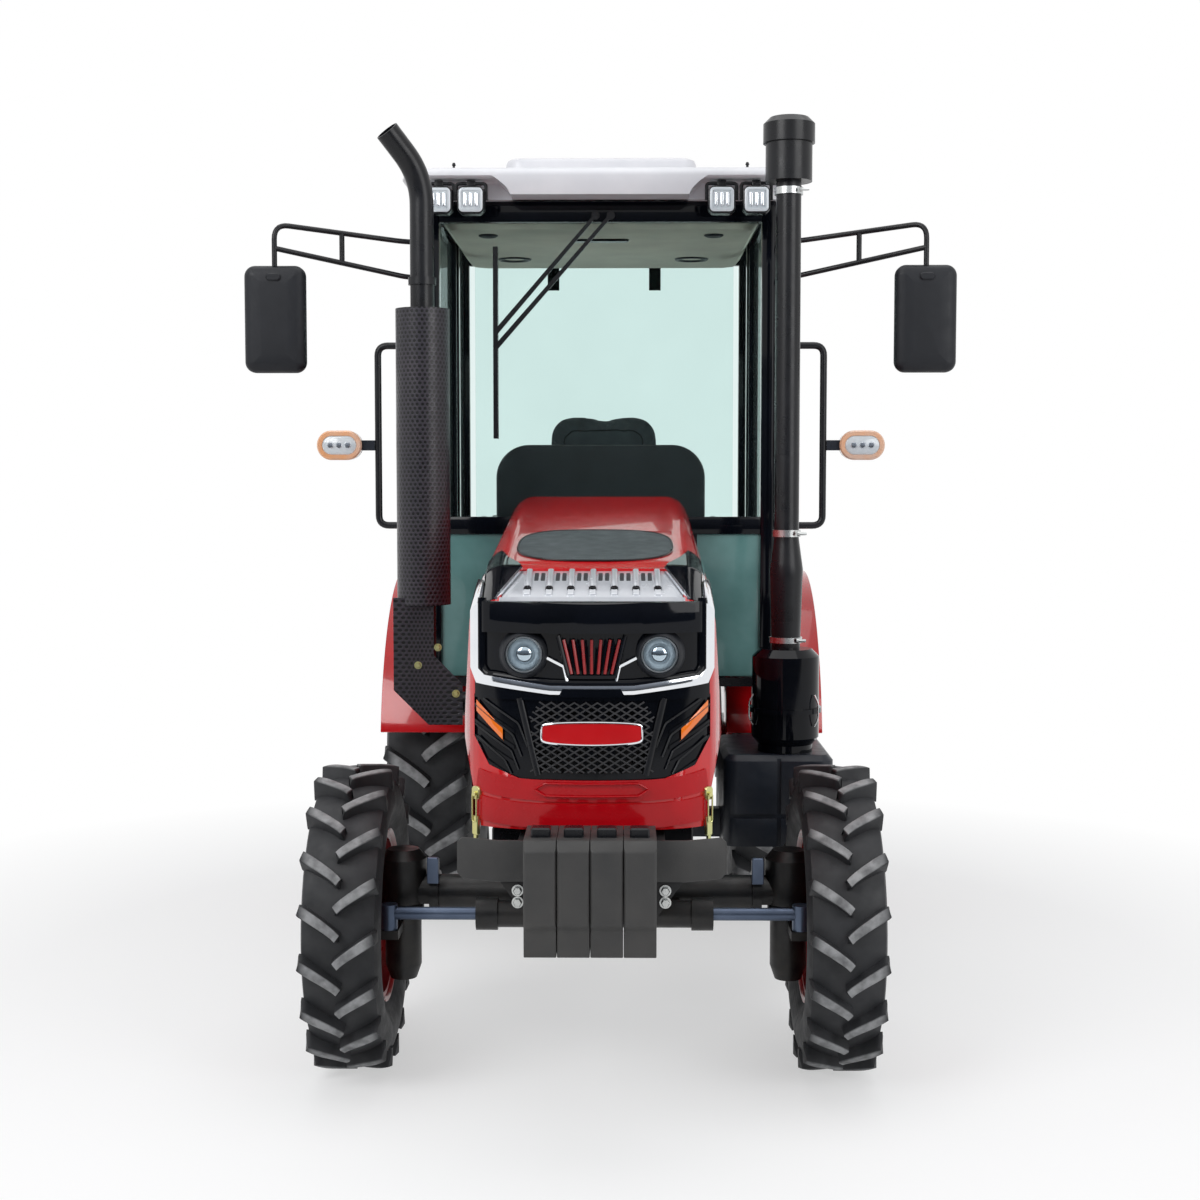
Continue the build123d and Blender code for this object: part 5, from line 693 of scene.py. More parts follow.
@dataclass(frozen=True)
class Glass(Look):
    """Tinted flat glass: clear with a tint, and a mirror layer that grows towards the edge of sight."""

    name: str
    colour: Triple
    mirror: float = 0.12

    def build(self) -> Shader:
        """Lay out the nodes.

        Returns:
            The finished shader.
        """
        shader = Shader(self.name)
        cloud = shader.spread(shader.noise(3.0), 0.3, 0.7, 0.0, 1.0)
        darker = tuple(0.985 * part for part in self.colour)
        clear = shader.nodes.new("ShaderNodeBsdfTransparent")
        shader.put(clear.inputs["Color"], shader.blend(cloud, self.colour, darker))
        shader.put(shader.main.inputs["Base Color"], tuple(0.2 * part for part in self.colour))
        shader.main.inputs["Roughness"].default_value = 0.03
        facing = shader.nodes.new("ShaderNodeLayerWeight")
        facing.inputs["Blend"].default_value = self.mirror
        shader.layer(facing.outputs["Fresnel"], clear.outputs[0], shader.main.outputs[0])
        return shader


@dataclass(frozen=True)
class Fabric(Finish):
    """Woven cover: two crossed waves as warp and weft, darker in the gaps."""

    threads: float = 900.0

    def weave(self, shader: Shader) -> bpy.types.NodeSocket:
        """Height of the weave, from 0 to 1.

        Args:
            shader: the nodes.

        Returns:
            A value socket.
        """
        x, y, z = shader.parts()
        warp = shader.sum("SINE", shader.sum("MULTIPLY", x, self.threads))
        weft = shader.sum("SINE", shader.sum("MULTIPLY", shader.sum("ADD", y, z), self.threads))
        return shader.spread(shader.sum("MULTIPLY", warp, weft), -1.0, 1.0, 0.0, 1.0)

    def colours(self, shader: Shader) -> object:
        """Mottled cloth with dark gaps."""
        return shader.blend(
            shader.sum("MULTIPLY", self.weave(shader), 0.4), super().colours(shader), self.shade,
        )

    def texture(self, shader: Shader) -> None:
        """Relief of the weave."""
        shader.relief(self.weave(shader), 0.35, 0.0008)


RED = Finish(
    "hood_red", tint(196, 14, 22), tint(184, 10, 18), (0.16, 0.26), Grain.PEEL, coat=0.6, shine=0.3,
)
LIP_RED = Finish(
    "lip_red", tint(178, 8, 20), tint(162, 6, 16), (0.2, 0.3), Grain.PEEL, coat=0.25, shine=0.2,
)
# The lattice is gloss black; this mid grey is a painted sheen that stands in for the highlights on both
# families of bars.
LATTICE_PAINTED_SHEEN = Finish("lattice_painted_sheen", tint(56, 56, 58), tint(46, 46, 48), (0.4, 0.5), Grain.MOULDED, shine=0.3)
PANE = Finish("tinted_pane", tint(98, 140, 138), tint(84, 124, 122), (0.06, 0.12), Grain.SMOOTH, shine=0.3)
PIPING = Finish("seat_piping", tint(30, 32, 35), tint(24, 26, 29), (0.6, 0.7), Grain.MOULDED, shine=0.3)
RIM_RED = Finish(
    "rim_enamel", tint(150, 10, 18), tint(132, 8, 14), (0.25, 0.38), Grain.PEEL, coat=0.3, dust=0.06,
    dust_top=0.9,
)
GLOSS_BLACK = Finish("piano_black", tint(7, 9, 14), tint(10, 13, 20), (0.05, 0.1), Grain.SMOOTH, shine=0.2)
BLACK = Finish("satin_black", tint(17, 18, 21), tint(23, 24, 28), (0.24, 0.36), Grain.PEEL, shine=0.3)
CHASSIS = Finish(
    "chassis_black", tint(22, 23, 26), tint(34, 35, 38), (0.38, 0.6), Grain.CAST, dust=0.12,
    dust_top=1.1, shine=0.3,
)
WEIGHT = Finish(
    "weight_grey", tint(52, 52, 52), tint(62, 61, 60), (0.45, 0.62), Grain.CAST, dust=0.1, dust_top=0.7,
    shine=0.35,
)
NAVY = Finish(
    "navy_plastic", tint(22, 27, 36), tint(28, 34, 44), (0.32, 0.46), Grain.MOULDED, dust=0.08,
    dust_top=0.9, shine=0.3,
)
PLASTIC = Finish(
    "moulded_black", tint(22, 24, 29), tint(29, 31, 36), (0.42, 0.56), Grain.MOULDED, shine=0.3,
)
CAST = Finish(
    "cast_black", tint(14, 15, 17), tint(22, 23, 26), (0.28, 0.5), Grain.CAST, dust=0.1, dust_top=0.8,
    shine=0.35,
)
STEEL = Finish("blued_steel", tint(92, 104, 124), tint(70, 82, 102), (0.28, 0.42), Grain.SMOOTH, metal=0.7)
ZINC = Finish("zinc_plate", tint(206, 208, 206), tint(180, 184, 186), (0.22, 0.36), Grain.SMOOTH, metal=1.0)
BRASS = Finish(
    "passivated_zinc", tint(206, 196, 132), tint(186, 196, 150), (0.25, 0.4), Grain.SMOOTH, metal=1.0,
)
CHROME = Finish(
    "bright_chrome", tint(236, 238, 241), tint(224, 228, 233), (0.05, 0.11), Grain.SMOOTH, metal=1.0,
)
SILVER = Finish(
    "silver_plastic", tint(202, 205, 211), tint(188, 192, 199), (0.18, 0.28), Grain.SMOOTH, metal=0.3,
    coat=0.6,
)
ROOF = Finish("roof_enamel", tint(214, 214, 218), tint(204, 205, 210), (0.3, 0.42), Grain.PEEL, coat=0.2)
AMBER = Finish("amber_lens", tint(240, 122, 14), tint(220, 98, 8), (0.1, 0.2), Grain.SMOOTH, coat=1.0)
LINER = Finish("headliner", tint(222, 216, 200), tint(208, 202, 188), (0.7, 0.85), Grain.MOULDED)
LED = Finish("lamp_led", tint(206, 212, 216), tint(190, 198, 204), (0.12, 0.25), Grain.SMOOTH, coat=0.6)
MIRROR = Finish(
    "mirror_silver", tint(232, 238, 242), tint(224, 232, 238), (0.02, 0.04), Grain.SMOOTH, metal=1.0,
)
SEAT = Fabric("seat_cloth", tint(66, 70, 74), tint(40, 43, 47), (0.75, 0.9), Grain.MOULDED)
CAB_GLASS = Glass("cab_glass", tint(243, 250, 249))
LENS = Glass("lamp_lens", tint(244, 248, 250), 0.2)

MARKER_RIM = Finish(
    "marker_rim", tint(232, 168, 120), tint(214, 196, 186), (0.1, 0.2), Grain.SMOOTH, coat=1.0,
)
VENT_MESH = Perforated(
    "vent_mesh", tint(84, 92, 96), tint(70, 78, 82), (0.4, 0.55), Grain.CAST, pitch=0.0075, flat=True,
    shine=0.3,
    hole_colour=tint(24, 27, 30),
)
SCREEN = Perforated(
    "radiator_screen", tint(16, 16, 18), tint(22, 22, 24), (0.5, 0.7), Grain.CAST, pitch=0.006,
)
EXHAUST = (-0.557, behind(0.600))
GUARD = Perforated(
    "guard_sheet", tint(44, 43, 50), tint(54, 50, 58), (0.28, 0.4), Grain.PEEL, shine=0.4,
    axis=EXHAUST, round_r=0.085, pitch=0.0152, hole=0.3,
)

NODE_FINISH: dict[str, Look] = {
    "hood_shell": RED, "fenders": RED, "grille_bar": RED,
    "hood_grille": GLOSS_BLACK, "hood_lamp_panel": GLOSS_BLACK, "hood_trim": CHROME, "hood_tray": SILVER,
    "indicators": AMBER, "cab_roof": ROOF, "cab_frame": GLOSS_BLACK, "cab_floor": BLACK,
    "door_left": GLOSS_BLACK,
    "door_right": GLOSS_BLACK, "cab_glass": CAB_GLASS, "door_glass_left": CAB_GLASS,
    "door_glass_right": CAB_GLASS,
    "rear_window": CAB_GLASS, "rear_window_hinges": BLACK, "dashboard": PLASTIC, "steering_wheel": PLASTIC,
    "seat_base": BLACK, "cab_rails": BLACK, "mirror_arms": BLACK, "mirror_heads": PLASTIC,
    "work_lamps": BLACK,
    "marker_lamps": NAVY, "wiper": BLACK, "step_left": BLACK, "engine_block": CAST, "gearbox_housing": CAST,
    "rear_axle_housing": CAST, "front_axle_beam": CAST, "knuckle_left": CAST, "knuckle_right": CAST,
    "steer_rod": STEEL,
    "prop_shaft": CAST, "front_frame": CHASSIS, "bumper_plate": WEIGHT, "front_weights": WEIGHT,
    "fuel_tank": NAVY,
    "air_cleaner": GLOSS_BLACK, "intake_stack": BLACK, "exhaust_pipe": BLACK, "drawbar": CHASSIS,
    "lift_housing": CAST,
    "lift_arms": CHASSIS, "lift_rods": ZINC, "lower_links": CHASSIS, "pto_shaft": ZINC,
    "exhaust_guard": GUARD,
}
NODE_EDGE: dict[str, float] = {
    "hood_shell": 0.004, "fenders": 0.002, "cab_roof": 0.012, "front_weights": 0.004, "bumper_plate": 0.002,
    "mirror_heads": 0.008, "work_lamps": 0.004, "cab_frame": 0.004, "door_left": 0.004, "door_right": 0.004,
    "dashboard": 0.012, "hood_lamp_panel": 0.0025, "hood_trim": 0.002, "hood_tray": 0.0025,
    "indicators": 0.002,
    "grille_bar": 0.003, "fuel_tank": 0.006, "gearbox_housing": 0.008, "rear_axle_housing": 0.008,
    "lift_housing": 0.006, "lower_links": 0.003, "lift_arms": 0.004, "front_frame": 0.003,
    "seat_base": 0.006,
}


# Pieces


def put_in_scene(name: str, data: bpy.types.ID) -> bpy.types.Object:
    """New object of the scene, made from its data."""
    piece = bpy.data.objects.new(name, data)
    bpy.context.scene.collection.objects.link(piece)
    return piece


def baked(piece: bpy.types.Object) -> bpy.types.Mesh:
    """A piece's mesh with its modifiers applied."""
    return bpy.data.meshes.new_from_object(piece.evaluated_get(bpy.context.evaluated_depsgraph_get()))


def add_piece(
    name: str,
    patch: Patch,
    finish: Look,
    body: str,
    instead_of: Sequence[str] = (),
    sharp: float = 38.0,
) -> bpy.types.Object:
    """Make a piece of the scene from a surface, dress it and let it ride.

    Args:
        name: the piece's name.
        patch: its surface.
        finish: its finish.
        body: the body that it rides on.
        instead_of: nodes that it stands for.
        sharp: edges bent by more degrees than this stay sharp.

    Returns:
        The new object.
    """
    mesh = bpy.data.meshes.new(name)
    mesh.from_pydata(patch.points.tolist(), [], [face for faces in patch.faces for face in faces.tolist()])
    work = bmesh.new()
    work.from_mesh(mesh)
    bmesh.ops.remove_doubles(work, verts=work.verts, dist=1e-6)
    bmesh.ops.recalc_face_normals(work, faces=work.faces)
    work.to_mesh(mesh)
    work.free()
    mesh.polygons.foreach_set("use_smooth", np.ones(len(mesh.polygons), bool))
    mesh.set_sharp_from_angle(angle=math.radians(sharp))
    mesh.materials.append(finish.material())
    piece = put_in_scene(name, mesh)
    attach(piece, body)
    if instead_of:
        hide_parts(*instead_of)
    LOG.info("%s: %d points on %s", name, len(mesh.vertices), body)
    return piece


def shading_tree() -> bpy.types.NodeTree:
    """Geometry nodes that shade a mesh smooth except at edges bent by more than 30 degrees.

    Returns:
        The node tree.
    """
    tree = bpy.data.node_groups.new("smooth_but_edges", "GeometryNodeTree")
    tree.interface.new_socket("Geometry", in_out="INPUT", socket_type="NodeSocketGeometry")
    tree.interface.new_socket("Geometry", in_out="OUTPUT", socket_type="NodeSocketGeometry")
    start = tree.nodes.new("NodeGroupInput")
    end = tree.nodes.new("NodeGroupOutput")
    bent = tree.nodes.new("GeometryNodeInputMeshEdgeAngle")
    gentle = tree.nodes.new("FunctionNodeCompare")
    gentle.operation = "LESS_THAN"
    gentle.inputs[1].default_value = math.radians(30)
    edges = tree.nodes.new("GeometryNodeSetShadeSmooth")
    edges.domain = "EDGE"
    faces = tree.nodes.new("GeometryNodeSetShadeSmooth")
    tree.links.new(bent.outputs[0], gentle.inputs[0])
    tree.links.new(start.outputs[0], faces.inputs[0])
    tree.links.new(faces.outputs[0], edges.inputs[0])
    tree.links.new(gentle.outputs[0], edges.inputs[2])
    tree.links.new(edges.outputs[0], end.inputs[0])
    return tree


class PaintShop:
    """Dresses the frame's own nodes: finish, rounded edges and smooth shading."""

    def __init__(self) -> None:
        """Prepare the shared shading nodes."""
        self.tree = shading_tree()

    def dress(self, node: str, finish: Look, edge: float) -> None:
        """Give one node its finish.

        Args:
            node: the node's name.
            finish: its finish.
            edge: width of its rounded edges, or nought.
        """
        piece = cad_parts[node]
        material = finish.material()
        for place in piece.material_slots:
            place.material = material
        weld = piece.modifiers.new("weld", "WELD")
        weld.merge_threshold = 1e-5
        if edge:
            bevel = piece.modifiers.new("rounded_edges", "BEVEL")
            bevel.width = edge
            bevel.segments = 2
            bevel.limit_method = "ANGLE"
            bevel.angle_limit = math.radians(32)
            bevel.use_clamp_overlap = True
        smooth = piece.modifiers.new("smooth_shading", "NODES")
        smooth.node_group = self.tree
        LOG.info("%s dressed as %s", node, material.name)

    def dress_all(self) -> None:
        """Dress every node that has a finish listed."""
        for node, finish in NODE_FINISH.items():
            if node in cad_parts:
                self.dress(node, finish, NODE_EDGE.get(node, 0.0))


@dataclass
class Wheel:
    """A tyre with its lugs and the rim inside it, both turned about the axle."""

    place: str
    body: str
    lugs: int
    lug_height: float
    run: float
    lug_width: float
    seat: float
    rim_half: float
    disc: float
    dish: float
    hub: float
    hub_out: float
    nuts: int = 8

    def __post_init__(self) -> None:
        """Read the wheel's place and size from its tyre."""
        low, high = corners_of(self.place.replace("_", "_tyre_"))
        self.centre = (low + high) / 2
        self.tip = (high[2] - low[2]) / 2
        self.half = (high[0] - low[0]) / 2
        self.tread = self.tip - self.lug_height
        self.side = 1.0 if self.centre[0] > 0 else -1.0

    def out(self, u: Array, radius: Array, angle: Array) -> Array:
        """Points at u outwards from the middle plane, at a radius and at an angle from straight down.

        Args:
            u, radius, angle: arrays of one shape.

        Returns:
            Points, with one more axis.
        """
        x = self.centre[0] + self.side * u
        y = self.centre[1] + radius * np.sin(angle)
        z = self.centre[2] - radius * np.cos(angle)
        return np.stack([x, y, z], axis=-1)

    def crown(self, u: Array) -> Array:
        """Carcass radius at u: the tread less a bow of (u / half) ^ 2.6 times a fifth of the half width."""
        return self.tread - 0.22 * self.half * np.abs(u / self.half) ** 2.6

    def carcass(self) -> Patch:
        """Carcass: from bead to bead over bulged walls, u = half * (1 - c (1-s)^2), then over the crown."""
        bead = self.seat + 0.02
        share = np.linspace(0, 1, 12)
        shoulder = self.crown(np.array(0.9 * self.half))
        wall_r = bead + (shoulder - bead) * share
        wall_u = self.rim_half + (self.half - self.rim_half) * np.sin(
            np.pi * 0.5 * np.minimum(share * 1.7, 1)
        )
        wall_u -= 0.1 * self.half * np.maximum(share - 0.6, 0) ** 2 / 0.16
        top_u = np.linspace(0.9, -0.9, 19)[1:-1] * self.half
        u = np.concatenate([wall_u, top_u, -wall_u[::-1]])
        radius = np.concatenate([wall_r, self.crown(top_u), wall_r[::-1]])
        inner = np.array(((-self.rim_half, self.seat + 0.003), (self.rim_half, self.seat + 0.003)))
        u = np.concatenate([u, inner[:, 0]])
        radius = np.concatenate([radius, inner[:, 1]])
        angle = np.linspace(0, 2 * np.pi, 160, endpoint=False)
        turn, wide = np.meshgrid(angle, u, indexing="ij")
        points = self.out(wide, np.broadcast_to(radius, turn.shape), turn)
        return Patch(points.reshape(-1, 3), [grid_faces(len(angle), len(u), True, True)])

    def tread_lugs(self, row: int) -> Patch:
        """One row of lugs: a tapered profile carried from the middle to the shoulder, bent backwards.

        A lug's centre line is u = s * end and a = run * (s^0.85 - 1/2) round the tip; its flanks lean out
        by a share of its height, and it sinks to the carcass at both ends.

        Args:
            row: 1 for the outer row, -1 for the inner one.

        Returns:
            All lugs of the row.
        """
        share = np.linspace(0, 1, 14)
        share = np.concatenate([[-0.03], share, [1.04]])
        held = np.clip(share, 0, 1)
        u = -0.03 * self.half + share * 0.98 * self.half
        a = self.run * (held**0.85 - 0.5)
        step_u = np.gradient(u)
        step_a = np.gradient(a)
        length = np.hypot(step_u, step_a)
        wide = self.lug_width * (0.42 + 0.16 * held)
        lift = np.where((share < 0) | (share > 1), 0.25, 1.0)
        off = np.array((-1.34, -1.06, -0.98, -0.8, 0.0, 0.8, 0.98, 1.06, 1.34))
        rise = np.array((-0.2, 0.82, 0.95, 1.0, 1.0, 1.0, 0.95, 0.82, -0.2))
        lug_u = u[:, None] - (step_a / length * wide)[:, None] * off
        lug_a = a[:, None] + (step_u / length * wide)[:, None] * off
        lug_u = np.clip(lug_u, -0.12 * self.half, 0.985 * self.half)
        base = self.crown(lug_u)
        shoulder = self.tip - 0.07 * self.half * np.maximum(np.abs(lug_u / self.half) - 0.55, 0) ** 2 / 0.2
        radius = base + (shoulder - base) * rise * lift[:, None]
        first = np.arange(self.lugs) + (0.0 if row > 0 else 0.5)
        turn = first[:, None, None] * 2 * np.pi / self.lugs + lug_a / self.tip
        points = self.out(
            np.broadcast_to(row * lug_u, turn.shape), np.broadcast_to(radius, turn.shape), -turn
        )
        rows, columns = lug_u.shape
        loop = np.arange(columns)[None]
        single = [grid_faces(rows, columns, False, True), loop[:, ::-1], loop + columns * (rows - 1)]
        starts = (np.arange(self.lugs) * rows * columns)[:, None, None]
        return Patch(
            points.reshape(-1, 3),
            [(face[None] + starts).reshape(-1, face.shape[1]) for face in single],
        )

    def rim(self) -> Patch:
        """Rim: flanges, drop-centre barrel and dished disc as one turned profile, and a hub cap."""
        seat = self.seat - 0.0005
        edge = self.rim_half + 0.012
        flange = seat + 0.018
        wall = 0.008
        well = seat - 0.03
        face = self.disc + self.dish
        hub = self.hub
        profile = [
            (hub * 0.4, face), (hub + 0.03, face), (hub + 0.042, face - 0.004),
            (seat - 0.075, self.disc + 0.004), (seat - 0.05, self.disc + 0.01),
            (seat - 0.032, self.disc + 0.03),
            (well, 0.4 * self.rim_half), (seat - wall, 0.62 * self.rim_half), (seat - wall, edge - 0.006),
            (flange - 0.006, edge - 0.004), (flange, edge), (flange, edge + 0.004),
            (flange - 0.004, edge + 0.003),
            (seat + 0.002, self.rim_half), (seat, 0.66 * self.rim_half),
            (well + wall, 0.42 * self.rim_half),
            (well + wall, -0.42 * self.rim_half), (seat, -0.66 * self.rim_half),
            (seat + 0.002, -self.rim_half),
            (flange - 0.004, -edge - 0.003), (flange, -edge - 0.004), (flange, -edge),
            (flange - 0.006, 0.006 - edge),
            (seat - wall, 0.006 - edge), (seat - wall, -0.62 * self.rim_half), (well, -0.4 * self.rim_half),
            (seat - 0.045, self.disc - 0.012), (seat - 0.075, self.disc - 0.008),
            (hub + 0.042, face - 0.016),
            (hub * 0.4, face - 0.012),
        ]
        axis = (self.side, 0, 0)
        cap = [(0, face - 0.01), (hub * 0.95, face - 0.01), (hub * 0.95, self.hub_out - 0.012)]
        cap += [(hub * 0.8, self.hub_out), (0, self.hub_out)]
        pieces = [lathe(profile, self.centre, axis, 96), lathe(cap, self.centre, axis, 40)]
        return Patch.joined(pieces)

    def nut_ring(self) -> Patch:
        """Ring of hexagon nuts with their studs on the hub flange."""
        circle = self.hub + 0.022
        angle = np.arange(self.nuts) * 2 * np.pi / self.nuts + 0.2
        places = self.out(np.full(self.nuts, self.disc + self.dish), np.full(self.nuts, circle), angle)
        return Patch.joined([bolt(place, (self.side, 0, 0), 0.0125, 0.016) for place in places])

    def build(self) -> None:
        """Make the tyre, the rim and its nuts."""
        end, word = self.place.split("_")
        rubber = Rubber(
            f"tyre_rubber_{end}", tint(27, 28, 31), tint(38, 39, 42), (0.55, 0.75), Grain.MOULDED,
            axle=(float(self.centre[1]), float(self.centre[2])), tread=float(self.tread),
            tip=float(self.tip),
        )
        tyre = Patch.joined([self.carcass(), self.tread_lugs(1), self.tread_lugs(-1)])
        add_piece(f"{end}_{word}_lugged_tyre", tyre, rubber, self.body, [f"{end}_tyre_{word}"])
        add_piece(
            f"{end}_{word}_pressed_rim", self.rim(), RIM_RED, self.body,
            [f"{end}_rim_{word}"],
        )
        add_piece(f"{end}_{word}_wheel_nuts", self.nut_ring(), ZINC, self.body)


@dataclass
class Nose:
    """The hood's nose: lamps, bright strips, screen behind the grille, lip, tray slots and latches."""

    face_half: float = 0.225
    bow: float = 0.040
    half: float = 0.335
    corner: float = 0.210
    lamp_x: float = 0.170
    lamp_z: float = 1.246
    lamp_r: float = 0.046
    rib_pitch: float = 0.056
    rib_length: float = 0.135
    bar_half: float = 0.029
    bar_bow: float = 0.006
    top_flat: float = 0.23
    top_roll: float = 0.0814

    def __post_init__(self) -> None:
        """Find the face from the hood's box."""
        self.face_y = float(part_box("hood_shell")[0][1])

    def skin(self, x: Array, stand: float = 0.0) -> Array:
        """Y of the nose at x: a flat arc between the cheeks and a tight arc round each corner.

        Args:
            x: places across.
            stand: distance in front of the skin.

        Returns:
            Y at each place.
        """
        wide = np.abs(np.asarray(x, float))
        big = (self.face_half**2 + self.bow**2) / (2 * self.bow)
        flat = big - np.sqrt(np.maximum(big**2 - wide**2, 0))
        a = np.array((self.face_half, self.bow))
        b = np.array((0.3 * self.face_half + 0.7 * self.half, 0.68 * self.bow + 0.32 * self.corner))
        c = np.array((self.half, self.corner))
        rows = 2 * np.array((b - a, c - a))
        middle = np.linalg.solve(rows, np.array((b @ b - a @ a, c @ c - a @ a)))
        tight = np.linalg.norm(a - middle)
        turn = middle[1] - np.sqrt(np.maximum(tight**2 - (wide - middle[0]) ** 2, 0))
        return self.face_y + np.where(wide <= self.face_half, flat, turn) - stand

    def on_skin(self, places: Array, stand: float) -> Array:
        """Points on the nose from x and z pairs."""
        x, z = np.asarray(places, float).T
        return np.stack([x, self.skin(x, stand), z], axis=1)

    def line(self, places: Sequence, count: int, stand: float, closed: bool = False) -> Array:
        """Evenly spread points of a route on the nose.

        Args:
            places: x and z pairs of its corners.
            count: how many points.
            stand: distance in front of the skin.
            closed: whether its end joins its start.

        Returns:
            The points.
        """
        x, z = np.asarray(places, float).T
        flat = even_path(np.stack([x, 0 * x, z], axis=1), count, closed)
        return self.on_skin(flat[:, (0, 2)], stand)

    def hood_top(self, x: Array, v: Array, stand: float) -> Array:
        """Points over the hood: the lower of two planes, rolled down by r - sqrt(r^2 - d^2) past the flat.

        Args:
            x: places across.
            v: places behind the front axle.
            stand: height above the hood.

        Returns:
            Points, with one more axis.
        """
        plane = np.minimum(1.4589 + 0.1316 * (v + 0.30), 1.4484 + 0.3286 * (v + 0.35))
        past = np.clip(np.abs(x) - self.top_flat, 0, 0.99 * self.top_roll)
        drop = self.top_roll - np.sqrt(self.top_roll**2 - past**2)
        return np.stack([x, FRONT_AXLE_Y + v, plane - drop + stand], axis=-1)

    def lamps(self) -> None:
        """Headlamps: a dished reflector, a clear dome over it, a dark bezel and a bulb shield."""
        y = float(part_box("headlamps")[0][1])
        r = self.lamp_r
        share = np.linspace(0, 1, 10)
        bowl = np.stack([share * 0.88 * r, -0.03 + 0.026 * share**2], axis=1)
        barrel = [(0.92 * r, 0.0), (r, -0.003), (r, -0.062), (0, -0.062)]
        dome = np.stack(
            [0.9 * r * np.sin(share * np.pi / 2), 0.001 + 0.012 * np.cos(share * np.pi / 2)], axis=1,
        )
        dome = np.concatenate([dome, [(0.88 * r, -0.002), (0, 0.008)]])
        bezel = [(r * 1.0, -0.03), (r * 1.0, 0.004), (r * 1.06, 0.008), (r * 1.2, 0.003), (r * 1.42, -0.03)]
        bulb = np.stack(
            [0.55 * r * np.sin(share * np.pi / 2), -0.02 + 0.014 * np.cos(share * np.pi / 2)], axis=1,
        )
        bulb = np.concatenate([bulb, [(0.55 * r, -0.028), (0, -0.028)]])
        centre = np.array((self.lamp_x, y, self.lamp_z))
        bowls = lathe(np.concatenate([bowl, barrel]), centre, AHEAD)
        add_piece("headlamp_bowls", bowls.both(), LED, "hood", ["headlamps"])
        add_piece("headlamp_bulbs", lathe(bulb, centre, AHEAD, 32).both(), CHROME, "hood")
        add_piece("headlamp_lenses", lathe(dome, centre, AHEAD).both(), LENS, "hood")
        add_piece("headlamp_bezels", lathe(bezel, centre, AHEAD).both(), PLASTIC, "hood")

    def bright_strips(self) -> None:
        """Plain bar in a bright rim, angled strips beside the middle grille, and its dark outline.

        The bar's half height at x = w s is (h - b s^2) (1 - |s|^9)^(1/9).
        """
        low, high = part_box("grille_bar")
        middle = (low[2] + high[2]) / 2
        wide = high[0] - 0.001

        def tall(share: Array) -> Array:
            """Half height of the bar at a share of its half width."""
            return (self.bar_half - self.bar_bow * share**2) * (1 - np.abs(share) ** 9) ** (1 / 9)

        def face(a: Array, b: Array) -> Array:
            """Front of the bar."""
            share = 2 * b - 1
            x = wide * share
            return np.stack([x, self.skin(x, 0.003), middle + (2 * a - 1) * tall(share)], axis=-1)

        bar = surface(face, 7, 61, 0.014, AHEAD)
        add_piece("plain_bar", bar, RED, "hood", ["grille_bar"])
        share = np.sin(np.linspace(-0.5, 0.5, 61) * np.pi)
        upper = np.stack([wide * share, middle + tall(share)], axis=1)
        lower = np.stack([wide * share, middle - tall(share)], axis=1)[::-1]
        rim = self.line(np.concatenate([upper, lower[1:-1]]), 120, 0.0035, True)
        add_piece(
            "grille_bar_rim", sweep(ring_profile(0.003, 8), rim, AHEAD, True), CHROME, "hood",
        )
        strip = self.line([(0.112, 1.237), (0.070, 1.216), (0.060, 1.172)], 24, -0.001)
        angled = sweep(ring_profile(0.0045, 8), strip, AHEAD)
        add_piece("lamp_panel_strips", angled.both(), CHROME, "hood")
        cup = self.line([(0.084, 1.294), (0.058, 1.190), (-0.058, 1.190), (-0.084, 1.294)], 60, 0.0)
        cup = sweep(ring_profile(0.006, 8), cup, AHEAD)
        add_piece("middle_grille_outline", cup, GLOSS_BLACK, "hood")

    def pockets(self) -> None:
        """Black pockets on both shoulders with bright lines: strips ruled from an inner to an outer edge;
        the inner line is a painted highlight on the tray's edge.
        """
        front, rear = -0.555, -0.06

        def inner(v: Array) -> Array:
            """Inner edge, nearest the middle at the tray's upper corner."""
            return np.interp(v, (front, -0.345, -0.30, -0.20, rear), (0.246, 0.190, 0.198, 0.236, 0.262))

        def outer(v: Array) -> Array:
            """Outer edge, straight from front to rear."""
            return np.interp(v, (front, rear), (0.282, 0.300))

        def strip(first: Callable, second: Callable, ends: tuple[float, float], stand: float) -> Patch:
            """Sheet between two edges.

            Args:
                first, second: give the edges' x at v.
                ends: v of its front and rear.
                stand: height above the hood.

            Returns:
                The sheet and its mirror image.
            """

            def shape(a: Array, b: Array) -> Array:
                """Points of the sheet."""
                v = ends[1] + (ends[0] - ends[1]) * a
                return self.hood_top(first(v) + (second(v) - first(v)) * b, v, stand)

            return surface(shape, 60, 8, 0.008, UP).both()

        glass = strip(inner, outer, (front, rear), 0.003)
        add_piece("shoulder_pockets", glass, GLOSS_BLACK, "hood")
        line = strip(lambda v: outer(v) - 0.002, lambda v: outer(v) + 0.006, (front, rear), 0.006)
        add_piece("pocket_outer_lines", line, CHROME, "hood")
        foot = strip(lambda v: 0 * v - 0.001, lambda v: 0 * v + 0.268, (-0.578, -0.545), 0.0015)
        add_piece("tray_foot", foot, SILVER, "hood")
        # Chrome line on the inner edge, in front of the tray: a painted highlight where the tray's soft edge
        # catches the light.
        line = strip(lambda v: inner(v) - 0.005, lambda v: inner(v) + 0.002, (front, -0.35), 0.006)
        add_piece("pocket_inner_highlight", line, CHROME, "hood")

    def top_mesh(self) -> None:
        """Oval mesh in a raised panel: |x / w|^3 + |(v - c) / l|^3 = 1 on the hood's plane."""
        middle, reach, wide = -0.02, 0.258, 0.217

        def panel(a: Array, b: Array) -> Array:
            """Raised panel, sunk at its edges."""
            along, across = 2 * a - 1, 2 * b - 1
            lift = 0.005 * (1 - np.maximum(np.abs(along), np.abs(across)) ** 14) - 0.001
            flat = self.hood_top(0.229 * across, middle + 0.285 * along, 0.0)
            return flat + lift[..., None] * np.array((0, 0, 1.0))

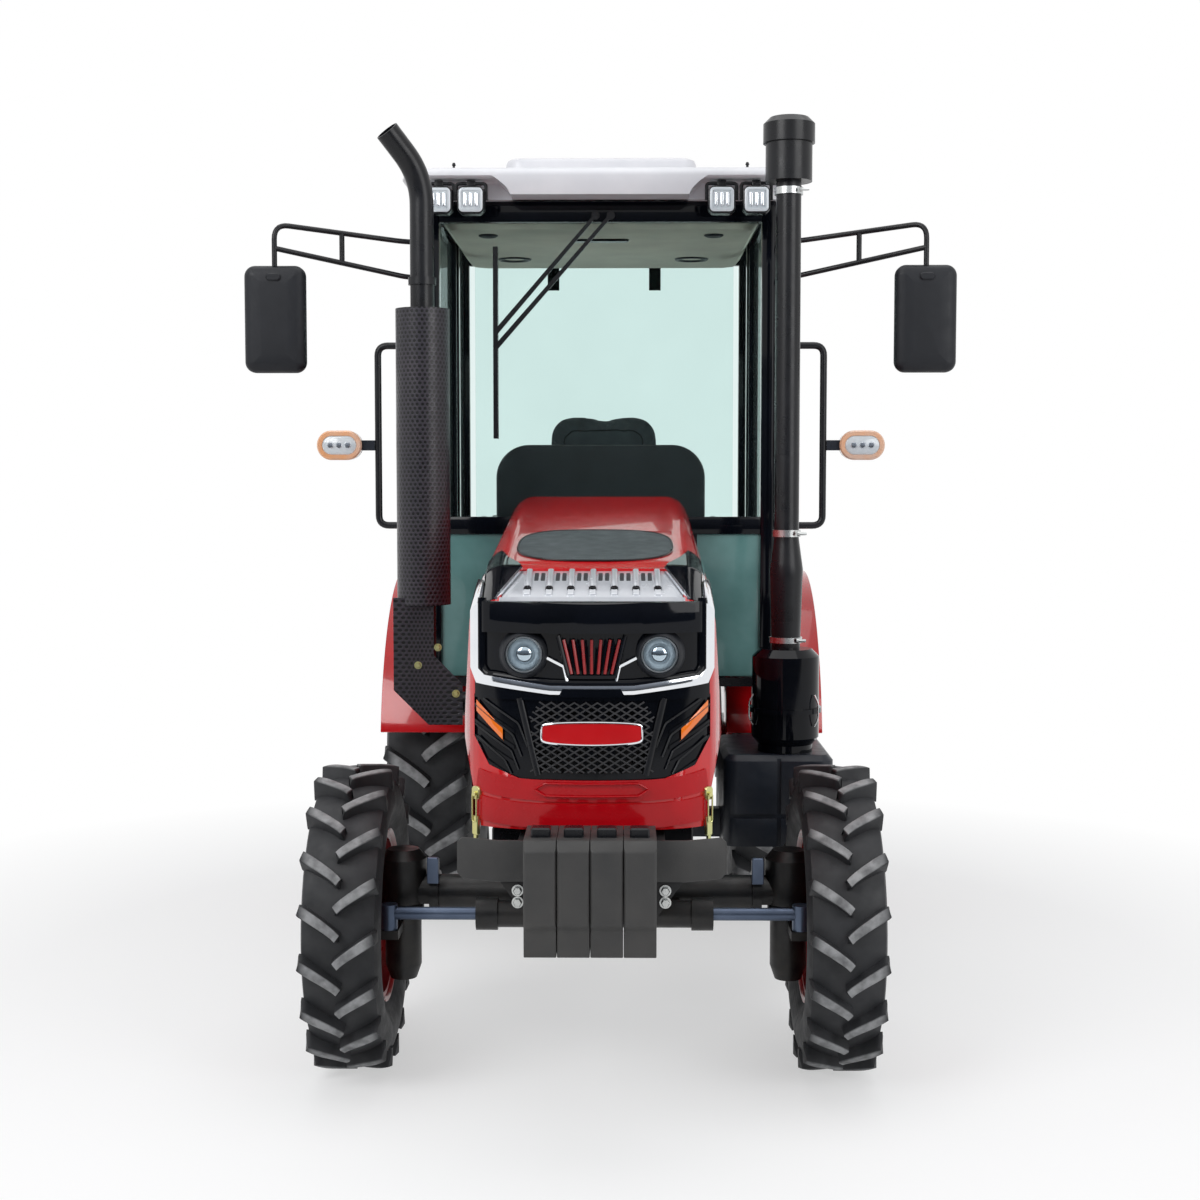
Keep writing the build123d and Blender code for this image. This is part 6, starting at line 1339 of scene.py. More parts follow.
        def oval(a: Array, b: Array) -> Array:
            """Mesh sheet."""
            along = -np.cos(a * np.pi)
            half = wide * np.maximum(1 - np.abs(along) ** 3, 0) ** (1 / 3)
            return self.hood_top(half * (2 * b - 1), middle + reach * along, 0.0065)

        add_piece("vent_panel", surface(panel, 30, 30, 0.006, UP), RED, "hood")
        add_piece("vent_mesh", surface(oval, 41, 25, 0.004, UP), VENT_MESH, "hood")
        turn = np.linspace(0, 2 * np.pi, 120, endpoint=False)
        x = wide * np.sign(np.cos(turn)) * np.abs(np.cos(turn)) ** (2 / 3)
        v = middle + reach * np.sign(np.sin(turn)) * np.abs(np.sin(turn)) ** (2 / 3)
        rim = even_path(self.hood_top(x, v, 0.0055), 140, closed=True)
        add_piece("vent_rim", sweep(ring_profile(0.0032, 8), rim, UP, True), BLACK, "hood")

    def screen(self) -> None:
        """Dark radiator screen behind the lattice: the nose's arc set back by 40 mm."""

        def shape(a: Array, b: Array) -> Array:
            """Points of the screen."""
            x = (b - 0.5) * 0.5
            return np.stack([x, self.skin(x, -0.04), 0.92 + a * 0.4], axis=-1)

        add_piece("radiator_screen", surface(shape, 8, 24, 0.004, AHEAD), SCREEN, "hood")

    def lip(self) -> None:
        """Rolled lower lip and the step above it: rounded profiles carried across the nose."""
        x = np.linspace(-0.292, 0.292, 49)
        tall = np.array(
            (
                (-0.004, -0.031), (0.012, -0.029), (0.02, -0.012), (0.021, 0.008), (0.014, 0.024),
                (-0.004, 0.031),
            )
        )
        rise = (x / x[-1]) ** 4
        path = np.stack([x, self.skin(x, 0.0), 0.836 + 0.014 * rise], axis=1)
        add_piece("lower_lip", sweep(tall, path, UP), LIP_RED, "hood")
        step = np.array(
            (
                (-0.004, -0.026), (0.007, -0.024), (0.011, -0.014), (0.010, 0.016), (0.004, 0.026),
                (-0.004, 0.028),
            )
        )
        path = np.stack([x, self.skin(x, 0.0), 0.900 + 0.02 * rise], axis=1)
        add_piece("upper_lip", sweep(step, path, UP), LIP_RED, "hood")
        rim = [(0.144, 0.905), (0.118, 0.921), (-0.118, 0.921)]
        rim += [(-0.144, 0.905), (-0.118, 0.889), (0.118, 0.889)]
        rim = sweep(ring_profile(0.0022, 8), self.line(rim, 96, 0.0105, True), AHEAD, True)
        add_piece("lip_recess_rim", rim, LIP_RED, "hood")

    def tray_fittings(self) -> None:
        """Rounded ribs with dark toes down the tray, and a pair of dark slots in each gap between them."""
        high = corners_of("hood_tray")[1]
        slope = np.array((0, 0.295, 0.097))
        slope /= np.linalg.norm(slope)
        top = np.array((0.0, high[1], high[2] + 0.001))
        bar = [(0, -0.006), (0, 0.003), (0.002, 0.006), (0.005, 0.007)]
        toe = [(0, -0.006), (0, 0.004), (0.003, 0.007)]
        slot = [(0, -0.006), (0, 0.0), (0.0008, 0.001)]
        ribs = (np.arange(7) - 3) * self.rib_pitch
        gaps = (np.arange(6) - 2.5) * self.rib_pitch
        along = slope * self.rib_length
        bars = [
            plate((0.017, self.rib_length), 0.006, bar, top - along / 2 + (x, 0, 0), LEFT, slope)
            for x in ribs
        ]
        toes = [plate((0.020, 0.024), 0.009, toe, top - along + (x, 0, 0), LEFT, slope) for x in ribs]
        ends = [x + shift for x in gaps for shift in (-0.0085, 0.0085)]
        slots = [
            plate((0.011, 0.055), 0.003, slot, top - slope * 0.045 + (x, 0, -0.001), LEFT, slope)
            for x in ends
        ]
        add_piece("tray_ribs", Patch.joined(bars), SILVER, "hood")
        add_piece("tray_toes", Patch.joined(toes), GLOSS_BLACK, "hood")
        add_piece("tray_slots", Patch.joined(slots), PLASTIC, "hood")

    def black_band(self) -> None:
        """Black band under the trim, seal inside the trim, louvre ridges, and the grille's posts."""

        def shape(a: Array, b: Array) -> Array:
            """Points of the band, higher towards its ends."""
            x = (2 * b - 1) * 0.300
            top = 1.151 + 0.026 * np.clip((np.abs(x) - 0.105) / 0.19, 0, 1)
            z = 1.130 + (top - 1.130) * a
            return np.stack([x, self.skin(x, 0.0025), z], axis=-1)

        def notch(a: Array, b: Array) -> Array:
            """Plate over the middle of the trim, narrower at its top."""
            x = (2 * b - 1) * (0.084 - 0.011 * a)
            return np.stack([x, self.skin(x, 0.0125), 1.140 + 0.021 * a], axis=-1)

        band = Patch.joined([surface(shape, 6, 60, 0.004, AHEAD), surface(notch, 3, 24, 0.012, AHEAD)])
        inner = [(-0.279, 1.385), (-0.279, 1.208), (-0.268, 1.190), (-0.104, 1.171), (0.104, 1.171)]
        inner += [(0.268, 1.190), (0.279, 1.208), (0.279, 1.385)]
        seal = sweep(ring_profile(0.011, 8, 0.4), self.line(inner, 120, 0.001), AHEAD)
        ridges = [
            [(0.277, 1.128), (0.186, 1.070), (0.162, 1.010)],
            [(0.300, 1.112), (0.200, 1.040), (0.178, 0.985)],
            [(0.298, 1.060), (0.205, 1.000), (0.186, 0.952)],
            [(0.292, 1.030), (0.222, 0.976), (0.204, 0.940)],
        ]
        raised = [sweep(ring_profile(0.0026, 8), self.line(ridge, 24, 0.0), AHEAD) for ridge in ridges]
        post = self.line([(0.182, 1.134), (0.136, 0.940)], 12, 0.001)
        raised.append(sweep(ring_profile(0.008, 10, 0.45), post, AHEAD))
        lean = np.linspace(-1, 1, 7)
        ends = [((0.070 * share, 1.284), (0.050 * share, 1.198)) for share in lean]
        paths = [self.line(pair, 8, 0.0) for pair in ends]
        bars = Patch.joined([sweep(ring_profile(0.0042, 8, 1.3), path, AHEAD) for path in paths])
        add_piece("middle_grille_bars", bars, RIM_RED, "hood")
        add_piece("nose_band", Patch.joined([band, seal]), GLOSS_BLACK, "hood")
        add_piece("cheek_ridges", Patch.joined(raised).both(), BLACK, "hood")

    def lattice(self) -> None:
        """Diamond lattice over the lower grille: two families of bars, z = +-k (x - c) on the nose's arc."""
        half, low, high = 0.158, 0.948, 1.126
        lean = 0.62
        pitch = 0.029
        run = (high - low) / lean
        starts = np.arange(-half - run, half, pitch)
        share = np.linspace(0, 1, 15)
        bars = []
        for start in starts:
            x = start + share * run
            z = low + share * (high - low)
            kept = np.abs(x) <= half + 1e-9
            if kept.sum() > 2:
                for flip in (1, -1):
                    path = self.on_skin(np.stack([flip * x, z], 1)[kept], 0.0)
                    bars.append(sweep(ring_profile(0.0023, 6, 0.8), path, AHEAD))
        # The bars take the grey finish whose lightness is a painted sheen.
        add_piece("grille_lattice", Patch.joined(bars), LATTICE_PAINTED_SHEEN, "hood")

    def latches(self) -> None:
        """Toggle latches at the lip's corners: a cast hook, a wire loop and a lever plate, all plated."""
        x = 0.298
        y = float(self.skin(np.array(x), 0.012))
        out = np.array((0.62, -0.78, 0))
        across = np.array((0.78, 0.62, 0))
        lever = plate((0.02, 0.05), 0.006, [(0, -0.004), (0, 0.003), (0.002, 0.005)], (x, y, 0.800), across)
        tail = plate((0.011, 0.03), 0.004, [(0, -0.003), (0, 0.002), (0.001, 0.004)], (x, y, 0.770), across)
        base = plate((0.026, 0.034), 0.008, [(0, -0.01), (0, 0.0), (0.002, 0.003)], (x, y, 0.884), across)
        top = np.array((x, y, 0.880)) + out * 0.006
        side, drop = across * 0.007, np.array((0, 0, 0.07))
        loop = [top + side, top + side - drop, top - side - drop, top - side]
        wire = sweep(ring_profile(0.0022, 8), rounded_path(loop, 0.006, 6), out)
        pin = lathe([(0, -0.012), (0.006, -0.012), (0.006, 0.009), (0, 0.009)], (x, y, 0.882), out, 20)
        whole = Patch.joined([lever, tail, base, wire, pin])
        add_piece("hood_latches", whole.both(), BRASS, "hood")

    def build(self) -> None:
        """Make every piece of the nose."""
        self.lamps()
        self.bright_strips()
        self.pockets()
        self.top_mesh()
        self.screen()
        self.lip()
        self.tray_fittings()
        self.black_band()
        self.lattice()
        self.latches()


@dataclass
class CabTop:
    """Roof and its fittings: lamp faces, studs, headliner with what it holds, and the mirrors' glass."""

    liner_z: float = 2.55
    crown: float = 0.40
    hatch_half: float = 0.335
    lamp_places: tuple[float, ...] = (-0.540, -0.432, 0.408, 0.524)
    speaker: tuple[float, float] = (0.345, 1.93)
    vent: tuple[float, float] = (0.398, 1.27)

    def arch(self, patch: Patch, base: float) -> Patch:
        """Crown a roof panel: heights above base shrink by a share crown |x / half|^2.4.

        Args:
            patch: the panel.
            base: height that stays.

        Returns:
            The crowned panel.
        """
        half = float(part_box("cab_roof")[1][0])
        points = patch.points.copy()
        share = 1 - self.crown * np.abs(points[:, 0] / half) ** 2.4
        points[:, 2] = base + (points[:, 2] - base) * share
        return Patch(points, patch.faces)

    def roof(self) -> None:
        """Crowned roof shell with a rolled edge, body set back for the lamps, brow between them, hatch."""
        low, high = corners_of("cab_roof")
        wide, deep = high[0] - low[0], high[1] - low[1]
        middle = np.array((0.0, (low[1] + high[1]) / 2, low[2]))
        flat = (LEFT, BACK)
        roll = [
            (0.012, 0.056), (0.0, 0.064), (0.0, 0.074), (0.006, 0.088), (0.02, 0.1), (0.05, 0.109),
            (0.1, 0.114),
        ]
        roll += [(share, 0.114 + 0.004 * share / 0.66) for share in np.linspace(0.16, 0.66, 12)]
        shell = self.arch(plate((wide, deep), 0.11, roll, middle, *flat, 12), low[2] + 0.05)
        body = plate(
            (wide - 0.02, deep - 0.13), 0.09, [(0, 0), (0, 0.062)], middle + (0, 0.065, 0), *flat, 10,
        )

        def brow(a: Array, b: Array) -> Array:
            """Brow's face, flared at both ends of its foot into the wings above the lamps."""
            x = (2 * b - 1) * (0.30 + 0.07 * a**1.6)
            return np.stack([x, low[1] + 0.014 * (1 - a) ** 2, low[2] + 0.066 * a], axis=-1)

        front = surface(brow, 10, 40, 0.15, AHEAD)
        lid = [(0.0, 0.08), (0.0, 0.155), (0.006, 0.168), (0.018, 0.174), (0.04, 0.177)]
        hatch = plate((2 * self.hatch_half, 0.70), 0.06, lid, (0, low[1] + 0.65, low[2]), *flat, 10)
        whole = Patch.joined([shell, body, front, hatch])
        add_piece("roof_shell", whole, ROOF, "chassis", ["cab_roof"])

    def lamp_faces(self) -> None:
        """Square lamp faces: a pale ring and three upright bars on each lamp, and a bracket over it."""
        low = corners_of("work_lamps")[0]
        y = low[1]
        faces = []
        bars = []
        brackets = []
        z = float(low[2]) + 0.046
        for x in self.lamp_places:
            ring = [(0.0, -0.002), (0.0, 0.003), (0.003, 0.005), (0.009, 0.005), (0.011, 0.001)]
            faces.append(plate((0.08, 0.08), 0.014, ring, (x, y, z)))
            for shift in (-0.019, 0.0, 0.019):
                bar = [(0, -0.001), (0, 0.005), (0.002, 0.008), (0.005, 0.009)]
                bars.append(plate((0.013, 0.048), 0.005, bar, (x + shift, y, z)))
            ends = ((-0.05, 0.0), (-0.05, 0.056), (0.05, 0.056), (0.05, 0.0))
            arch = [(x + aside, y + 0.02, z + rise) for aside, rise in ends]
            brackets.append(sweep(ring_profile(0.006, 8, 0.5), rounded_path(arch, 0.012, 6), BACK))
        add_piece("work_lamp_rings", Patch.joined(faces), LED, "chassis")
        add_piece("work_lamp_bars", Patch.joined(bars), CHROME, "chassis")
        add_piece("work_lamp_brackets", Patch.joined(brackets), BLACK, "chassis")

    def marker_faces(self) -> None:
        """Oval side lamps: an amber and clear rim, a white face and three lenses."""
        low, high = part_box("marker_lamps")
        centre = np.array((high[0] - 0.077, low[1], (low[2] + high[2]) / 2))
        rim = plate(
            (0.154, 0.1), 0.05,
            [(-0.001, -0.02), (-0.001, 0.002), (0.004, 0.008), (0.017, 0.009), (0.019, 0.002)], centre,
            turns=12,
        )
        face = plate((0.118, 0.064), 0.032, [(0, -0.001), (0, 0.006), (0.004, 0.009)], centre, turns=12)
        dome = [(0, -0.002), (0.012, -0.002), (0.012, 0.009), (0.009, 0.013), (0, 0.014)]
        eyes = [lathe(dome, centre + (shift, 0, 0), AHEAD, 24) for shift in (-0.03, 0.0, 0.03)]
        add_piece("marker_rims", rim.both(), MARKER_RIM, "chassis")
        add_piece("marker_faces", face.both(), LED, "chassis")
        add_piece("marker_lenses", Patch.joined(eyes).both(), CHROME, "chassis")

    def headliner(self) -> None:
        """Moulded ceiling: a rounded panel under the roof, with speakers, vents and a slot let into it."""
        front = behind(1.15)
        back = behind(2.28)
        middle = (0.0, (front + back) / 2, self.liner_z)
        steps = [(0.0, -0.085), (0.0, -0.03), (0.02, -0.006), (0.06, 0.0)]
        ceiling = plate((1.1, back - front), 0.08, steps, middle, LEFT, AHEAD, 10)
        add_piece("headliner", ceiling, LINER, "chassis")
        cone = [
            (0, 0.002), (0.02, 0.004), (0.05, -0.002), (0.054, -0.006), (0.062, -0.006), (0.066, 0.0),
            (0.066, 0.012), (0, 0.012),
        ]
        speakers = lathe(cone, (self.speaker[0], behind(self.speaker[1]), self.liner_z), UP, 40).both()
        add_piece("speakers", speakers, PLASTIC, "chassis")
        nozzle = [
            (0, -0.002), (0.018, -0.006), (0.026, -0.008), (0.034, -0.004), (0.036, 0.012), (0, 0.012),
        ]
        vents = lathe(nozzle, (self.vent[0], behind(self.vent[1]), self.liner_z), UP, 32).both()
        add_piece("air_vents", vents, PLASTIC, "chassis")
        slot = plate(
            (0.2, 0.05), 0.02, [(0, -0.01), (0, 0.004), (0.004, 0.008)],
            (0, behind(1.39), self.liner_z), LEFT, AHEAD,
        )
        add_piece("ceiling_slot", slot, BLACK, "chassis")

    def mirrors(self) -> None:
        """Mirror glass on the heads' rear faces: a rounded plate with a bevelled edge."""
        low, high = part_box("mirror_heads")
        centre = (high[0] - 0.1025, high[1], (low[2] + high[2]) / 2)
        glass = plate((0.18, 0.33), 0.03, [(0, -0.004), (0, 0.001), (0.003, 0.003)], centre, (-1, 0, 0))
        add_piece("mirror_glass", glass.both(), MIRROR, "chassis")

    def studs(self) -> None:
        """Two small aerial studs on the roof's front corners."""
        top = float(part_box("cab_roof")[0][2]) + 0.095
        turned = [
            (0, -0.004), (0.016, -0.004), (0.014, 0.008), (0.006, 0.012), (0.004, 0.03), (0.007, 0.034),
            (0.004, 0.042), (0, 0.043),
        ]
        add_piece(
            "roof_studs", lathe(turned, (0.505, behind(1.13), top), UP, 20).both(), BLACK, "chassis",
        )

    def build(self) -> None:
        """Make the roof and its fittings."""
        self.roof()
        self.lamp_faces()
        self.marker_faces()
        self.headliner()
        self.mirrors()
        self.studs()


@dataclass
class Stacks:
    """Exhaust and intake: clamps, shield bolts and the cleaner's clips."""

    intake_x: float = 0.604
    intake_v: float = 0.660
    clamp_heights: Triple = (2.6, 1.515, 1.172)
    clip_turns: Triple = (200.0, 320.0, 80.0)
    clip_r: float = 0.113

    def build(self) -> None:
        """Make the clamps, bolts and clips."""
        band = [(0.0385, -0.011), (0.0455, -0.011), (0.0455, 0.011), (0.0385, 0.011)]
        at = (self.intake_x, behind(self.intake_v))
        rings = [lathe(band, (*at, z), UP) for z in self.clamp_heights[:2]]
        low = [(0.045, -0.009), (0.0525, -0.009), (0.0525, 0.009), (0.045, 0.009)]
        rings.append(lathe(low, (*at, self.clamp_heights[2]), UP))
        rings += [bolt((at[0] + 0.03, at[1] - 0.047, z), LEFT, 0.006, 0.03) for z in self.clamp_heights]
        add_piece("intake_clamps", Patch.joined(rings), ZINC, "chassis")
        face = EXHAUST[1] - 0.066
        bolts = [
            bolt((x, face, z), AHEAD, 0.009, 0.009)
            for x, z in ((-0.507, 1.157), (-0.570, 1.10), (-0.4505, 1.01))
        ]
        add_piece("shield_bolts", Patch.joined(bolts), BRASS, "chassis")
        clips = []
        for turn in self.clip_turns:
            a = math.radians(turn)
            out = np.array((math.cos(a), math.sin(a), 0))
            foot = np.array((*at, 0.0)) + out * self.clip_r
            bends = ((0.0, 0.90), (0.014, 0.925), (0.014, 0.975), (0.0, 1.0))
            wire = [foot + out * stand + (0, 0, height) for stand, height in bends]
            clips.append(sweep(ring_profile(0.003, 8), rounded_path(wire, 0.01, 6), np.cross(out, UP)))
        add_piece("cleaner_clips", Patch.joined(clips), ZINC, "chassis")


@dataclass
class Tubes:
    """Round tubes in place of the flat-sided ones, and the mirrors' moulded shells."""

    rail_r: float = 0.012
    rail_bend: float = 0.035
    arm_r: float = 0.009
    arm_bend: float = 0.05
    pipe_r: float = 0.038
    pipe_bend: float = 0.09

    def rails(self) -> None:
        """Grab rails: round tube along each rail's own route, bent at its corners."""
        low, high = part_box("cab_rails")
        y = (low[1] + high[1]) / 2
        x = high[0] - self.rail_r
        foot = 0.606
        top = high[2] - self.rail_r
        bottom = low[2] + self.rail_r
        route = rounded_path(
            [(foot, y, top), (x, y, top), (x, y, bottom), (foot, y, bottom)], self.rail_bend,
        )
        rail = sweep(ring_profile(self.rail_r, 16), route, BACK)
        add_piece("grab_rail_tubes", rail.both(), BLACK, "chassis", ["cab_rails"])

    def arms(self) -> None:
        """Mirror arms: an arched upper tube, a straight lower tube and the brace between them."""
        root = behind(1.115)
        tip = (1.088, behind(0.925))
        upper = rounded_path(
            [(0.606, root, 2.505), (0.665, root, 2.505), (*tip, 2.540), (*tip, 2.400)], self.arm_bend,
        )
        lower = rounded_path([(0.606, root, 2.385), (0.665, root, 2.385), (*tip, 2.460)], 0.03)
        middle = ((0.665 + tip[0]) / 2, (root + tip[1]) / 2)
        brace = np.array([(*middle, 2.4225), (*middle, 2.46), (*middle, 2.5225)])
        ring = ring_profile(self.arm_r, 12)
        tubes = [sweep(ring, upper, BACK), sweep(ring, lower, BACK), sweep(ring, brace, BACK)]
        add_piece(
            "mirror_arm_tubes", Patch.joined(tubes).both(), BLACK, "chassis",
            ["mirror_arms"],
        )

    def shells(self) -> None:
        """Mirror shells: rounded loops that draw in towards a crowned front, and the socket of the arm."""
        low, high = corners_of("mirror_heads")
        centre = (high[0] - 0.1025, (low[1] + high[1]) / 2, (low[2] + high[2]) / 2)
        steps = [
            (0.004, -0.025), (0.0, -0.02), (0.0, -0.002), (0.005, 0.011), (0.014, 0.019),
            (0.034, 0.0235), (0.06, 0.025),
        ]
        shell = plate((0.205, 0.356), 0.036, steps, centre, turns=10)
        grip = plate(
            (0.05, 0.026), 0.012, [(0, -0.006), (0, 0.004), (0.004, 0.008)],
            (centre[0], low[1] + 0.002, high[2] - 0.04),
        )
        add_piece(
            "mirror_shells", Patch.joined([shell, grip]).both(), PLASTIC, "chassis",
            ["mirror_heads"],
        )

    def pipe(self) -> None:
        """Exhaust: round pipe from the port up through the guard, bent outwards, with a hollow end."""
        high = corners_of("exhaust_pipe")[1]
        (x, y), port = EXHAUST, 0.97
        tail = np.array((-0.657, y - 0.06, 2.77))
        turn = np.array((x, y, 2.64))
        out = (tail - turn) / np.linalg.norm(tail - turn)
        corners = [(high[0], y, port), (x, y, port), turn, tail - out * 0.04]
        route = rounded_path(corners, self.pipe_bend, 14)
        cup = [
            (0, -0.045), (self.pipe_r, -0.045), (self.pipe_r, 0), (0.0345, 0.001), (0.0345, -0.04),
            (0, -0.04),
        ]
        band = [
            (self.pipe_r - 0.002, -0.012), (0.044, -0.012), (0.044, 0.012),
            (self.pipe_r - 0.002, 0.012),
        ]
        parts = [sweep(ring_profile(self.pipe_r, 28), route, BACK), lathe(cup, tail, out, 28)]
        parts.append(lathe(band, (x, y, 2.312), UP, 32))
        add_piece("exhaust_tube", Patch.joined(parts), BLACK, "chassis", ["exhaust_pipe"])

    def build(self) -> None:
        """Make all tubes and shells."""
        self.rails()
        self.arms()
        self.shells()
        self.pipe()


@dataclass
class CabInside:
    """Seat, steering wheel and controls."""

    dash_corner: float = 0.115
    wheel_v: float = 1.51
    wheel_z: float = 1.70
    wheel_r: float = 0.18
    wheel_tilt: float = 30.0
    pressure: float = 4.0
    frames: int = 20
    voxel: float = 0.006
    swell_limit: float = 0.022

    def panes(self) -> None:
        """Tinted panes low in the cab's front, on both sides of the hood."""
        steps = [(0, -0.003), (0, 0.002), (0.002, 0.003)]
        pane = plate((0.245, 0.50), 0.012, steps, (0.4475, behind(1.108), 1.255))
        add_piece("lower_panes", pane.both(), PANE, "chassis")

    def seat(self) -> None:
        """Seat and back cushions: padded forms swollen by pressure."""
        low, high = corners_of("seat_cushions")
        depth = 0.41
        split = low[1] + depth
        seat_top = low[2] + 0.11
        soft = [(0.03, -0.5), (0.008, -0.42), (0.0, -0.2), (0.0, 0.2), (0.008, 0.42), (0.03, 0.5)]
        middle = (0.0, low[1] + depth / 2, (low[2] + seat_top) / 2)
        steps = [(inset, share * 0.105) for inset, share in soft]
        lower = plate((high[0] - low[0] - 0.02, depth - 0.01), 0.06, steps, middle, LEFT, BACK, 8)
        back_y = (split + 0.005 + high[1]) / 2
        steps = [(inset, share * 0.108) for inset, share in soft]
        tall = high[2] - low[2] - 0.02
        upper = plate(
            (high[0] - low[0] - 0.02, tall), 0.09, steps, (0, back_y, (low[2] + high[2]) / 2), turns=8,
        )
        for name, patch in (("seat_cushion", lower), ("back_cushion", upper)):
            piece = add_piece(name, patch, SEAT, "chassis", ["seat_cushions"], 180.0)
            self.swell(piece)
            self.piping(piece)

    def swell(self, piece: bpy.types.Object) -> None:
        """Blow a cushion up from inside, keep the result up to the limit, and divide it once.

        Args:
            piece: the cushion.
        """
        rest_mesh = piece.data
        remesh = piece.modifiers.new("even_mesh", "REMESH")
        remesh.mode = "VOXEL"
        remesh.voxel_size = self.voxel
        scene = bpy.context.scene
        even = baked(piece)
        piece.modifiers.clear()
        piece.data = even
        start = np.empty(len(even.vertices) * 3)
        even.vertices.foreach_get("co", start)
        cloth = piece.modifiers.new("pressure", "CLOTH")
        cloth.settings.use_pressure = True
        cloth.settings.uniform_pressure_force = self.pressure
        cloth.settings.effector_weights.gravity = 0.0
        cloth.point_cache.frame_start = 1
        cloth.point_cache.frame_end = self.frames
        for step in range(1, self.frames + 1):
            scene.frame_set(step)
        swollen = baked(piece)
        end = np.empty(len(swollen.vertices) * 3)
        swollen.vertices.foreach_get("co", end)
        move = (end - start).reshape(-1, 3)
        reach = np.linalg.norm(move, axis=1, keepdims=True)
        move *= np.minimum(1.0, self.swell_limit / np.maximum(reach, 1e-9))
        piece.modifiers.clear()
        even.vertices.foreach_set("co", (start.reshape(-1, 3) + move).ravel())
        even.polygons.foreach_set("use_smooth", np.ones(len(even.polygons), bool))
        even.update()
        scene.frame_set(1)
        bpy.data.meshes.remove(rest_mesh)
        even.materials.clear()
        even.materials.append(SEAT.material())
        finer = piece.modifiers.new("finer", "SUBSURF")
        finer.levels = finer.render_levels = 1
        piece.data = baked(piece)
        piece.modifiers.clear()

    def piping(self, piece: bpy.types.Object) -> None:
        """Sewn piping round a cushion: an oval route laid on the nearest cloth, with a round cord along it.

        Args:
            piece: the cushion.
        """
        low, high = (np.asarray(corner, float) for corner in (piece.bound_box[0], piece.bound_box[6]))
        middle, half = (low + high) / 2, (high - low) / 2
        thin = int(np.argmin(half))
        first, second = (axis for axis in range(3) if axis != thin)
        turn = np.linspace(0, 2 * np.pi, 160, endpoint=False)
        route = np.tile(middle, (len(turn), 1))
        route[:, first] += 0.88 * half[first] * np.sign(np.cos(turn)) * np.abs(np.cos(turn)) ** 0.4
        route[:, second] += 0.88 * half[second] * np.sign(np.sin(turn)) * np.abs(np.sin(turn)) ** 0.4
        face = np.zeros(3)
        face[thin] = 1.0 if thin == 2 else -1.0
        route = even_path(route + face * 1.5 * half[thin], 160, closed=True)
        wire = bpy.data.meshes.new("piping_route")
        wire.from_pydata(route.tolist(), [], [])
        holder = put_in_scene("piping_route", wire)
        lay = holder.modifiers.new("lay", "SHRINKWRAP")
        lay.target = piece
        lay.wrap_method = "NEAREST_SURFACEPOINT"
        laid = holder.evaluated_get(bpy.context.evaluated_depsgraph_get()).to_mesh()
        points = np.empty(len(laid.vertices) * 3)
        laid.vertices.foreach_get("co", points)
        bpy.data.objects.remove(holder)
        bpy.data.meshes.remove(wire)
        cord = sweep(ring_profile(0.0035, 8), points.reshape(-1, 3), face, True)
        add_piece(f"{piece.name}_piping", cord, PIPING, "chassis")

    def steering(self) -> None:
        """Steering wheel: a round rim, three flat spokes, a hub and the column, tilted back."""
        tilt = math.radians(self.wheel_tilt)
        axis = np.array((0, math.sin(tilt), math.cos(tilt)))
        centre = np.array((0, behind(self.wheel_v), self.wheel_z))
        first, second, _ = basis(axis)
        turn = np.linspace(0, 2 * np.pi, 72, endpoint=False)
        circle = centre + self.wheel_r * (np.cos(turn)[:, None] * first + np.sin(turn)[:, None] * second)
        parts = [sweep(ring_profile(0.013, 12), circle, axis, True)]
        for angle in np.radians((90, 210, 330)):
            out = math.cos(angle) * first + math.sin(angle) * second
            path = even_path([centre + out * 0.02, centre + out * 0.176], 6)
            parts.append(sweep(ring_profile(0.012, 10, 0.4), path, axis))
        hub = [(0, -0.02), (0.034, -0.02), (0.04, 0.0), (0.034, 0.014), (0, 0.018)]
        column = [(0, -0.40), (0.018, -0.40), (0.022, -0.2), (0.03, -0.02), (0, -0.02)]
        parts += [lathe(hub, centre, axis, 32), lathe(column, centre, axis, 24)]
        add_piece(
            "steering_wheel_rim", Patch.joined(parts), PLASTIC, "chassis",
            ["steering_wheel"],
        )

    def cowl(self) -> None:
        """Dashboard: a rounded moulded cowl over a narrower foot, with three dials."""
        low, high = corners_of("dashboard")
        knee, foot_deep = 1.17, 0.09
        middle = np.array((0.0, (low[1] + high[1]) / 2, (knee + high[2]) / 2))
        edge = [(0.02, -0.08), (0.004, -0.074), (0.0, -0.064), (0.0, 0.064), (0.004, 0.074), (0.02, 0.08)]
        cowl = plate((high[0] - low[0], high[2] - knee), self.dash_corner, edge, middle, turns=14)
        place = (0.0, low[1] + foot_deep / 2, (low[2] + knee + 0.13) / 2)
        foot = plate((high[0] - low[0] - 0.01, knee + 0.13 - low[2]), 0.02, [(0, -0.04), (0, 0.04)], place)
        add_piece(
            "dash_cowl", Patch.joined([cowl, foot]), PLASTIC, "chassis", ["dashboard"],
        )
        ring = [(0.0, 0.0), (0.052, 0.0), (0.056, 0.006), (0.05, 0.012), (0.044, 0.006), (0, 0.004)]
        dials = [lathe(ring, (x, high[1], high[2] - 0.11), BACK, 32) for x in (-0.13, 0.0, 0.13)]
        add_piece("dash_dials", Patch.joined(dials), GLOSS_BLACK, "chassis")

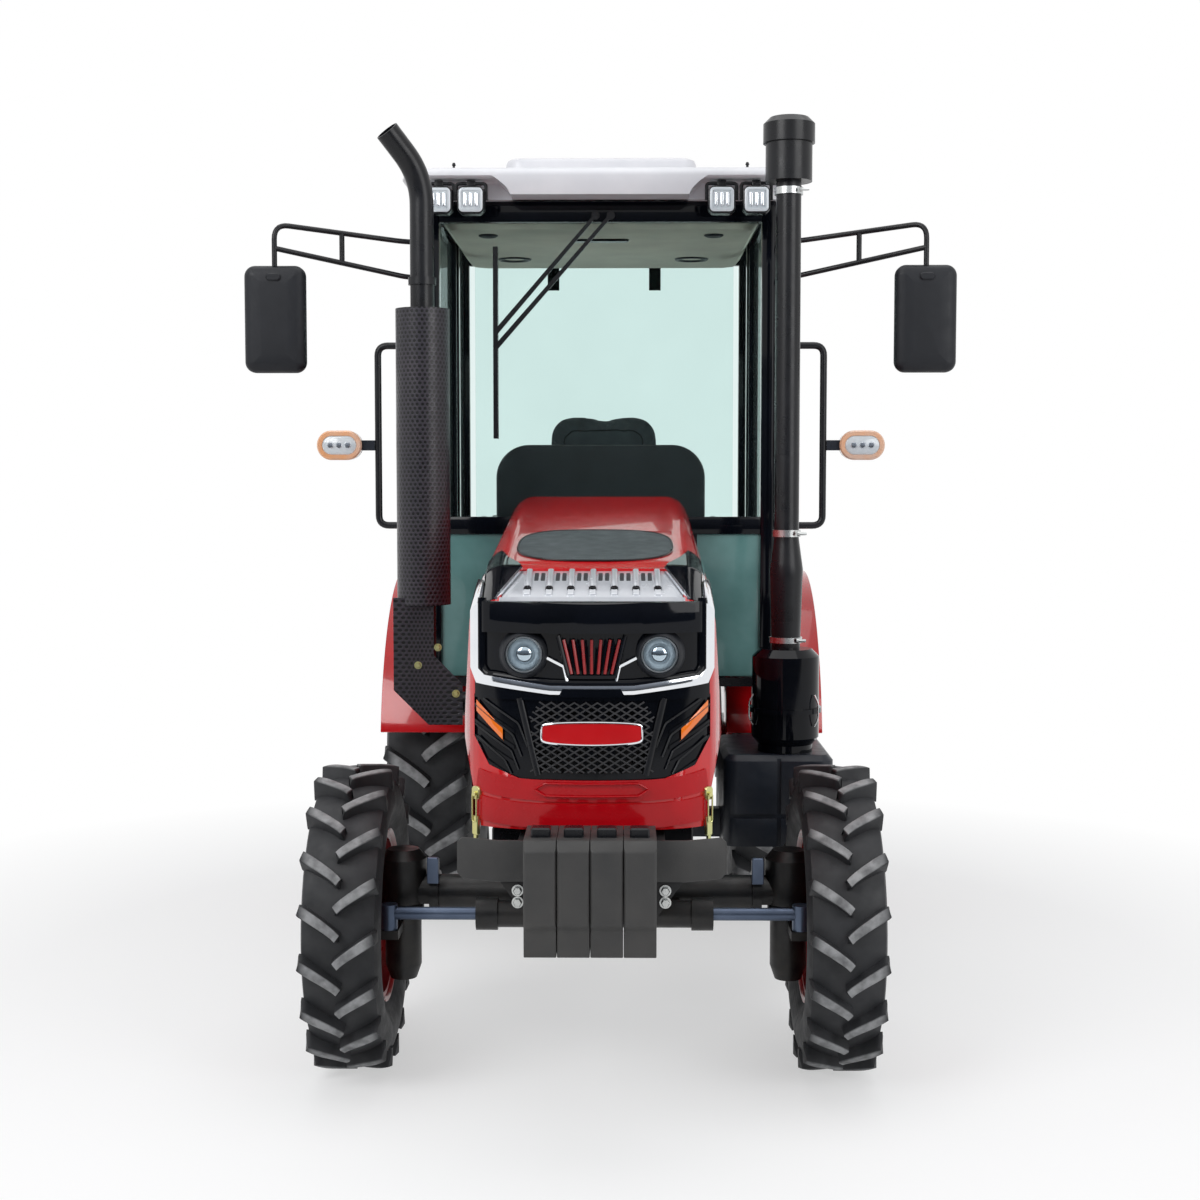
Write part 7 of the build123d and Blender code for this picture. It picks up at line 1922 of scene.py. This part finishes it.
    def consoles(self) -> None:
        """Side consoles beside the seat, with slanting levers and round knobs."""
        box = [(0.004, -0.19), (0.0, -0.16), (0.0, 0.13), (0.012, 0.165), (0.04, 0.18)]
        centre = np.array((0.42, behind(1.86), 1.19))
        body = plate((0.17, 0.46), 0.03, box, centre, LEFT, BACK)
        add_piece("side_consoles", body.both(), PLASTIC, "chassis")
        knob = [(0, -0.02), (0.012, -0.018), (0.02, -0.004), (0.02, 0.008), (0.012, 0.02), (0, 0.022)]
        stems = []
        knobs = []
        for x, v, lean in (
            (-0.45, 1.72, 0.05), (-0.40, 1.72, 0.02), (-0.42, 1.86, -0.03), (0.42, 1.74, 0.04),
        ):
            foot = np.array((x, behind(v), 1.36))
            tip = foot + (0, -lean, 0.17)
            stems.append(sweep(ring_profile(0.006, 8), even_path([foot, tip], 5), LEFT))
            knobs.append(lathe(knob, tip, tip - foot, 20))
        add_piece("lever_stems", Patch.joined(stems), ZINC, "chassis")
        add_piece("lever_knobs", Patch.joined(knobs), GLOSS_BLACK, "chassis")

    def build(self) -> None:
        """Make the seat, the steering wheel, the cowl and the consoles."""
        self.panes()
        self.seat()
        self.steering()
        self.cowl()
        self.consoles()


@dataclass
class FrontEnd:
    """Fasteners and covers round the front axle."""

    bolt_x: float = 0.185
    bolt_heights: tuple[float, float] = (0.627, 0.657)
    cover_x: float = 0.462
    cover_v: float = -0.066
    cover_z: float = 0.575
    weights: int = 4

    def build(self) -> None:
        """Make the frame bolts, the weights' carrier and the axle's flange covers."""
        face = float(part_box("front_frame")[0][1])
        bolts = [
            bolt((x, face, z), AHEAD, 0.011, 0.012)
            for x in (-self.bolt_x, self.bolt_x)
            for z in self.bolt_heights
        ]
        add_piece("frame_bolts", Patch.joined(bolts), ZINC, "chassis")
        filler = plate(
            (0.52, 0.10), 0.01, [(0, -0.01), (0, 0.006), (0.004, 0.01)], (0, behind(-0.50), 0.740),
        )
        low, high = corners_of("front_weights")
        step = (high[0] - low[0]) / self.weights
        pads = [(0, -0.02), (0, 0.016), (0.004, 0.02)]
        tops = [
            (low[0] + step * (place + 0.5), low[1] + 0.075, high[2] + 0.008)
            for place in range(self.weights)
        ]
        hooks = [plate((0.6 * step, 0.03), 0.006, pads, top) for top in tops]
        add_piece("weight_carrier", Patch.joined([filler, *hooks]), BLACK, "chassis")
        covers = plate(
            (0.034, 0.075), 0.005, [(0, -0.01), (0, 0.003), (0.002, 0.005)],
            (self.cover_x, behind(self.cover_v), self.cover_z),
        )
        add_piece("axle_flange_covers", covers.both(), STEEL, "chassis")


class Light(Enum):
    """The studio's soft lights: place, aim, size and power."""

    KEY = ((-4.5, -6.0, 5.5), (0, -0.5, 1.2), 4.0, 275.0)
    FILL = ((5.0, -5.5, 3.5), (0, -0.5, 1.2), 4.0, 165.0)
    TOP = ((0.0, -0.5, 7.0), (0, -0.2, 1.0), 6.0, 150.0)


@dataclass
class Studio:
    """Pale floor, soft light and the camera."""

    eye: Triple = (0.077, -6.035, 1.670)
    pitch: float = 3.745
    yaw: float = 0.734
    lens: float = 52.71
    shadow_reach: tuple[float, float] = (2.0, 3.6)

    def floor(self) -> None:
        """Large pale floor, a flat grid: it keeps the near shadow and looks white further off."""
        edge = np.linspace(-30, 30, 5)
        x, y = np.meshgrid(edge, edge, indexing="ij")
        points = np.stack([x, y, np.zeros_like(x)], axis=-1).reshape(-1, 3)
        mesh = bpy.data.meshes.new("studio_floor")
        mesh.from_pydata(points.tolist(), [], grid_faces(5, 5, False, False)[:, ::-1].tolist())
        floor = put_in_scene("studio_floor", mesh)
        shader = Shader("studio_floor")
        shader.put(shader.main.inputs["Base Color"], (0.9, 0.9, 0.9))
        shader.main.inputs["Roughness"].default_value = 0.9
        x, y, _ = shader.parts()
        far = shader.spread(shader.length(x, y), *self.shadow_reach, 0.5, 1.0)
        path = shader.nodes.new("ShaderNodeLightPath")
        sight = shader.sum("MAXIMUM", path.outputs["Is Camera Ray"], path.outputs["Is Glossy Ray"])
        sight = shader.sum("MAXIMUM", sight, path.outputs["Is Transmission Ray"])
        white = shader.nodes.new("ShaderNodeEmission")
        shader.layer(shader.sum("MULTIPLY", far, sight), shader.main.outputs[0], white.outputs[0])
        mesh.materials.append(shader.material)

    def world(self) -> None:
        """Even sky that looks white to the camera, to mirrors and through glass."""
        world = bpy.data.worlds.new("studio")
        bpy.context.scene.world = world
        world.use_nodes = True
        tree = world.node_tree
        sky = next(node for node in tree.nodes if node.type == "BACKGROUND")
        sky.inputs["Color"].default_value = (0.95, 0.97, 1.0, 1.0)
        sky.inputs["Strength"].default_value = 0.5
        seen = tree.nodes.new("ShaderNodeBackground")
        seen.inputs["Color"].default_value = (1, 1, 1, 1)
        seen.inputs["Strength"].default_value = 1.0
        path = tree.nodes.new("ShaderNodeLightPath")
        sight = path.outputs["Is Camera Ray"]
        for ray in ("Is Transmission Ray", "Is Glossy Ray"):
            either = tree.nodes.new("ShaderNodeMath")
            either.operation = "MAXIMUM"
            tree.links.new(sight, either.inputs[0])
            tree.links.new(path.outputs[ray], either.inputs[1])
            sight = either.outputs[0]
        mix = tree.nodes.new("ShaderNodeMixShader")
        output = next(node for node in tree.nodes if node.type == "OUTPUT_WORLD")
        tree.links.new(sight, mix.inputs[0])
        tree.links.new(sky.outputs[0], mix.inputs[1])
        tree.links.new(seen.outputs[0], mix.inputs[2])
        tree.links.new(mix.outputs[0], output.inputs["Surface"])

    def wall(self) -> None:
        """Dark studio wall behind the camera: a flat upright grid that gloss and chrome mirror."""
        x, z = np.meshgrid(np.linspace(-9, 9, 5), np.linspace(0.01, 3.6, 5), indexing="ij")
        points = np.stack([x, np.full_like(x, -7.2), z], axis=-1).reshape(-1, 3)
        mesh = bpy.data.meshes.new("studio_wall")
        mesh.from_pydata(points.tolist(), [], grid_faces(5, 5, False, False).tolist())
        wall = put_in_scene("studio_wall", mesh)
        shader = Shader("studio_wall")
        rise = shader.spread(shader.parts()[2], 0.0, 3.6, 0.0, 1.0)
        shader.put(
            shader.main.inputs["Base Color"],
            shader.blend(rise, (0.02, 0.022, 0.026), (0.3, 0.33, 0.38)),
        )
        shader.main.inputs["Roughness"].default_value = 0.9
        mesh.materials.append(shader.material)
        wall.visible_camera = False

    def lights(self) -> None:
        """Soft square lights, each aimed at the tractor."""
        for light in Light:
            place, aim, size, power = light.value
            lamp = bpy.data.lights.new(light.name.lower(), "AREA")
            lamp.shape = "SQUARE"
            lamp.size = size
            lamp.energy = power
            holder = put_in_scene(light.name.lower(), lamp)
            holder.location = place
            holder.rotation_euler = (Vector(aim) - Vector(place)).to_track_quat("-Z", "Y").to_euler()

    def camera(self) -> None:
        """Camera where the photograph was taken from."""
        data = bpy.data.cameras.new("camera")
        data.sensor_width = 36.0
        data.lens = self.lens
        camera = put_in_scene("camera", data)
        camera.location = self.eye
        camera.rotation_euler = (math.radians(90 - self.pitch), 0, math.radians(self.yaw))
        bpy.context.scene.camera = camera

    def build(self) -> None:
        """Set the studio up."""
        bpy.context.scene.view_settings.view_transform = "Standard"
        self.camera()
        self.floor()
        self.wall()
        self.world()
        self.lights()


def wheels() -> list[Wheel]:
    """The four wheels, front and rear, left and right."""
    front = dict(
        lugs=18, lug_height=0.032, run=0.075, lug_width=0.026, seat=0.229, rim_half=0.070,
        disc=-0.022, dish=0.030, hub=0.070, hub_out=0.040,
    )
    rear = dict(
        lugs=20, lug_height=0.042, run=0.115, lug_width=0.038, seat=0.356, rim_half=0.125,
        disc=-0.030, dish=-0.044, hub=0.110, hub_out=-0.050,
    )
    return [
        Wheel(f"{end}_{word}", f"{end}_{word}_wheel", **sizes)
        for end, sizes in (("front", front), ("rear", rear))
        for word in ("left", "right")
    ]


def write_sizes() -> None:
    """Update the view layer."""
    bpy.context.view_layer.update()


def main() -> None:
    """Build the studio and every sub-assembly in order."""
    logging.basicConfig(level=logging.INFO, format="%(message)s")
    Studio().build()
    PaintShop().dress_all()
    for wheel in wheels():
        wheel.build()
    Nose().build()
    CabTop().build()
    Stacks().build()
    Tubes().build()
    CabInside().build()
    FrontEnd().build()
    write_sizes()


if __name__ == "__main__":
    main()
